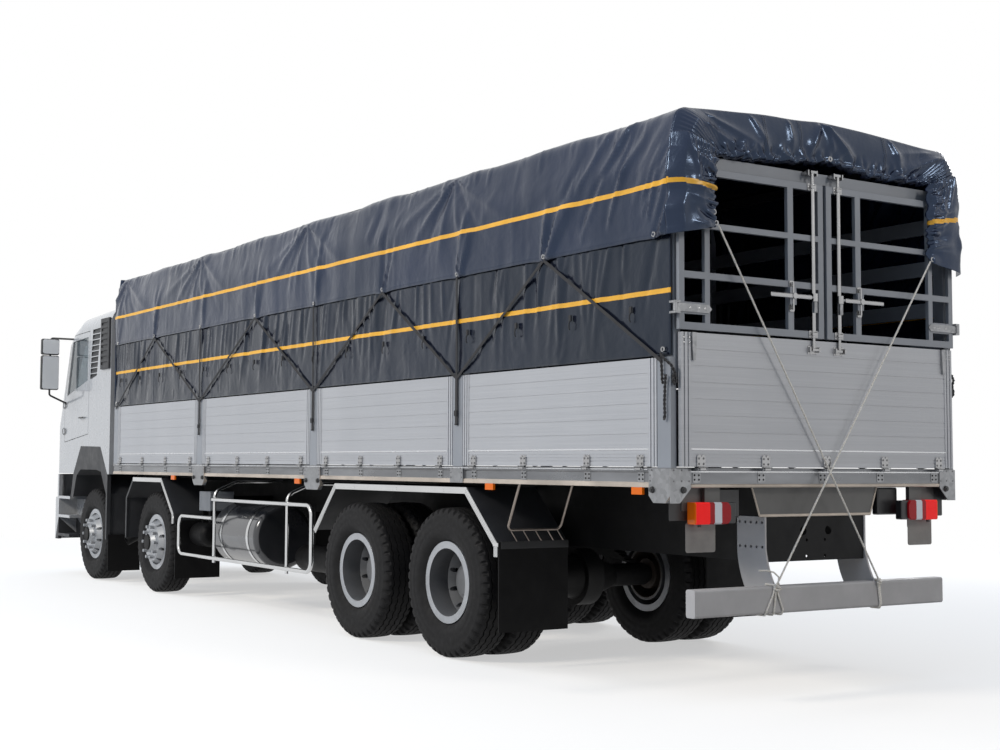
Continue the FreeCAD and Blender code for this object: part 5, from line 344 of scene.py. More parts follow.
NODE_LOOKS = {
    "tyre": "rubber", "wheel": "wheel", "knuckle": "axle", "track_rod": "axle", "front_axle_beams": "axle",
    "driven_axles": "axle", "leaf_springs": "axle", "chassis_frame": "black", "engine_and_gearbox": "axle",
    "drive_shafts": "axle", "bed_deck": "beam", "bed_bearers": "black", "side_gate": "boards",
    "tailgate": "boards", "tarp_frame": "grey_paint", "headboard": "boards", "tarp_cover": "tarp",
    "rear_door": "grey_paint", "cab_shell": "cab", "cab_door": "cab", "door_glass": "glass",
    "windscreen": "screen", "cab_interior": "seat", "bumper_front": "cab", "air_intake": "trim",
    "fenders": "trim", "mud_flaps": "flap", "under_guards": "polished", "fuel_tank": "tank",
    "chassis_boxes": "black", "lamps": "amber", "exhaust": "axle",
}


def dress_nodes():
    """Gives every CAD node its material."""
    for name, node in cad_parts.items():
        known = [prefix for prefix in NODE_LOOKS if name.startswith(prefix)]
        node.data.materials.clear()
        node.data.materials.append(LOOKS[NODE_LOOKS[max(known, key=len)]])


FAR = math.inf

# The hinges, lamps, mirrors and other parts of CAD nodes that aren't the node's own colour, and faces given
# painted shade or painted highlight: the nodes' prefix, the look, and the limits between which the centres
# of its faces lie. y counts from the truck's middle, hub from the nearest axle's line and tank from the fuel
# tank's line. A later row covers an earlier one.
PAINTED = (
    ("bed_deck", "lip", {"y": (SILL_BAND_Y + 0.0005, HALF_WIDTH - 0.001), "z": (-FAR, SILL_BOTTOM + 0.032)}),
    ("bed_deck", "zinc", {"y": (HALF_WIDTH - 0.001, FAR)}),
    ("bed_bearers", "rear_plate", {"x": (-FAR, 0.056), "y": (-FAR, 0.56)}),
    ("side_gate", "zinc", {"y": (GATE_FACE_Y + 0.0045, FAR)}),
    # A pale line along the gates' rail: partly bright aluminium, partly painted highlight.
    ("side_gate", "bright", {"y": (GATE_FACE_Y + 0.0005, GATE_FACE_Y + 0.0035), "z": GATE_LINE_Z}),
    ("tailgate", "bright", {"x": (TAILGATE_FACE - 0.0035, TAILGATE_FACE - 0.0005), "z": GATE_LINE_Z}),
    ("tailgate", "zinc", {"x": (-FAR, TAILGATE_FACE - 0.0045)}),
    ("tarp_frame", "zinc", {"x": (-FAR, -0.012)}),
    ("rear_door", "zinc", {"x": (-FAR, -0.0425), "y": (0.95, FAR)}),
    ("rear_door", "zinc", {"x": (-FAR, -0.062)}),
    ("under_guards", "bar_paint", {"x": (-FAR, 0.36)}),
    ("fuel_tank", "polished", {"tank": (TANK_RADIUS + 0.002, FAR)}),
    ("chassis_boxes", "grey_paint", {"x": (7.0, 7.36), "y": (0.85, FAR), "z": (0.91, FAR)}),
    ("lamps", "plastic", {"x": (-FAR, 0.2)}),
    ("lamps", "rear_plate", {"x": (-FAR, 0.2), "z": (TAIL_LAMP_TOP + 0.004, FAR)}),
    ("lamps", "clear", {"x": (11.5, FAR)}),
    ("cab_shell", "plastic", {"x": (11.90, 11.960), "y": (-FAR, 0.885), "z": (1.33, 1.99)}),
    ("cab_shell", "trim", {"x": (10.27, 10.65), "y": (1.21, 1.2385), "z": (2.38, 3.02)}),
    ("cab_door", "plastic", {"y": (1.262, FAR)}),
    ("cab_interior", "trim", {"x": (11.15, FAR)}),
    ("bumper_front", "trim", {"z": (-FAR, 0.60)}),
    ("under_guards", "rail", {"x": (0.36, 1.95)}),
    ("under_guards", "plastic", {"x": (0.36, 1.95), "z": (-FAR, 0.872)}),
    # Painted shade: the frame's faces inside the cover get the dark grey moulding look.
    ("tarp_frame", "trim", {"x": (0.10, FAR), "y": (-FAR, 1.16)}),
    ("fenders", "polished", {"x": (7.75, 8.30), "y": (1.17, FAR)}),
    # Painted shade: the inner barrel of each wheel, inside the rim's lip, gets a darker grey.
    ("wheels_", "wheel_recess_painted_shade", {"hub": (-FAR, 0.262)}),
    ("wheels_", "rusty", {"hub": (-FAR, 0.20), "y": (-FAR, 1.02)}),
    ("wheel_", "wheel_recess_painted_shade", {"hub": (-FAR, 0.245), "y": (-FAR, 1.11)}),
    ("wheel_", "black", {"hub": (-FAR, 0.085)}),
    ("mud_flaps", "black", {"x": (-FAR, 2.0), "z": (0.815, FAR)}),
)


def paint(node, look, limits):
    """Gives a look to the faces of a CAD node whose centres lie between limits."""
    faces = node.data.polygons
    centres = np.empty(3 * len(faces))
    faces.foreach_get("center", centres)
    spin = np.array(node.matrix_world.to_3x3())
    centres = centres.reshape(-1, 3) @ spin.T + np.array(node.matrix_world.translation)
    x, y, z = centres[:, 0] - BODY_REAR_X, np.abs(centres[:, 1]), centres[:, 2]
    hub = np.min([np.hypot(x - axle, z - TYRE_RADIUS) for axle in AXLES.values()], axis=0)
    spots = {"x": x, "y": y, "z": z, "hub": hub, "tank": np.hypot(y - TANK_CENTRE[0], z - TANK_CENTRE[1])}
    picked = np.ones(len(faces), bool)
    for key, (low, high) in limits.items():
        picked &= (spots[key] > low) & (spots[key] < high)
    marks = np.empty(len(faces), np.int32)
    faces.foreach_get("material_index", marks)
    node.data.materials.append(LOOKS[look])
    marks[picked] = len(node.data.materials) - 1
    faces.foreach_set("material_index", marks)


def paint_details():
    """Paints every row of the table above."""
    for prefix, look, limits in PAINTED:
        for name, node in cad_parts.items():
            if name.startswith(prefix):
                paint(node, look, limits)


# Mesh building

AROUND = ((0, 0), (1, 0), (1, 1), (0, 1))
BOX_FACES = ((0, 1, 3, 2), (4, 6, 7, 5), (0, 4, 5, 1), (2, 3, 7, 6), (0, 2, 6, 4), (1, 5, 7, 3))
MOST_CUT = 0.45
# Edges sharper than these angles, in degrees, stay crisp
PIECE_CREASE = 35.0
TYRE_CREASE = 32.0


def ring(radius, sides):
    """The corners of a regular outline about the origin."""
    turns = (2 * math.pi * k / sides for k in range(sides))
    return [(radius * math.cos(turn), radius * math.sin(turn)) for turn in turns]


def ring_faces(first, second, sides):
    """The faces between two rings of points, by the numbers of their first points."""
    return [(first + k, first + (k + 1) % sides, second + (k + 1) % sides, second + k) for k in range(sides)]


class Kit:
    """Collects simple solids into one mesh."""

    def __init__(self):
        self.points = []
        self.faces = []
        self.marks = []
        self.mark = 0

    def add(self, points, faces):
        start = len(self.points)
        self.points += [tuple(point) for point in points]
        self.faces += [tuple(start + index for index in face) for face in faces]
        self.marks += [self.mark] * len(faces)

    def box(self, x, y, z, cut=0.0):
        """A block between three pairs of limits, with its edges cut off by a small chamfer."""
        spans = [sorted(pair) for pair in (x, y, z)]
        cut = min(cut, MOST_CUT * min(high - low for low, high in spans))
        if cut <= 0:
            self.add(product(*spans), BOX_FACES)
            return
        corners = list(product((0, 1), repeat=3))
        number = {}
        spots = []
        for corner in corners:
            outer = [span[side] for span, side in zip(spans, corner)]
            inner = [value - cut if side else value + cut for value, side in zip(outer, corner)]
            for axis in range(3):
                number[(*corner, axis)] = len(spots)
                spots.append((*inner[:axis], outer[axis], *inner[axis + 1:]))
        flats = []
        edges = []
        for axis in range(3):
            others = [n for n in range(3) if n != axis]

            def spot(side, first, second, kind):
                key = [side] * 3
                key[others[0]], key[others[1]] = first, second
                return number[(*key, kind)]

            flats += [[spot(side, a, b, axis) for a, b in AROUND] for side in (0, 1)]
            turns = [(side, kind) for side, kinds in ((0, others), (1, others[::-1])) for kind in kinds]
            edges += [[spot(side, a, b, kind) for side, kind in turns] for a, b in AROUND]
        self.add(spots, flats + edges + [[number[(*corner, axis)] for axis in range(3)] for corner in corners])

    def rod(self, start, end, radius, sides=12, end_radius=None):
        """A closed round bar, or a cone when the end's radius differs."""
        self.tube([start, end], radius, sides, end_radius=end_radius)

    def tube(self, path, radius, sides=8, end_radius=None, closed=False):
        """A closed tube along points."""
        path = [Vector(point) for point in path]
        count = len(path)
        points = []
        side = (path[1] - path[0]).normalized().orthogonal().normalized()
        for index, point in enumerate(path):
            before = path[index - 1] if index > 0 or closed else point
            after = path[(index + 1) % count] if index < count - 1 or closed else point
            tangent = (after - before).normalized()
            side = (side - tangent * side.dot(tangent)).normalized()
            up = tangent.cross(side)
            share = index / (count - 1)
            size = radius if end_radius is None else radius * (1 - share) + end_radius * share
            points += [point + (side * a + up * b) * size for a, b in ring(1.0, sides)]
        faces = []
        for index in range(count if closed else count - 1):
            faces += ring_faces(index * sides, (index + 1) % count * sides, sides)
        if not closed:
            faces.append(tuple(reversed(range(sides))))
            faces.append(tuple((count - 1) * sides + k for k in range(sides)))
        self.add(points, faces)

    def dome(self, base, normal, radius, rise, sides=10, rings=2):
        """A button: a flat base ring with a domed top."""
        normal = Vector(normal).normalized()
        side = normal.orthogonal().normalized()
        up = normal.cross(side)
        base = Vector(base)
        points = []
        for level in range(rings):
            angle = math.pi / 2 * level / rings
            points += [base + (side * a + up * b) * radius * math.cos(angle) + normal * rise * math.sin(angle)
                       for a, b in ring(1.0, sides)]
        points.append(base + normal * rise)
        faces = [tuple(reversed(range(sides)))]
        for level in range(rings - 1):
            faces += ring_faces(level * sides, (level + 1) * sides, sides)
        last = (rings - 1) * sides
        faces += [(last + k, last + (k + 1) % sides, len(points) - 1) for k in range(sides)]
        self.add(points, faces)

    def plate(self, outline, axis, low, high):
        """An outline in the two other axes, pushed along an axis from low to high."""
        points = [(*spot[:axis], level, *spot[axis:]) for level in (low, high) for spot in map(tuple, outline)]
        count = len(outline)
        faces = [tuple(reversed(range(count))), tuple(range(count, 2 * count))]
        self.add(points, faces + ring_faces(0, count, count))

    def copy(self, other, place):
        """Adds another kit with each of its points put where a function says."""
        start = len(self.points)
        self.points += [tuple(place(*point)) for point in other.points]
        self.faces += [tuple(start + index for index in face) for face in other.faces]
        self.marks += other.marks
        return self

    def mirrored(self):
        """Adds the mirror image of everything so far on the truck's other side."""
        count = len(self.points)
        self.points += [(x, -y, z) for x, y, z in self.points]
        self.faces += [tuple(index + count for index in reversed(face)) for face in self.faces]
        self.marks += self.marks
        return self


def new_mesh(name, points, faces, looks):
    mesh = bpy.data.meshes.new(name)
    mesh.from_pydata(points.tolist(), [], faces)
    for look in looks:
        mesh.materials.append(LOOKS[look])
    mesh.polygons.foreach_set("use_smooth", np.ones(len(mesh.polygons), bool))
    return mesh


def fix_normals(mesh, smooth_angle):
    """Turns every closed shell's faces outward, and keeps its edges sharp."""
    solid = bmesh.new()
    solid.from_mesh(mesh)
    bmesh.ops.recalc_face_normals(solid, faces=solid.faces)
    solid.to_mesh(mesh)
    solid.free()
    mesh.set_sharp_from_angle(angle=math.radians(smooth_angle))


def piece(name, kit, body, looks):
    looks = [looks] if isinstance(looks, str) else looks
    mesh = new_mesh(name, np.array(kit.points, float) + (BODY_REAR_X, 0.0, 0.0), kit.faces, looks)
    mesh.polygons.foreach_set("material_index", np.array(kit.marks, np.int32))
    mesh.validate()
    fix_normals(mesh, PIECE_CREASE)
    made = linked(name, mesh)
    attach(made, body)


# Folds of the tarpaulin, as ridges along chosen lines

CURTAIN_EDGE = 2.752
CURTAIN_Y = 1.247
BREAK_Z = 3.20
EAVES = (1.184, 3.523)
RIDGE_Z = 3.588
TARP_REAR = -0.016
TARP_FRONT = 9.744
SKIRT_Y = 1.240
SKIRT_TOP = 2.80
HEM_Z = 2.046
EYELETS_AHEAD = (0.13, 1.25, 2.32, 3.42, 4.62, 5.83, 7.15, 8.45, 9.62)
PULLED = (1.25, 3.42, 5.83, 8.45)
STRIPE_HALF = 0.015
UPPER_STRIPE_Z = 3.07
LOWER_STRIPE_Z = 2.43
PANEL_SEAMS = (1.62, 3.24, 4.86, 6.48, 8.10)
SEAM_HALF = 0.016
CORNER_STAND_OUT = 0.034
CORNER_REACH = 0.42
CLOTH = 0.0022
SKIRT_CLOTH = 0.0020
HEM_WIDTH = 0.034
SEAM_RISE = 0.0022
COVER_SEEDS = (11, 23)
TENT_SEED = 90
SKIRT_HEM_WIDTH = 0.032
SKIRT_SEAM_RISE = 0.002
SKIRT_SEAM_SHIFT = 0.4
SKIRT_SET_BACK = 0.006
# The skirt's upper edge goes in behind the cover
TUCK_REACH = 0.05
TUCK_DEPTH = 0.014
SKIRT_SEEDS = {"left": 31, "right": 47}
VALANCE_SEED = 71
FLAP_SEEDS = {"left": 5, "right": 6}
# How far each sheet's folds go in and out
COVER_FOLDS = (-0.030, 0.026)
SKIRT_FOLDS = (-0.016, 0.013)
VALANCE_FOLDS = (-0.026, 0.042)
FLAP_FOLDS = (-0.014, 0.026)
FRONT_FOLDS = (-0.012, 0.012)
REAR_PULL_END = 5.0
HOOP_PITCH = (BODY_LENGTH - 0.125) / 8
FIRST_HOOP = 0.04


def ramp(value, length, start=0.0):
    """0 up to a start, then straight up to 1 over a length."""
    return np.clip((value - start) / length, 0, 1)


def ridge(along, across, start, end, width_start, width_end, height, sharp=1.5):
    """A fold from start to end over a flat map: narrow and crisp at its start, wide and faded at its end."""
    line = np.array(end, float) - np.array(start, float)
    length = float(np.hypot(*line))
    line = line / length
    forward = (along - start[0]) * line[0] + (across - start[1]) * line[1]
    sideways = -(along - start[0]) * line[1] + (across - start[1]) * line[0]
    share = forward / length
    width = width_start + (width_end - width_start) * np.clip(share, 0, 1)
    body = np.exp(-np.abs(sideways / width) ** sharp)
    fade = np.clip(share / 0.12 + 0.35, 0, 1) * ramp(1.0 - share, 0.45) ** 1.3
    return height * body * fade


def scatter(out, along, across, draw, count, first, level, reach, lean, ways, narrow, wide, height, back=None):
    """Adds random folds. Each pair is the limits of a random draw, and a level that is one number isn't drawn.
    back is the share of folds that stand out and the factor of the others, which are pressed in."""
    for _ in range(count):
        start = (draw.uniform(*first), draw.uniform(*level) if isinstance(level, tuple) else level)
        length = draw.uniform(*reach)
        end = (start[0] + ways[0] * draw.uniform(*lean) * length, start[1] + ways[1] * length)
        widths = draw.uniform(*narrow), draw.uniform(*wide)
        rise = draw.uniform(*height)
        if back:
            rise *= 1 if draw.random() < back[0] else back[1]
        out += ridge(along, across, start, end, *widths, rise)


def add_seams(out, across, seams, height, half):
    """Adds the flat ridge of each seam between two panels."""
    for seam in seams:
        out += height * np.exp(-((across - seam) / half) ** 4)


def smooth_noise(along, across, seed, size):
    """Soft random relief between -1 and 1, a few waves of about one size."""
    draw = np.random.default_rng(seed)
    total = np.zeros_like(along)
    for _ in range(10):
        turn = draw.uniform(0, 2 * math.pi)
        wave = 2 * math.pi / (size * draw.uniform(0.7, 1.6))
        total += np.sin((along * math.cos(turn) + across * math.sin(turn)) * wave + draw.uniform(0, 6.3))
    return total / 10 ** 0.5 / 1.6


def path_points(corners, stations, blend):
    """Points at stations along a polyline whose corners are rounded by averaging over a short stretch."""
    corners = np.array(corners, float)
    lengths = np.hypot(*np.diff(corners, axis=0).T)
    reached = np.concatenate([[0], np.cumsum(lengths)])
    total = np.zeros((len(stations), 2))
    offsets = np.linspace(-blend, blend, 9)
    for offset in offsets:
        spot = np.clip(stations + offset * np.clip(np.minimum(stations, reached[-1] - stations) / blend, 0, 1),
                       0, reached[-1])
        total[:, 0] += np.interp(spot, reached, corners[:, 0])
        total[:, 1] += np.interp(spot, reached, corners[:, 1])
    return total / len(offsets)


def spaced_stations(length, step, exact):
    """Evenly spaced stations from 0 to length, with chosen ones hit exactly."""
    stations = list(np.linspace(0, length, int(round(length / step)) + 1))
    for value in exact:
        stations = [s for s in stations if abs(s - value) > step * 0.45]
        stations.append(value)
    return np.array(sorted(stations))


def sheet_mesh(name, grid, looks, marks=None, thick=CLOTH):
    """A cloth grid of points (rows, columns, 3), with a material index for each of its faces."""
    rows, columns, _ = grid.shape
    index = np.arange(rows * columns).reshape(rows, columns)
    faces = np.stack([index[:-1, :-1], index[:-1, 1:], index[1:, 1:], index[1:, :-1]], -1).reshape(-1, 4)
    mesh = new_mesh(name, grid.reshape(-1, 3) + (BODY_REAR_X, 0.0, 0.0), faces.tolist(), looks)
    if marks is not None:
        mesh.polygons.foreach_set("material_index", marks.astype(np.int32).reshape(-1))
    made = linked(name, mesh)
    skin = made.modifiers.new("thickness", "SOLIDIFY")
    skin.thickness = thick
    skin.offset = 0.0
    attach(made, "root")
    return made


def stripe_rows(centres, stripe, columns):
    """1 for the faces of the rows that lie on a stripe."""
    return np.repeat((np.abs(centres - stripe) < STRIPE_HALF)[:, None], columns - 1, 1)


def side_folds(ahead, up, seed):
    """How far the upper curtain stands out: fans of folds from each eyelet towards the eaves behind it."""
    draw = np.random.default_rng(seed)
    out = np.zeros_like(ahead)
    for eyelet in EYELETS_AHEAD:
        near_rear = max(0.0, 1.0 - eyelet / REAR_PULL_END)
        count = 7 if eyelet in PULLED else 4
        for k in range(count):
            lean = draw.uniform(0.05, 0.35) + near_rear * draw.uniform(0.15, 0.75)
            reach = draw.uniform(0.30, 0.80)
            start = (eyelet - 0.03 + 0.06 * k / count + draw.uniform(-0.05, 0.05),
                     CURTAIN_EDGE + draw.uniform(-0.02, 0.03))
            end = (start[0] - lean * reach - 0.10 * (k - count / 2) / count, start[1] + reach)
            height = draw.uniform(0.008, 0.018) * (0.7 + near_rear) * (1 if draw.random() < 0.7 else -0.8)
            out += ridge(ahead, up, start, end, draw.uniform(0.009, 0.018), draw.uniform(0.035, 0.075), height)
    scatter(out, ahead, up, draw, 24, first=(0.05, 0.9), level=(2.76, 3.20), reach=(0.25, 0.60),
            lean=(0.3, 0.9), ways=(-1, 1), narrow=(0.008, 0.016), wide=(0.02, 0.05),
            height=(0.006, 0.014), back=(0.65, -1))
    for _ in range(46):
        start = (draw.uniform(0.2, 9.6), draw.uniform(2.80, 3.25))
        near_rear = max(0.0, 1.0 - start[0] / REAR_PULL_END)
        lean = draw.uniform(-0.1, 0.5) + near_rear * draw.uniform(0.2, 0.8)
        reach = draw.uniform(0.15, 0.5)
        end = (start[0] - lean * reach, start[1] + reach)
        out += ridge(ahead, up, start, end, draw.uniform(0.015, 0.03), draw.uniform(0.04, 0.08),
                     draw.uniform(-0.008, 0.008))
    return out


TENT_TOPS = (2.44, 4.85, 7.26, 9.50)
# Each fold below a hoop: how far ahead and how high its foot lies, its width there and its rise
TENT_FOLDS = ((0.62, 2.98, 0.050, 0.020), (0.40, 2.86, 0.040, -0.012), (0.95, 3.12, 0.060, 0.012),
              (-0.95, 3.02, 0.055, 0.018), (-0.50, 2.90, 0.040, -0.010), (-0.24, 2.84, 0.050, 0.010),
              (0.16, 2.80, 0.045, 0.010))


def cover_tents(ahead, up):
    """The folds that spread down from every second hoop, and the short gathers below the eaves."""
    draw = np.random.default_rng(TENT_SEED)
    out = np.zeros_like(ahead)
    for top in TENT_TOPS:
        for shift, low, width, height in TENT_FOLDS:
            shift *= draw.uniform(0.85, 1.15)
            out += ridge(ahead, up, (top, 3.50), (top + shift, low), 0.008, width, height)
    for _ in range(110):
        start = draw.uniform(0.25, 9.6)
        end = (start + draw.uniform(-0.05, 0.03), 3.52 - draw.uniform(0.10, 0.24))
        out += ridge(ahead, up, (start, 3.56), end, 0.007, 0.018, draw.uniform(0.003, 0.007))
    return out


def upper_cover():
    """Roof and both upper curtains in one sheet, with its hem, stripe and hoop marks."""
    half = [(CURTAIN_Y, CURTAIN_EDGE), (CURTAIN_Y, BREAK_Z), EAVES, (0.0, RIDGE_Z)]
    corners = half + [(-y, z) for y, z in reversed(half[:-1])]
    length = float(np.hypot(*np.diff(np.array(corners), axis=0).T).sum())
    curtain = BREAK_Z - CURTAIN_EDGE
    stripe = UPPER_STRIPE_Z - CURTAIN_EDGE
    marks_at = [0.030, stripe - STRIPE_HALF, stripe + STRIPE_HALF, curtain + 0.33]
    fine = spaced_stations(length, 0.024, marks_at + [length - mark for mark in marks_at])
    side_reach = curtain + 0.42
    at_side = (fine < side_reach) | (fine > length - side_reach)
    stations = fine[at_side | (np.arange(len(fine)) % 3 == 0)]
    profile = path_points(corners, stations, 0.06)
    ahead = TARP_REAR + (TARP_FRONT - TARP_REAR) * np.linspace(0, 1, 440) ** 1.12
    x, s = np.meshgrid(ahead, stations)
    tangent = np.gradient(profile, stations, axis=0)
    normal = np.stack([tangent[:, 1], -tangent[:, 0]], -1)
    normal /= np.linalg.norm(normal, axis=1)[:, None]
    near = np.minimum(s, length - s)
    up = CURTAIN_EDGE + near
    side_share = ramp(side_reach - near, 0.12)
    roof_share = 1 - ramp(side_reach - near, 0.25)
    out = np.where(s < length - s, *(side_folds(x, up, seed) for seed in COVER_SEEDS)) * side_share
    bay = ((x - FIRST_HOOP) / HOOP_PITCH) % 1.0
    sag = -0.5 * (1 - np.cos(2 * math.pi * bay))
    out += cover_tents(x, up) * side_share
    out += 0.007 * sag * roof_share + 0.006 * smooth_noise(x, s, seed=5, size=0.7) * roof_share
    out += 0.004 * sag * side_share * ramp(near, 0.3, 0.25)
    out += 0.004 * smooth_noise(x, s, seed=8, size=0.45)
    add_seams(out, x, PANEL_SEAMS, SEAM_RISE, SEAM_HALF)
    out += SEAM_RISE * (near < HEM_WIDTH)
    lift = np.zeros_like(x)
    for eyelet in EYELETS_AHEAD:
        pull = 1 if eyelet in PULLED else 0.5
        lift -= 0.014 * np.exp(-((x - eyelet) / 0.10) ** 2) * np.exp(-near / 0.10) * pull
    out = np.clip(out, *COVER_FOLDS)
    ear = np.clip(1 - (x - TARP_REAR) / CORNER_REACH, 0, 1) ** 2 * ramp(side_reach - near, 0.35)
    out += CORNER_STAND_OUT * ear * (0.82 + 0.18 * np.sin(near * 19 + 1.0))
    grid = np.stack([x, profile[:, :1] + out * normal[:, :1], profile[:, 1:] + out * normal[:, 1:] + lift], -1)
    centres = (stations[:-1] + stations[1:]) / 2
    marks = stripe_rows(np.minimum(centres, length - centres), stripe, len(ahead))
    cover = sheet_mesh("tarpaulin_roof", grid, ["tarp", "stripe"], marks)
    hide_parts("tarp_cover")
    return grid


def skirt(side):
    """One lower curtain behind the upper one, hanging in steep folds to the gates' top; its darker look is
    painted shade.
    """
    way = SIDES[side]
    height = SKIRT_TOP - HEM_Z
    stripe = LOWER_STRIPE_Z - HEM_Z
    stations = spaced_stations(height, 0.020, [stripe - STRIPE_HALF, stripe + STRIPE_HALF])
    ahead = np.linspace(0.004, TARP_FRONT - 0.004, 640)
    x, s = np.meshgrid(ahead, stations)
    z = HEM_Z + s
    draw = np.random.default_rng(SKIRT_SEEDS[side])
    out = np.zeros_like(x)
    scatter(out, x, z, draw, 150, first=(0.0, 9.7), level=SKIRT_TOP + 0.02, reach=(0.35, 0.85),
            lean=(-0.05, 0.28), ways=(1, -1), narrow=(0.009, 0.022), wide=(0.02, 0.045),
            height=(0.004, 0.012), back=(0.6, -1))
    scatter(out, x, z, draw, 170, first=(0.0, 9.7), level=(2.05, 2.40), reach=(0.08, 0.28), lean=(-0.3, 0.3),
            ways=(1, 1), narrow=(0.008, 0.016), wide=(0.015, 0.03), height=(-0.005, 0.005))
    out += 0.003 * smooth_noise(x, z, seed=17, size=0.4)
    add_seams(out, x - SKIRT_SEAM_SHIFT, PANEL_SEAMS, SKIRT_SEAM_RISE, SEAM_HALF)
    out += SKIRT_SEAM_RISE * (s < SKIRT_HEM_WIDTH)
    out = np.clip(out, *SKIRT_FOLDS) - SKIRT_SET_BACK
    tuck = ramp(z, TUCK_REACH, CURTAIN_EDGE)
    out = out * (1 - tuck) - TUCK_DEPTH * tuck
    grid = np.stack([x, way * (SKIRT_Y + out), z], -1)
    marks = stripe_rows((stations[:-1] + stations[1:]) / 2, stripe, len(ahead))
    made = sheet_mesh(f"tarpaulin_skirt_{side}", grid, ["skirt", "stripe"], marks, SKIRT_CLOTH)


GATHER_LINE = ((-1.035, 3.284), (-0.66, 3.271), (-0.45, 3.274), (-0.05, 3.316), (0.25, 3.285), (0.57, 3.262),
               (0.985, 3.250))
GATHER_ENDS = (GATHER_LINE[-1][0], GATHER_LINE[0][0])
GATHER_TOP_Z = 3.30
VALANCE_SEAMS = (0.510, 0.204, -0.560)
# Each long fold: its start and end, left and up, and its rise
VALANCE_TENTS = (((0.02, 3.58), (0.16, 3.30), 0.020), ((0.0, 3.58), (-0.34, 3.29), 0.024),
                 ((-0.02, 3.58), (-0.12, 3.32), 0.012), ((0.98, 3.50), (0.36, 3.30), 0.012),
                 ((1.02, 3.44), (0.62, 3.28), 0.014), ((-1.06, 3.47), (-0.62, 3.30), 0.016),
                 ((-1.0, 3.50), (-0.45, 3.42), 0.010), ((0.62, 3.545), (0.44, 3.30), 0.012),
                 ((0.30, 3.57), (0.26, 3.31), 0.010), ((-0.62, 3.55), (-0.74, 3.30), 0.014))


def valance(cover):
    """The cover's rear end: it comes down over the header from the cover's own edge and is gathered below."""
    rows, columns = 46, 440
    edge = cover[:, 0, :]
    over = [k for k in range(len(edge)) if edge[k, 2] > GATHER_TOP_Z]
    edge = edge[over[0]:over[-1] + 1]
    reached = np.concatenate([[0], np.cumsum(np.linalg.norm(np.diff(edge, axis=0), axis=1))])
    stations = np.linspace(0, reached[-1], columns)
    top = np.stack([np.interp(stations, reached, edge[:, n]) for n in range(3)], -1)
    share = np.linspace(0, 1, columns)
    low_y = GATHER_ENDS[0] + (GATHER_ENDS[1] - GATHER_ENDS[0]) * share
    low_z = np.interp(low_y, *zip(*GATHER_LINE))
    draw = np.random.default_rng(VALANCE_SEED)
    down = np.repeat(np.linspace(0, 1, rows)[:, None], columns, 1)
    y = top[:, 1] + (low_y - top[:, 1]) * down
    z = top[:, 2] + (low_z - top[:, 2]) * down
    out = np.zeros_like(y)
    scatter(out, y, z, draw, 70, first=(-1.0, 0.95), level=3.265, reach=(0.05, 0.16), lean=(-0.7, 0.7),
            ways=(1, 1), narrow=(0.007, 0.012), wide=(0.012, 0.030), height=(0.009, 0.022), back=(0.6, -0.8))
    for start, end, height in VALANCE_TENTS:
        out += ridge(y, z, start, end, 0.010, 0.055, 1.35 * height)
    fan = np.exp(-(np.minimum(share, 1 - share) / 0.085) ** 2)
    pleats = np.abs(np.sin(share * math.pi * 92)) ** 0.7 - 0.6
    out += 0.013 * fan * pleats * ramp(down, 0.10)
    pucker = np.sin(low_y * 66 + 2.6 * np.sin(low_y * 9)) * 0.6 + np.sin(low_y * 37 + 1.3) * 0.5
    out += 0.015 * ramp(down, 0.30, 0.60) * pucker
    add_seams(out, y, VALANCE_SEAMS, 0.002, 0.014)
    billow = 0.026 * np.sin(math.pi * np.clip(down, 0, 1)) ** 0.8
    roll = 0.020 * np.exp(-((down - 0.92) / 0.06) ** 2)
    turn_in = 0.026 * ramp(down, 0.035, 0.965)
    corner = 0.052 * ramp(np.abs(y), 0.20, 0.90) * ramp(down, 0.25)
    soft = np.clip(out, *VALANCE_FOLDS) * ramp(down, 0.12)
    x = top[:, 0] - billow - roll - corner - soft + turn_in
    grid = np.stack([x, y, z + 0.006 * pucker * ramp(down, 0.2, 0.8)], -1)
    made = sheet_mesh("tarpaulin_rear_valance", grid, ["tarp"])
    seam_stitches(grid)


def seam_stitches(grid):
    """Rows of stitches down the valance's seams."""
    kit = Kit()
    for seam in VALANCE_SEAMS:
        for offset in (-0.009, 0.009):
            for row in range(2, len(grid) - 6, 2):
                column = int(np.argmin(np.abs(grid[row, :, 1] - seam - offset)))
                x, y, z = grid[row, column]
                kit.box((x - 0.0028, x - 0.0008), (y - 0.0012, y + 0.0012), (z - 0.0035, z + 0.0035))
    piece("valance_stitches", kit, "root", "strap")


# Each flap's free edge: how far from the middle it lies, and the height of its lower end
FLAPS = {"left": (0.950, 2.815), "right": (0.925, 2.750)}
FLAP_FOOT = {"left": 2.752, "right": 2.690}
FLAP_TOP = (3.37, 3.275)
FLAP_OUT = 0.082
# How far the stripe is off its usual height at the cover's edge and at the free edge
FLAP_STRIPE = {"left": (0.004, -0.030), "right": (0.0, -0.050)}


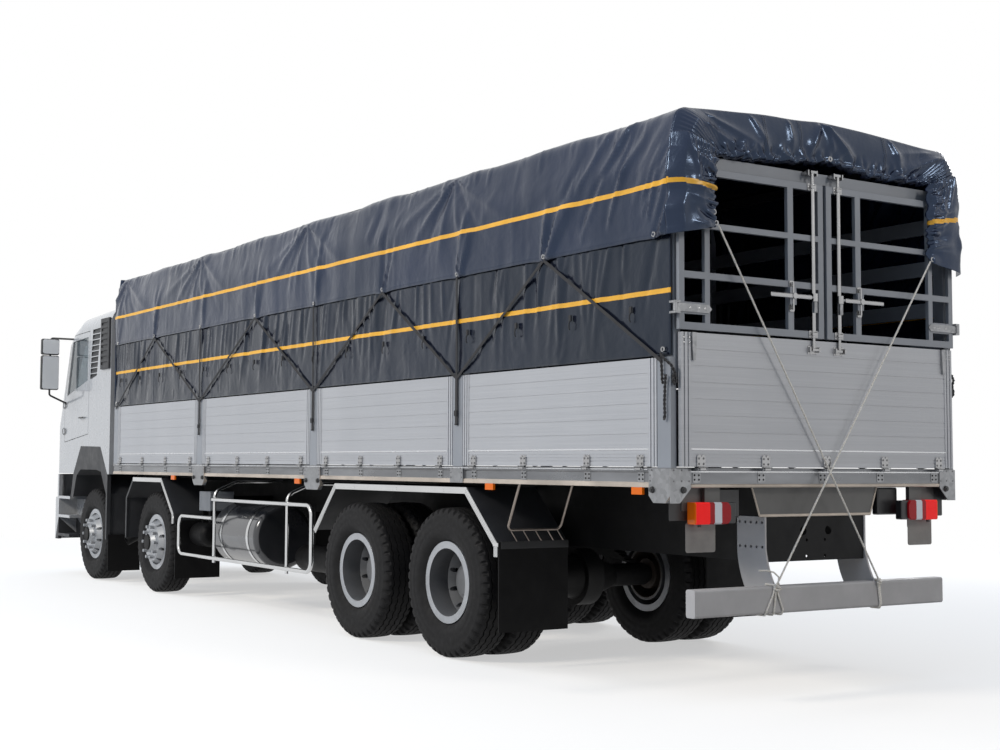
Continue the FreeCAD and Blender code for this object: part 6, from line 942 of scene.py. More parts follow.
def corner_flap(side, cover):
    """The cover's corner wrapped round onto the rear, from the cover's edge to a gathered free edge."""
    way = SIDES[side]
    free_y, low_free = FLAPS[side]
    edge = cover[::way, 0, :]
    edge = edge[:int(np.argmax(edge[:, 2] > 3.45))]
    across, down = np.meshgrid(np.linspace(0, 1, 60), np.linspace(0, 1, 90))
    edge_z = FLAP_TOP[0] + (FLAP_FOOT[side] - FLAP_TOP[0]) * down
    edge_y = np.interp(edge_z, edge[:, 2], np.abs(edge[:, 1]))
    free_z = FLAP_TOP[1] + (low_free - FLAP_TOP[1]) * down
    y = edge_y + 0.002 + (free_y - edge_y) * across
    z = edge_z + (free_z - edge_z) * across ** 1.15
    draw = np.random.default_rng(FLAP_SEEDS[side])
    out = np.zeros_like(z)
    for _ in range(44):
        level = draw.uniform(2.80, 3.30)
        lean = draw.uniform(-0.10, 0.55)
        reach = draw.uniform(0.08, 0.26)
        start = (free_y + draw.uniform(-0.01, 0.03), level)
        end = (start[0] + reach, level + lean * reach)
        out += ridge(y, z, start, end, draw.uniform(0.005, 0.009), draw.uniform(0.010, 0.026),
                     draw.uniform(0.006, 0.015) * (1 if draw.random() < 0.62 else -0.9))
    for k in range(10):
        start = (free_y + 0.03 + 0.024 * k, 3.36)
        end = (free_y + 0.01 + 0.018 * k, 3.02 + draw.uniform(-0.1, 0.1))
        out += ridge(y, z, start, end, 0.007, 0.014, draw.uniform(0.006, 0.014))
    out += 0.005 * smooth_noise(y, z, seed=3, size=0.16)
    out += 0.010 * np.sin(z * 105 + 3 * np.sin(z * 17)) * ramp(across, 0.28, 0.72)
    stand = np.sin(ramp(across, 0.22) * math.pi / 2)
    hug = FLAP_OUT * stand + 0.016 * np.sin(across * math.pi)
    turn_in = 0.028 * ramp(across, 0.07, 0.93)
    x = TARP_REAR - hug - np.clip(out, *FLAP_FOLDS) * ramp(across, 0.08) + turn_in
    y = y + 0.008 * np.sin(z * 46 + 1.0) * ramp(across, 0.2, 0.8)
    grid = np.stack([x, way * y, z], -1)
    centre_z = (z[:-1, :-1] + z[1:, 1:]) / 2
    centre_share = (across[:-1, :-1] + across[1:, 1:]) / 2
    at_edge, at_free = FLAP_STRIPE[side]
    stripe_z = UPPER_STRIPE_Z + at_edge + (at_free - at_edge) * centre_share
    marks = np.abs(centre_z - stripe_z) < STRIPE_HALF
    made = sheet_mesh(f"tarpaulin_corner_{side}", grid, ["tarp", "stripe"], marks)
    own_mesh(made)


def front_wall():
    """The cover's closed front end."""
    across, up = np.meshgrid(np.linspace(-1, 1, 110), np.linspace(0, 1, 60))
    y = across * np.interp(up, [0, 0.74, 1.0], [SKIRT_Y, CURTAIN_Y, EAVES[0] + 0.01])
    roof = RIDGE_Z - (RIDGE_Z - EAVES[1]) * np.abs(y) / EAVES[0]
    z = HEM_Z + (roof - HEM_Z) * up
    out = 0.008 * smooth_noise(y, z, seed=77, size=0.5) + 0.004 * np.sin(y * 21 + 2 * np.sin(z * 3))
    x = TARP_FRONT - 0.008 + np.clip(out, *FRONT_FOLDS) * (1 - np.abs(across) ** 8)
    made = sheet_mesh("tarpaulin_front", np.stack([x, y, z], -1), ["tarp"])


def flat_strap(kit, path, width, thick, out):
    """A flat webbing strap along points, its face turned towards out."""
    points = []
    for index, point in enumerate(path):
        along = (path[min(index + 1, len(path) - 1)] - path[max(index - 1, 0)]).normalized()
        across = along.cross(out).normalized() * width / 2
        lift = out * thick / 2
        points += [point - across - lift, point + across - lift, point + across + lift, point - across + lift]
    faces = [(3, 2, 1, 0), tuple(4 * (len(path) - 1) + k for k in range(4))]
    for index in range(len(path) - 1):
        faces += ring_faces(4 * index, 4 * index + 4, 4)
    kit.add(points, faces)


STRAP_ENDS = (0.075, 9.65)


def tarp_straps():
    """Black webbing on both sides: down from each eyelet at a post, slanting from each between posts."""
    feet = (STRAP_ENDS[0], *reversed(POSTS_AHEAD), STRAP_ENDS[1])
    for side, way in SIDES.items():
        kit = Kit()
        outward = Vector((0, way, 0))
        lines = []
        for eyelet in EYELETS_AHEAD:
            if eyelet in PULLED:
                lines += [(eyelet, max(foot for foot in feet if foot < eyelet)),
                          (eyelet, min(foot for foot in feet if foot > eyelet))]
            elif 1.0 < eyelet < 9.0:
                lines.append((eyelet, min(feet, key=lambda value: abs(value - eyelet))))
        for top, foot in lines:
            start = Vector((top, way * (CURTAIN_Y + 0.008), CURTAIN_EDGE - 0.004))
            end = Vector((foot, way * (SKIRT_Y + 0.012), HEM_Z - 0.03))
            flat_strap(kit, [start.lerp(end, share / 8) for share in range(9)], 0.022, 0.0035, outward)
        for foot in feet[1:-1]:
            tail = [Vector((foot, way * (SKIRT_Y + 0.012), HEM_Z - drop)) for drop in (0.02, 0.18, 0.36)]
            flat_strap(kit, tail, 0.030, 0.005, outward)
            kit.rod(tail[-1] - Vector((0.014, 0, 0)), tail[-1] + Vector((0.014, 0, 0)), 0.007, 8)
            kit.box((foot - 0.018, foot + 0.018), (way * (SKIRT_Y + 0.008), way * (SKIRT_Y + 0.024)),
                    (HEM_Z - 0.30, HEM_Z - 0.26), 0.003)
        piece(f"tarpaulin_straps_{side}", kit, "root", "strap")


REAR_EYELETS = ((-0.092, -0.004, 3.335), (-0.100, 0.968, 2.836), (-0.100, 0.985, 2.900),
                (-0.100, -0.945, 2.772))
EYELET_RADIUS = 0.013
HOOK_Z = 2.325
HOOKS_AHEAD = [0.35 + index * 0.61 for index in range(16)]
HOOK_LINE = ((0, 0), (0.012, 0.02), (0.012, 0.05), (0.004, 0.062))


def eyelets():
    """Plated rings along the curtain's edge and the skirt's lower corners, with a hook row between them."""
    kit = Kit()
    hooks = Kit()
    outline = ring(EYELET_RADIUS, 14)
    for way in SIDES.values():
        spots = [(ahead, CURTAIN_Y + 0.010, CURTAIN_EDGE + 0.020) for ahead in EYELETS_AHEAD]
        spots += [(ahead, SKIRT_Y + 0.008, HEM_Z + 0.035) for ahead in (0.06, 9.66)]
        for x, y, z in spots:
            kit.tube([(x + a, way * y, z + b) for a, b in outline], 0.005, 6, closed=True)
        for x in HOOKS_AHEAD:
            y = way * (SKIRT_Y + 0.010)
            hooks.box((x - 0.012, x + 0.012), (y - 0.004, y + 0.008), (HOOK_Z - 0.006, HOOK_Z + 0.034), 0.002)
            hooks.tube([(x, y + way * out, HOOK_Z - drop) for out, drop in HOOK_LINE], 0.004, 6)
    for x, y, z in REAR_EYELETS:
        kit.tube([(x, y + a, z + b) for a, b in outline], 0.005, 6, closed=True)
    piece("tarpaulin_eyelets", kit, "root", "steel")
    piece("tarpaulin_hooks", hooks, "root", "strap")


# Fittings of the load body

OUTWARD = (0, 1, 0)
REARWARD = (-1, 0, 0)
GATE_HINGES_AHEAD = ((9.493, 8.783, 8.088, 7.397), (6.915, 6.213, 5.541, 4.856), (4.379, 3.775, 3.164, 2.558),
                     (2.106, 1.496, 0.800, 0.276))
TAILGATE_HINGES_Y = (1.045, 0.525, 0.0, -0.525, -1.045)
HINGE_Z = 1.378
LEAF_FACE = 0.0078
SILL_LEAF_THICK = 0.0026


def bolts(kit, spots, normal, radius, rise, sides=10):
    """Domed bolt heads or rivets on a face."""
    for spot in spots:
        kit.dome(spot, normal, radius, rise, sides)


def gate_leaf():
    """A hinge's upper leaf: shouldered plate, four bolts, rolled eye and the bright lip over the pin."""
    kit = Kit()
    half, foot, top, cut = 0.031, 0.014, 0.084, 0.011
    right = [(half, foot), (half, top - cut), (half - cut, top), (0.008, top), (0.004, top - cut)]
    outline = [(-half, foot), *right, *((-a, b) for a, b in right[:0:-1])]
    kit.plate(outline, 1, 0.0052, LEAF_FACE)
    kit.rod((-0.0225, 0.016, 0), (0.0225, 0.016, 0), 0.0094, 14)
    kit.box((-0.037, 0.037), (0.0055, 0.0270), (0.0095, 0.0150), 0.0025)
    kit.mark = 1
    spots = [(along, LEAF_FACE, up) for along in (-0.018, 0.018) for up in (0.031, 0.063)]
    bolts(kit, spots, OUTWARD, 0.0075, 0.0045)
    return kit


def sill_leaf(out):
    """A hinge's lower leaf on the sill, with its two pairs of bolts."""
    kit = Kit()
    face = out + SILL_LEAF_THICK
    kit.plate([(-0.025, -0.080), (0.025, -0.080), (0.031, -0.070), (0.031, -0.020), (-0.031, -0.020),
               (-0.031, -0.070)], 1, out, face)
    kit.mark = 1
    spots = [(along, face, up) for along in (-0.017, 0.017) for up in (-0.036, -0.062)]
    bolts(kit, spots, OUTWARD, 0.0065, 0.0045)
    return kit


def hinges():
    """Every hinge of the side gates and the tailgate: the upper leaves move with the gates."""
    fixed = Kit()
    leaf = gate_leaf()
    looks = ["steel", "dull_zinc"]
    for side, way in SIDES.items():
        for number, group in enumerate(GATE_HINGES_AHEAD, 1):
            moving = Kit()
            for ahead in group:
                def on_side(x, y, z):
                    return ahead + x, way * (GATE_FACE_Y + y), HINGE_Z + z
                moving.copy(leaf, on_side)
                fixed.copy(sill_leaf(SILL_BAND_Y - GATE_FACE_Y), on_side)
            name = f"side_gate_{number}_{side}"
            piece(f"{name}_hinges", moving, name, looks)
    moving = Kit()
    for middle in TAILGATE_HINGES_Y:
        def on_rear(x, y, z):
            return TAILGATE_FACE - y, middle + x, HINGE_Z + z
        moving.copy(leaf, on_rear)
        fixed.copy(sill_leaf(TAILGATE_FACE), on_rear)
    piece("tailgate_hinges", moving, "tailgate", looks)
    piece("sill_hinge_leaves", fixed, "root", ["zinc", "black"])


# Each sill bracket's middle and width, and whether it has plugs
BRACKETS = ((7.151, 0.29, True), (4.620, 0.29, True), (2.320, 0.17, False), (0.095, 0.19, True))
RIVETS = ((1.371, 0.030), (1.340, 0.014), (1.307, 0.014))
RIVET = (0.0060, 0.0035, 8)
PLUG_Z = 1.255
CORNER_PLATE_X = -0.0065
CORNER_PLATE = ((1.2499, 1.3805), (1.095, 1.3805), (1.095, 1.262), (1.178, 1.178), (1.2499, 1.178))
CORNER_RIVETS = ((1.164, 1.371), (1.107, 1.371), (1.165, 1.307), (1.107, 1.307), (1.225, 1.371),
                 (1.225, 1.307))


def plug(kit, base, out):
    """A black plug: a shallow cone with a nub on it."""
    base, out = Vector(base), Vector(out)
    kit.rod(base, base + out * 0.012, 0.021, 20, end_radius=0.017)
    kit.rod(base + out * 0.012, base + out * 0.016, 0.010, 12)


def sill_fixings():
    """Rivets and black plugs on the sill brackets, and the bracket's other half round each rear corner."""
    kit = Kit()
    for centre, width, plugs in BRACKETS:
        for edge in (-1, 1):
            spot = centre + edge * width / 2
            if spot < 0.1:
                continue
            kit.mark = 1
            bolts(kit, [(spot - edge * inset, HALF_WIDTH, level) for level, inset in RIVETS], OUTWARD, *RIVET)
            if plugs:
                kit.mark = 2
                plug(kit, (spot - edge * 0.034, HALF_WIDTH, PLUG_Z), OUTWARD)
    kit.mark = 0
    kit.plate(CORNER_PLATE, 0, CORNER_PLATE_X, -0.0008)
    kit.mark = 1
    bolts(kit, [(CORNER_PLATE_X, y, z) for y, z in CORNER_RIVETS], REARWARD, *RIVET)
    kit.mark = 2
    plug(kit, (CORNER_PLATE_X, 1.153, PLUG_Z), REARWARD)
    piece("sill_fixings", kit.mirrored(), "root", ["zinc", "dull_zinc", "plastic"])


def rear_trim():
    """The rear beam's beige lower lip and bright upper edge, and the lip round the grey plate; the bright
    strips are partly painted highlight.
    """
    kit = Kit()
    beam = (-1.093, 1.093)
    kit.box((-0.011, 0.004), beam, (1.268, 1.290), 0.006)
    kit.box((0.050, 0.058), (-0.492, 0.492), (1.086, 1.104), 0.004)
    for way in SIDES.values():
        kit.rod((0.054, way * 0.488, 1.095), (0.054, way * 0.550, 1.268), 0.006, 8)
    # Pale strips along the beam's and the sill's top edges: partly painted highlight.
    kit.mark = 1
    kit.box((-0.003, 0.003), beam, (1.358, 1.368), 0.001)
    for way in SIDES.values():
        edge = (way * (HALF_WIDTH - 0.002), way * (HALF_WIDTH + 0.0012))
        kit.box((0.20, 9.62), edge, (1.3720, 1.3775), 0.0005)
    piece("rear_beam_trim", kit, "root", ["lip", "bright"])


# Each band of a tail lamp: its look, and its outer and inner distance from the truck's middle
LENS_BANDS = (("amber", 1.0655, 1.0585), ("red", 1.0585, 0.948), ("red_dark", 0.948, 0.912),
              ("clear", 0.912, 0.855), ("red_dark", 0.855, 0.784))
LENS_Z = (1.0525, 1.1825)


def rounded_outline(first, second, corner, corners=(0, 1, 2, 3)):
    """A rectangle's outline with some corners rounded. They count round from the one at both low ends."""
    points = []
    spots = ((first[0], second[0], 180), (first[1], second[0], 270), (first[1], second[1], 0),
             (first[0], second[1], 90))
    for number, (a, b, turn) in enumerate(spots):
        if number not in corners:
            points.append((a, b))
            continue
        middle = (a + corner * (1 if a == first[0] else -1), b + corner * (1 if b == second[0] else -1))
        angles = [math.radians(turn + 15 * step) for step in range(7)]
        points += [(middle[0] + corner * math.cos(angle), middle[1] + corner * math.sin(angle))
                   for angle in angles]
    return points


def tail_lamps():
    """Banded lenses round the lamp bodies, their back plates, the blank plate and the stub below each lamp."""
    kit = Kit()
    last = len(LENS_BANDS) - 1
    for mark, (_, outer, inner) in enumerate(LENS_BANDS):
        kit.mark = mark
        ends = {0: (1, 2), last: (0, 3)}.get(mark, ())
        bend = 0.030 if mark else 0.003
        raised_outer = outer - 0.0035 if mark == 0 else outer
        kit.plate(rounded_outline((inner, outer), LENS_Z, bend, ends), 0, -0.0065, 0.058)
        raised_z = (LENS_Z[0] + 0.007, LENS_Z[1] - 0.007)
        kit.plate(rounded_outline((inner, raised_outer), raised_z, bend, ends), 0, -0.0125, -0.0065)
    plates = (((0.846, 1.110), (1.130, 1.2665), 0.012, (0, 1), 0.0590, 0.0635),
              ((0.848, 1.081), (0.884, 1.062), 0.016, (0, 1, 2, 3), 0.0560, 0.0588),
              ((0.846, 1.200), (1.0735, 1.2665), 0.010, (0, 1), 0.0640, 0.0680))
    for mark, (across, up, corner, corners, rear, front) in enumerate(plates, last + 1):
        kit.mark = mark
        kit.plate(rounded_outline(across, up, corner, corners), 0, rear, front)
    kit.box((0.064, 0.110), (0.90, 0.96), (1.00, 1.268), 0.004)
    kit.rod((0.020, 1.005, 1.053), (0.020, 1.005, 1.036), 0.012, 12)
    kit.box((0.096, 0.150), (0.610, 0.800), (1.085, 1.262), 0.008)
    looks = [look for look, _, _ in LENS_BANDS] + ["rear_plate", "plate", "plastic"]
    piece("tail_lamp_lenses", kit.mirrored(), "root", looks)


LOCK_ROD_Y = 0.114
LOCK_ROD_X = -0.0485
# Each stretch of a lock rod: low end, high end, radius and number of sides
LOCK_ROD_RUNS = ((2.199, 3.170, 0.0145, 18), (2.118, 2.199, 0.0105, 14), (3.170, 3.252, 0.0105, 14))
DOOR_FACE = -0.0425
HANDLE_Y = 0.300


def door_fittings():
    """Polished lock rods with cams, guides and keepers, the handles on their pivots, and strap bolts."""
    header = Kit()
    gate = Kit()
    for side, way in SIDES.items():
        kit = Kit()
        y = way * LOCK_ROD_Y
        for low, high, radius, sides in LOCK_ROD_RUNS:
            kit.rod((LOCK_ROD_X, y, low), (LOCK_ROD_X, y, high), radius, sides)
        for level in (2.124, 3.246):
            kit.box((LOCK_ROD_X - 0.013, LOCK_ROD_X + 0.011), (y - 0.034 * way, y + 0.018 * way),
                    (level - 0.009, level + 0.009), 0.003)
        for level in (2.222, 3.150):
            outline = rounded_outline((y - 0.038, y + 0.038), (level - 0.022, level + 0.022), 0.008)
            kit.plate(outline, 0, -0.0470, DOOR_FACE)
            kit.box((-0.0675, -0.0430), (y - 0.021, y + 0.021), (level - 0.013, level + 0.013), 0.005)
            bolts(kit, [(-0.0470, y + step, level) for step in (-0.029, 0.029)], REARWARD, 0.0065, 0.005, 8)
        kit.box((-0.0770, -0.0640), (way * 0.150, way * 0.500), (2.436, 2.462), 0.005)
        kit.rod((-0.060, y, 2.425), (-0.060, y, 2.475), 0.021, 16)
        pivot = way * HANDLE_Y
        backing = rounded_outline((pivot - 0.021, pivot + 0.021), (2.352, 2.545), 0.010)
        kit.plate(backing, 0, -0.0500, DOOR_FACE)
        kit.rod((-0.050, pivot, 2.449), (-0.0810, pivot, 2.449), 0.019, 16)
        kit.rod((-0.062, pivot, 2.535), (-0.062, pivot, 2.365), 0.0075, 10)
        heads = [(-0.050, pivot, level) for level in (2.368, 2.395, 2.505, 2.530)]
        bolts(kit, heads, REARWARD, 0.008, 0.006, 8)
        bolts(kit, [(-0.049, way * spot, 2.325) for spot in (1.015, 1.060, 1.130)], REARWARD, 0.0085, 0.006)
        piece(f"rear_door_{side}_fittings", kit, f"rear_door_{side}", "steel")
        header.box((-0.0340, 0.0), (y - 0.042, y + 0.042), (3.228, 3.252), 0.003)
        gate.box((-0.0400, -0.0362), (y - 0.044, y + 0.044), (2.098, 2.150), 0.001)
        for edge in (-1, 1):
            header.box((-0.0600, -0.0300), (y + edge * 0.042, y + edge * 0.032), (3.222, 3.258), 0.003)
            gate.box((-0.0640, -0.0380), (y + edge * 0.044, y + edge * 0.034), (2.108, 2.142), 0.003)
        bolts(gate, [(-0.0400, y + step, 2.106) for step in (-0.025, 0.025)], REARWARD, 0.0065, 0.005, 8)
        strap = [(-0.0395, way * 1.150 + step, level) for level in (2.150, 2.120) for step in (-0.022, 0.022)]
        bolts(gate, strap, REARWARD, 0.0075, 0.006)
    piece("header_keepers", header, "root", "steel")
    piece("tailgate_keepers", gate, "tailgate", "steel")


REAR_FENDER_LINE = ((1.800, 0.765), (1.800, 0.856), (2.200, 1.236), (4.215, 1.236), (4.590, 0.845))
SECOND_FENDER_LINE = ((7.823, 0.767), (7.823, 0.874), (8.185, 1.236), (9.060, 1.236))
FENDER_OUTER_Y = 1.238
STRIP_FACE = 0.0042
RIB_FACE = 0.0068
SKIN_GAP = 0.0003


def offset_line(line, depth):
    """A line in the X-Z plane moved towards its inner side, with its corners mitred."""
    points = [Vector((x, 0, z)) for x, z in line]
    moved = []
    for index, point in enumerate(points):
        before = points[max(index - 1, 0)]
        after = points[min(index + 1, len(points) - 1)]
        first = (point - before if index else after - point).normalized()
        last = (after - point if index < len(points) - 1 else point - before).normalized()
        normals = [Vector((way.z, 0, -way.x)) for way in (first, last)]
        middle = (normals[0] + normals[1]).normalized()
        spot = point + middle * depth / max(0.4, middle.dot(normals[0]))
        moved.append((spot.x, spot.z))
    return moved


def edge_strip(line, width, ribs, face):
    """A mudguard's edge strip with raised ribs along it, each given by its offset and width."""
    kit = Kit()
    for offset, depth, out in ((0.0, width, STRIP_FACE), *((*rib, RIB_FACE) for rib in ribs)):
        outer = offset_line(line, offset)
        inner = offset_line(line, offset + depth)
        for outline in zip(outer, outer[1:], inner[1:], inner):
            kit.plate(outline, 1, face + SKIN_GAP, face + out)
    return kit


def fender_trim():
    """The rear mudguard's polished, ribbed edge strip, with a bolt at each stay and its tail piece."""
    kit = edge_strip(REAR_FENDER_LINE, 0.046, ((0.006, 0.010), (0.020, 0.010), (0.034, 0.008)), FENDER_OUTER_Y)
    stays = [(x, FENDER_OUTER_Y + STRIP_FACE, 1.212) for x in (2.506, 3.191, 3.876)]
    bolts(kit, stays, OUTWARD, 0.010, 0.006)
    kit.box((1.792, 1.850), (FENDER_OUTER_Y + SKIN_GAP, FENDER_OUTER_Y + 0.009), (0.835, 0.862), 0.002)
    piece("rear_fender_strip", kit.mirrored(), "root", "polished")


def node_points(name):
    """A CAD node's points in the truck's own numbers."""
    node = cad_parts[name]
    matrix = node.matrix_world
    return np.array([matrix @ vertex.co for vertex in node.data.vertices]) - np.array([BODY_REAR_X, 0.0, 0.0])


def second_fender_strip():
    """The polished edge of the mudguard over the second axle."""
    points = node_points("fenders")
    near = points[(points[:, 0] > 8.0) & (points[:, 0] < 9.2) & (points[:, 2] > 1.0)]
    kit = edge_strip(SECOND_FENDER_LINE, 0.044, ((0.006, 0.010), (0.028, 0.010)), float(near[:, 1].max()))
    piece("second_fender_strip", kit.mirrored(), "root", "polished")


MIRROR_HEIGHTS = ((2.318, 2.728), (2.760, 2.940))


def mirror_glasses():
    """The faces of the door mirrors, which look back along the truck, in a pale grey that paints their
    reflection.
    """
    for side, way in SIDES.items():
        points = node_points(f"cab_door_{side}")
        housing = points[(np.abs(points[:, 1]) > 1.36) & (points[:, 2] > 2.28) & (points[:, 2] < 3.0)]
        rear_x = float(housing[:, 0].min())
        kit = Kit()
        for heights in MIRROR_HEIGHTS:
            outline = rounded_outline(sorted((way * 1.357, way * 1.560)), heights, 0.022)
            kit.plate(outline, 0, rear_x - 0.0035, rear_x - SKIN_GAP)
        piece(f"mirror_glass_{side}", kit, f"cab_door_{side}", "mirror")


def flap_bolts():
    """Bolts along each rear flap's strip and on the stay behind it."""
    kit = Kit()
    bolts(kit, [(1.788, y, 0.846) for y in (0.715, 0.94, 1.165)], REARWARD, 0.009, 0.006, 8)
    bolts(kit, [(0.30, 0.62, z) for z in (1.095, 1.07)], OUTWARD, 0.008, 0.005, 8)
    piece("flap_bolts", kit.mirrored(), "root", "dull_zinc")


# White ropes from the cover's rear corners to the underrun bar

def twisted_rope(kit, points, radius, pitch=0.045, strands=3):
    """A laid rope: strands wound round the line of points."""
    path = np.array(points, float)
    reached = np.concatenate([[0.0], np.cumsum(np.linalg.norm(np.diff(path, axis=0), axis=1))])
    count = max(8, int(reached[-1] / pitch * 6))
    stations = np.linspace(0, reached[-1], count)
    line = [Vector(spot) for spot in zip(*(np.interp(stations, reached, path[:, n]) for n in range(3)))]
    side = (line[1] - line[0]).orthogonal().normalized()
    frames = []
    for index, point in enumerate(line):
        along = (line[min(index + 1, count - 1)] - line[max(index - 1, 0)]).normalized()
        side = (side - along * side.dot(along)).normalized()
        frames.append((point, side.copy(), along.cross(side)))
    for strand in range(strands):
        start = 2 * math.pi * strand / strands
        wound = []
        for (point, out, up), station in zip(frames, stations):
            turn = start + 2 * math.pi * station / pitch
            wound.append(point + (out * math.cos(turn) + up * math.sin(turn)) * radius * 0.5)
        kit.tube(wound, radius * 0.56, 5)


BAR = {"low": 0.506, "high": 0.672, "rear": -0.025, "front": 0.055}
ROPE_RADIUS = 0.0065
ROPE_STARTS = ((-0.104, 0.953, 2.820), (-0.104, -0.918, 2.755))
ROPE_FEET = (-0.455, 0.440)
ROPE_TAIL = ((-0.045, 0, 0.670), (-0.052, -0.006, 0.727), (-0.050, 0.036, 0.758), (-0.048, 0.09, 0.770),
             (-0.047, 0.155, 0.772))
BUNGEES = (((0.064, 1.262, 2.060), (0.020, 1.268, 2.020), (-0.012, 1.245, 1.985), (-0.018, 1.222, 1.940),
            (-0.018, 1.214, 1.890), (-0.016, 1.226, 1.872), (-0.016, 1.238, 1.900), (-0.014, 1.228, 1.935)),
           ((0.060, 1.262, 2.055), (0.058, 1.258, 1.960), (0.056, 1.257, 1.895), (0.046, 1.257, 1.878)),
           ((0.020, 1.262, 1.930), (0.030, 1.258, 1.860), (0.036, 1.257, 1.780), (0.034, 1.257, 1.700),
            (0.040, 1.257, 1.664)))


def bar_turn(y_front, y_back, start=0.0):
    """One turn of rope round the underrun bar, from its top edge down the rear face and back."""
    gap = ROPE_RADIUS + 0.001
    rear, front = BAR["rear"] - gap, BAR["front"] + gap
    low, high = BAR["low"] - gap, BAR["high"] + gap
    knot = (rear + 0.004, y_front + start, high - 0.002)
    behind = [(rear, y_front * 0.75 + y_back * 0.25, BAR["high"] - 0.05), (rear, y_back, BAR["low"] + 0.02)]
    below = [(rear + 0.014, y_back, low), (front - 0.014, y_back, low), (front, y_back, BAR["low"] + 0.02)]
    ahead = (front, y_front, BAR["high"] - 0.02)
    above = [(front - 0.014, y_front, high), (rear + 0.014, y_front, high)]
    return [knot, *behind, *below, ahead, *above, knot]


def ropes():
    """Two taut ropes that cross behind the truck, and their turns, loops and knots on the underrun bar."""
    kit = Kit()
    for start, foot in zip(ROPE_STARTS, ROPE_FEET):
        twisted_rope(kit, [start, (BAR["rear"] - 0.014, foot, BAR["high"] + 0.008)], ROPE_RADIUS)
    left, right = ROPE_FEET
    for turn in (bar_turn(left, left - 0.018), bar_turn(left - 0.012, left - 0.028),
                 bar_turn(right, right + 0.018), bar_turn(right + 0.006, right + 0.082),
                 bar_turn(right - 0.004, right - 0.055, start=0.004)):
        twisted_rope(kit, turn, ROPE_RADIUS)
    for foot, size in ((right, 1.0), (left, 0.7)):
        knot = [(BAR["rear"] - 0.020 - 0.010 * math.cos(turn) * size, foot + 0.017 * size * math.sin(2 * turn),
                 BAR["high"] - 0.002 + 0.020 * size * math.sin(turn))
                for turn in (2 * math.pi * k / 20 for k in range(21))]
        twisted_rope(kit, knot, ROPE_RADIUS, pitch=0.03)
    tail = [(x, right + y, z) for x, y, z in ROPE_TAIL]
    twisted_rope(kit, tail, ROPE_RADIUS * 0.85)
    piece("white_ropes", kit, "root", "rope")


def bungees():
    """Black twisted elastic cords that hang from the cover's lower rear corners onto the posts."""
    kit = Kit()
    for way in SIDES.values():
        for run in BUNGEES:
            twisted_rope(kit, [(x, way * y, z) for x, y, z in run], 0.0095, pitch=0.05, strands=2)
    piece("corner_bungees", kit, "root", "strap")


# Tyres with zigzag grooves

ZIGZAGS = 44
GROOVES = (-0.076, -0.026, 0.026, 0.076)
GROOVE_HALF = 0.0055
GROOVE_DEPTH = 0.013
ZIGZAG_REACH = 0.0060
SHOULDER_Y = 0.112
CROWN_DROP = 0.0045
NOTCH_DEPTH = 0.018
# Turned a little, so that twins and axles don't show the same notches side by side
TWIN_TURN = 0.04
AXLE_TURN = 0.3
# From the shoulder to the bead: distance from the tyre's middle, radius, and how much of a notch reaches there
SIDEWALL = ((0.112, 0.5380, 1.0), (0.1210, 0.5330, 1.0), (0.1345, 0.5165, 1.0), (0.1375, 0.500, 0.45),
            (0.1398, 0.490, 0.0), (0.1418, 0.478, 0.0), (0.1405, 0.470, 0.0), (0.1455, 0.440, 0.0),
            (0.1465, 0.412, 0.0), (0.1448, 0.404, 0.0), (0.1462, 0.396, 0.0), (0.1430, 0.362, 0.0),
            (0.1395, 0.350, 0.0), (0.1320, 0.334, 0.0), (0.1190, 0.316, 0.0), (0.1060, 0.303, 0.0),
            (0.1018, 0.298, 0.0), (0.1018, 0.257, 0.0))
GROOVE_PROFILE = ((-1, 0.0), (-0.72, 1.0), (0.72, 1.0), (1, 0.0))


def tyre_mesh():
    """One tyre about its own centre: ribs, zigzag grooves, notched shoulders and moulded sidewall rings."""
    tread = [(groove + edge * GROOVE_HALF, depth, 1.0) for groove in GROOVES for edge, depth in GROOVE_PROFILE]
    tread = [(-0.100, 0.0, 0.0), *tread, (0.100, 0.0, 0.0)]
    steps = 6 * ZIGZAGS
    rings = []
    for index in range(steps):
        zig = ZIGZAG_REACH * (abs((index % 6) / 3 - 1) * 2 - 1)
        notch = NOTCH_DEPTH if index % 6 in (2, 3) else 0.0
        wall = [(y, radius - notch * share) for y, radius, share in SIDEWALL]
        crown = [(y + zig * swings, TYRE_RADIUS - CROWN_DROP * (y / SHOULDER_Y) ** 2 - GROOVE_DEPTH * depth)
                 for y, depth, swings in tread]
        rings.append([(-y, radius) for y, radius in reversed(wall)] + crown + wall)
    turns = 2 * math.pi * np.arange(steps)[:, None] / steps
    y, radius = np.moveaxis(np.array(rings), -1, 0)
    points = np.stack([radius * np.cos(turns), y, radius * np.sin(turns)], -1)
    index = np.arange(y.size).reshape(y.shape)
    ahead = np.roll(index, -1, axis=0)
    faces = np.stack([index, np.roll(index, -1, axis=1), np.roll(ahead, -1, axis=1), ahead], -1).reshape(-1, 4)
    mesh = new_mesh("tyre_form", points.reshape(-1, 3), faces.tolist(), ["rubber"])
    fix_normals(mesh, TYRE_CREASE)
    return mesh


def tyres():
    """Puts the detailed tyre in the place of each plain one."""
    form = tyre_mesh()
    for (number, ahead), (side, way) in product(AXLES.items(), SIDES.items()):
        front = number in (1, 2)
        middle, many = (FRONT_WHEEL_Y, "") if front else (REAR_TRACK_HALF, "s")
        for place, step in (("", 0),) if front else (("outer_", 1), ("inner_", -1)):
            made = linked(f"tread_tyre_{number}_{place}{side}", form)
            made.location = placed(ahead, way * (middle + step * DUAL_SPACING / 2), TYRE_RADIUS)
            if step:
                made.rotation_euler = (0, TWIN_TURN * step + AXLE_TURN * number, 0)
            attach(made, f"wheel{many}_{number}_{side}")
            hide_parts(f"tyre{many}_{number}_{side}")


# Camera, light and floor

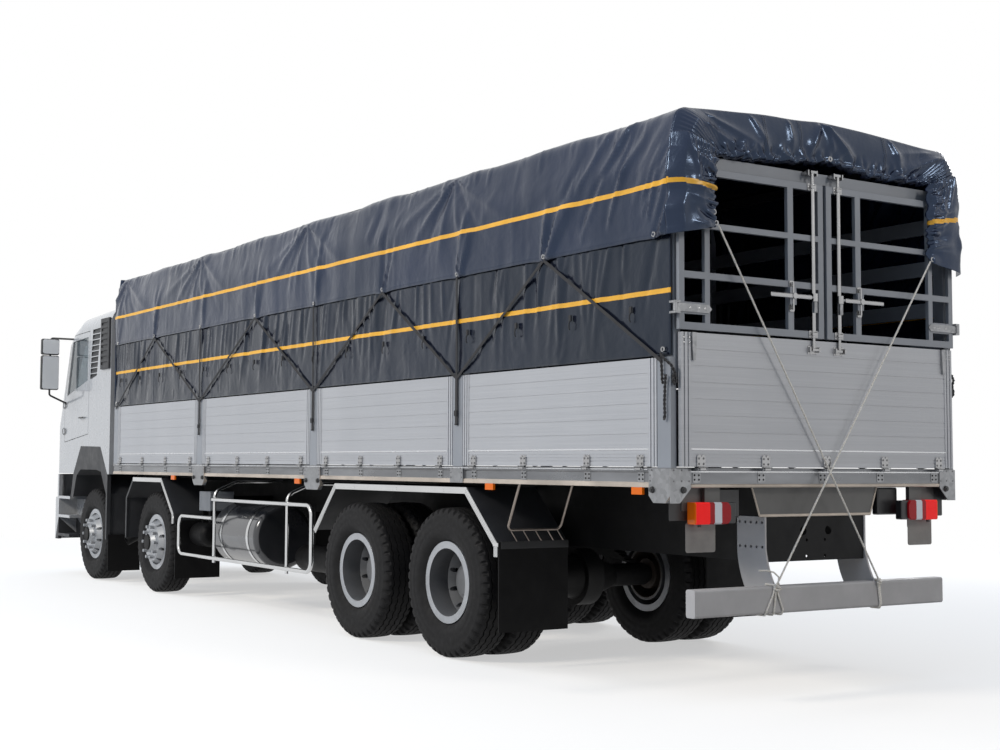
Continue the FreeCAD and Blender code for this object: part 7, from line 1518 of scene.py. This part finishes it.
CAMERA_SPOT = (-6.431, 6.797, 1.394)
CAMERA_YAW = -31.973
CAMERA_PITCH = 3.761
CAMERA_ROLL = 0.347
FOCAL_PIXELS = 1439.168
CENTRE_PIXEL = (446.85, 370.307)
PHOTO_SIZE = (1000, 750)
SENSOR = 36.0
VIEW_REACH = 200


def camera():
    """The photograph's view."""
    yaw, pitch, roll = (math.radians(angle) for angle in (CAMERA_YAW, CAMERA_PITCH, CAMERA_ROLL))
    forward = Vector((math.cos(pitch) * math.cos(yaw), math.cos(pitch) * math.sin(yaw), math.sin(pitch)))
    right = forward.cross(Vector((0, 0, 1))).normalized()
    up = right.cross(forward)
    right_rolled = right * math.cos(roll) + up * math.sin(roll)
    up_rolled = up * math.cos(roll) - right * math.sin(roll)
    turn = Matrix((right_rolled, up_rolled, -forward)).transposed()
    data = bpy.data.cameras.new("photo_camera")
    data.sensor_width = SENSOR
    data.lens = FOCAL_PIXELS / PHOTO_SIZE[0] * SENSOR
    data.shift_x = (PHOTO_SIZE[0] / 2 - CENTRE_PIXEL[0]) / PHOTO_SIZE[0]
    data.shift_y = (CENTRE_PIXEL[1] - PHOTO_SIZE[1] / 2) / PHOTO_SIZE[0]
    data.clip_end = VIEW_REACH
    made = linked("photo_camera", data)
    made.matrix_world = Matrix.Translation(placed(*CAMERA_SPOT)) @ turn.to_4x4()
    bpy.context.scene.camera = made


BLACK = (0.0, 0.0, 0.0)
WHITE = (1.0, 1.0, 1.0)
FLOOR_REACH = 90.0
FLOOR_DROP = 0.002
FLOOR_FADE = (8.0, 15.0)
FLOOR_GLOW = (0.52, 0.52, 0.52)
FLOOR_TONE = (0.48, 0.455, 0.42)
# Each lamp: name, place, size, power and colour
LAMPS = (("key", (-3.0, 14.0, 10.0), 3.0, 1420.0, (1.0, 0.955, 0.88)),
         ("rear", (-16.0, -2.5, 8.0), 2.5, 470.0, (1.0, 0.97, 0.93)),
         ("front", (14.0, 8.0, 8.0), 5.0, 900.0, (0.93, 0.97, 1.0)),
         ("right", (2.0, -14.0, 8.0), 4.0, 600.0, (1.0, 1.0, 1.0)))
LAMP_AIM = (0, 0, 1.5)
NO_GLINT = ("front",)
SKY_WAY = (0.62, 0.45, 0.64)
SKY_RISE = (-0.25, 0.70)
SKY_LOW = (0.065, 0.068, 0.078)
SKY_HIGH = (0.67, 0.82, 1.06)
GROUND_BOUNCE = (0.30, 0.30, 0.30)


def floor_material():
    """White to the camera away from the truck, with the truck's shadow near it; a plain grey to the light."""
    made = new_look("pale_floor")
    span = made.add("VectorMath", {0: made.place}, operation="LENGTH").outputs["Value"]
    far = made.spread(span, *FLOOR_FADE, kind="SMOOTHSTEP")
    seen = made.seen()
    return made.surface({"Base Color": made.mix(seen, GROUND_BOUNCE, made.mix(far, FLOOR_TONE, BLACK)),
                         "Emission Color": made.mix(seen, BLACK, made.mix(far, FLOOR_GLOW, WHITE)),
                         "Emission Strength": 1.0, "Roughness": 1.0, "Specular IOR Level": 0.0})


def studio():
    """A pale floor, a surround that is white to the camera and a sky to the truck, and four soft lamps."""
    bpy.context.scene.world = bpy.data.worlds.new("studio_world")
    sky = Nodes(bpy.context.scene.world)
    facing = sky.add("VectorMath", {0: sky.spots["Generated"], 1: SKY_WAY}, operation="DOT_PRODUCT")
    tone = sky.mix(sky.spread(facing.outputs["Value"], *SKY_RISE), SKY_LOW, SKY_HIGH)
    sky.surface({"Color": sky.mix(sky.seen(), tone, WHITE), "Strength": 1.0}, "Background")
    mesh = bpy.data.meshes.new("studio_floor")
    corners = [(a * FLOOR_REACH, b * FLOOR_REACH, 0) for a, b in ((-1, -1), (1, -1), (1, 1), (-1, 1))]
    mesh.from_pydata(corners, [], [(0, 1, 2, 3)])
    mesh.materials.append(floor_material())
    floor = linked("studio_floor", mesh)
    floor.location.z = -FLOOR_DROP
    for name, spot, size, power, tone in LAMPS:
        data = bpy.data.lights.new(name, "AREA")
        data.size = size
        data.energy = power
        data.color = tone
        lamp = linked(name, data)
        lamp.location = spot
        lamp.rotation_euler = (Vector(LAMP_AIM) - Vector(spot)).to_track_quat("-Z", "Y").to_euler()
        lamp.visible_glossy = name not in NO_GLINT


dress_nodes()
paint_details()
cover_grid = upper_cover()
for side in SIDES:
    skirt(side)
    corner_flap(side, cover_grid)
valance(cover_grid)
for make in (front_wall, tarp_straps, eyelets, bungees, ropes, hinges, sill_fixings, rear_trim,
             tail_lamps, door_fittings, fender_trim, flap_bolts, second_fender_strip, mirror_glasses,
             tyres, camera, studio):
    make()
bpy.context.scene.view_settings.view_transform = "Standard"
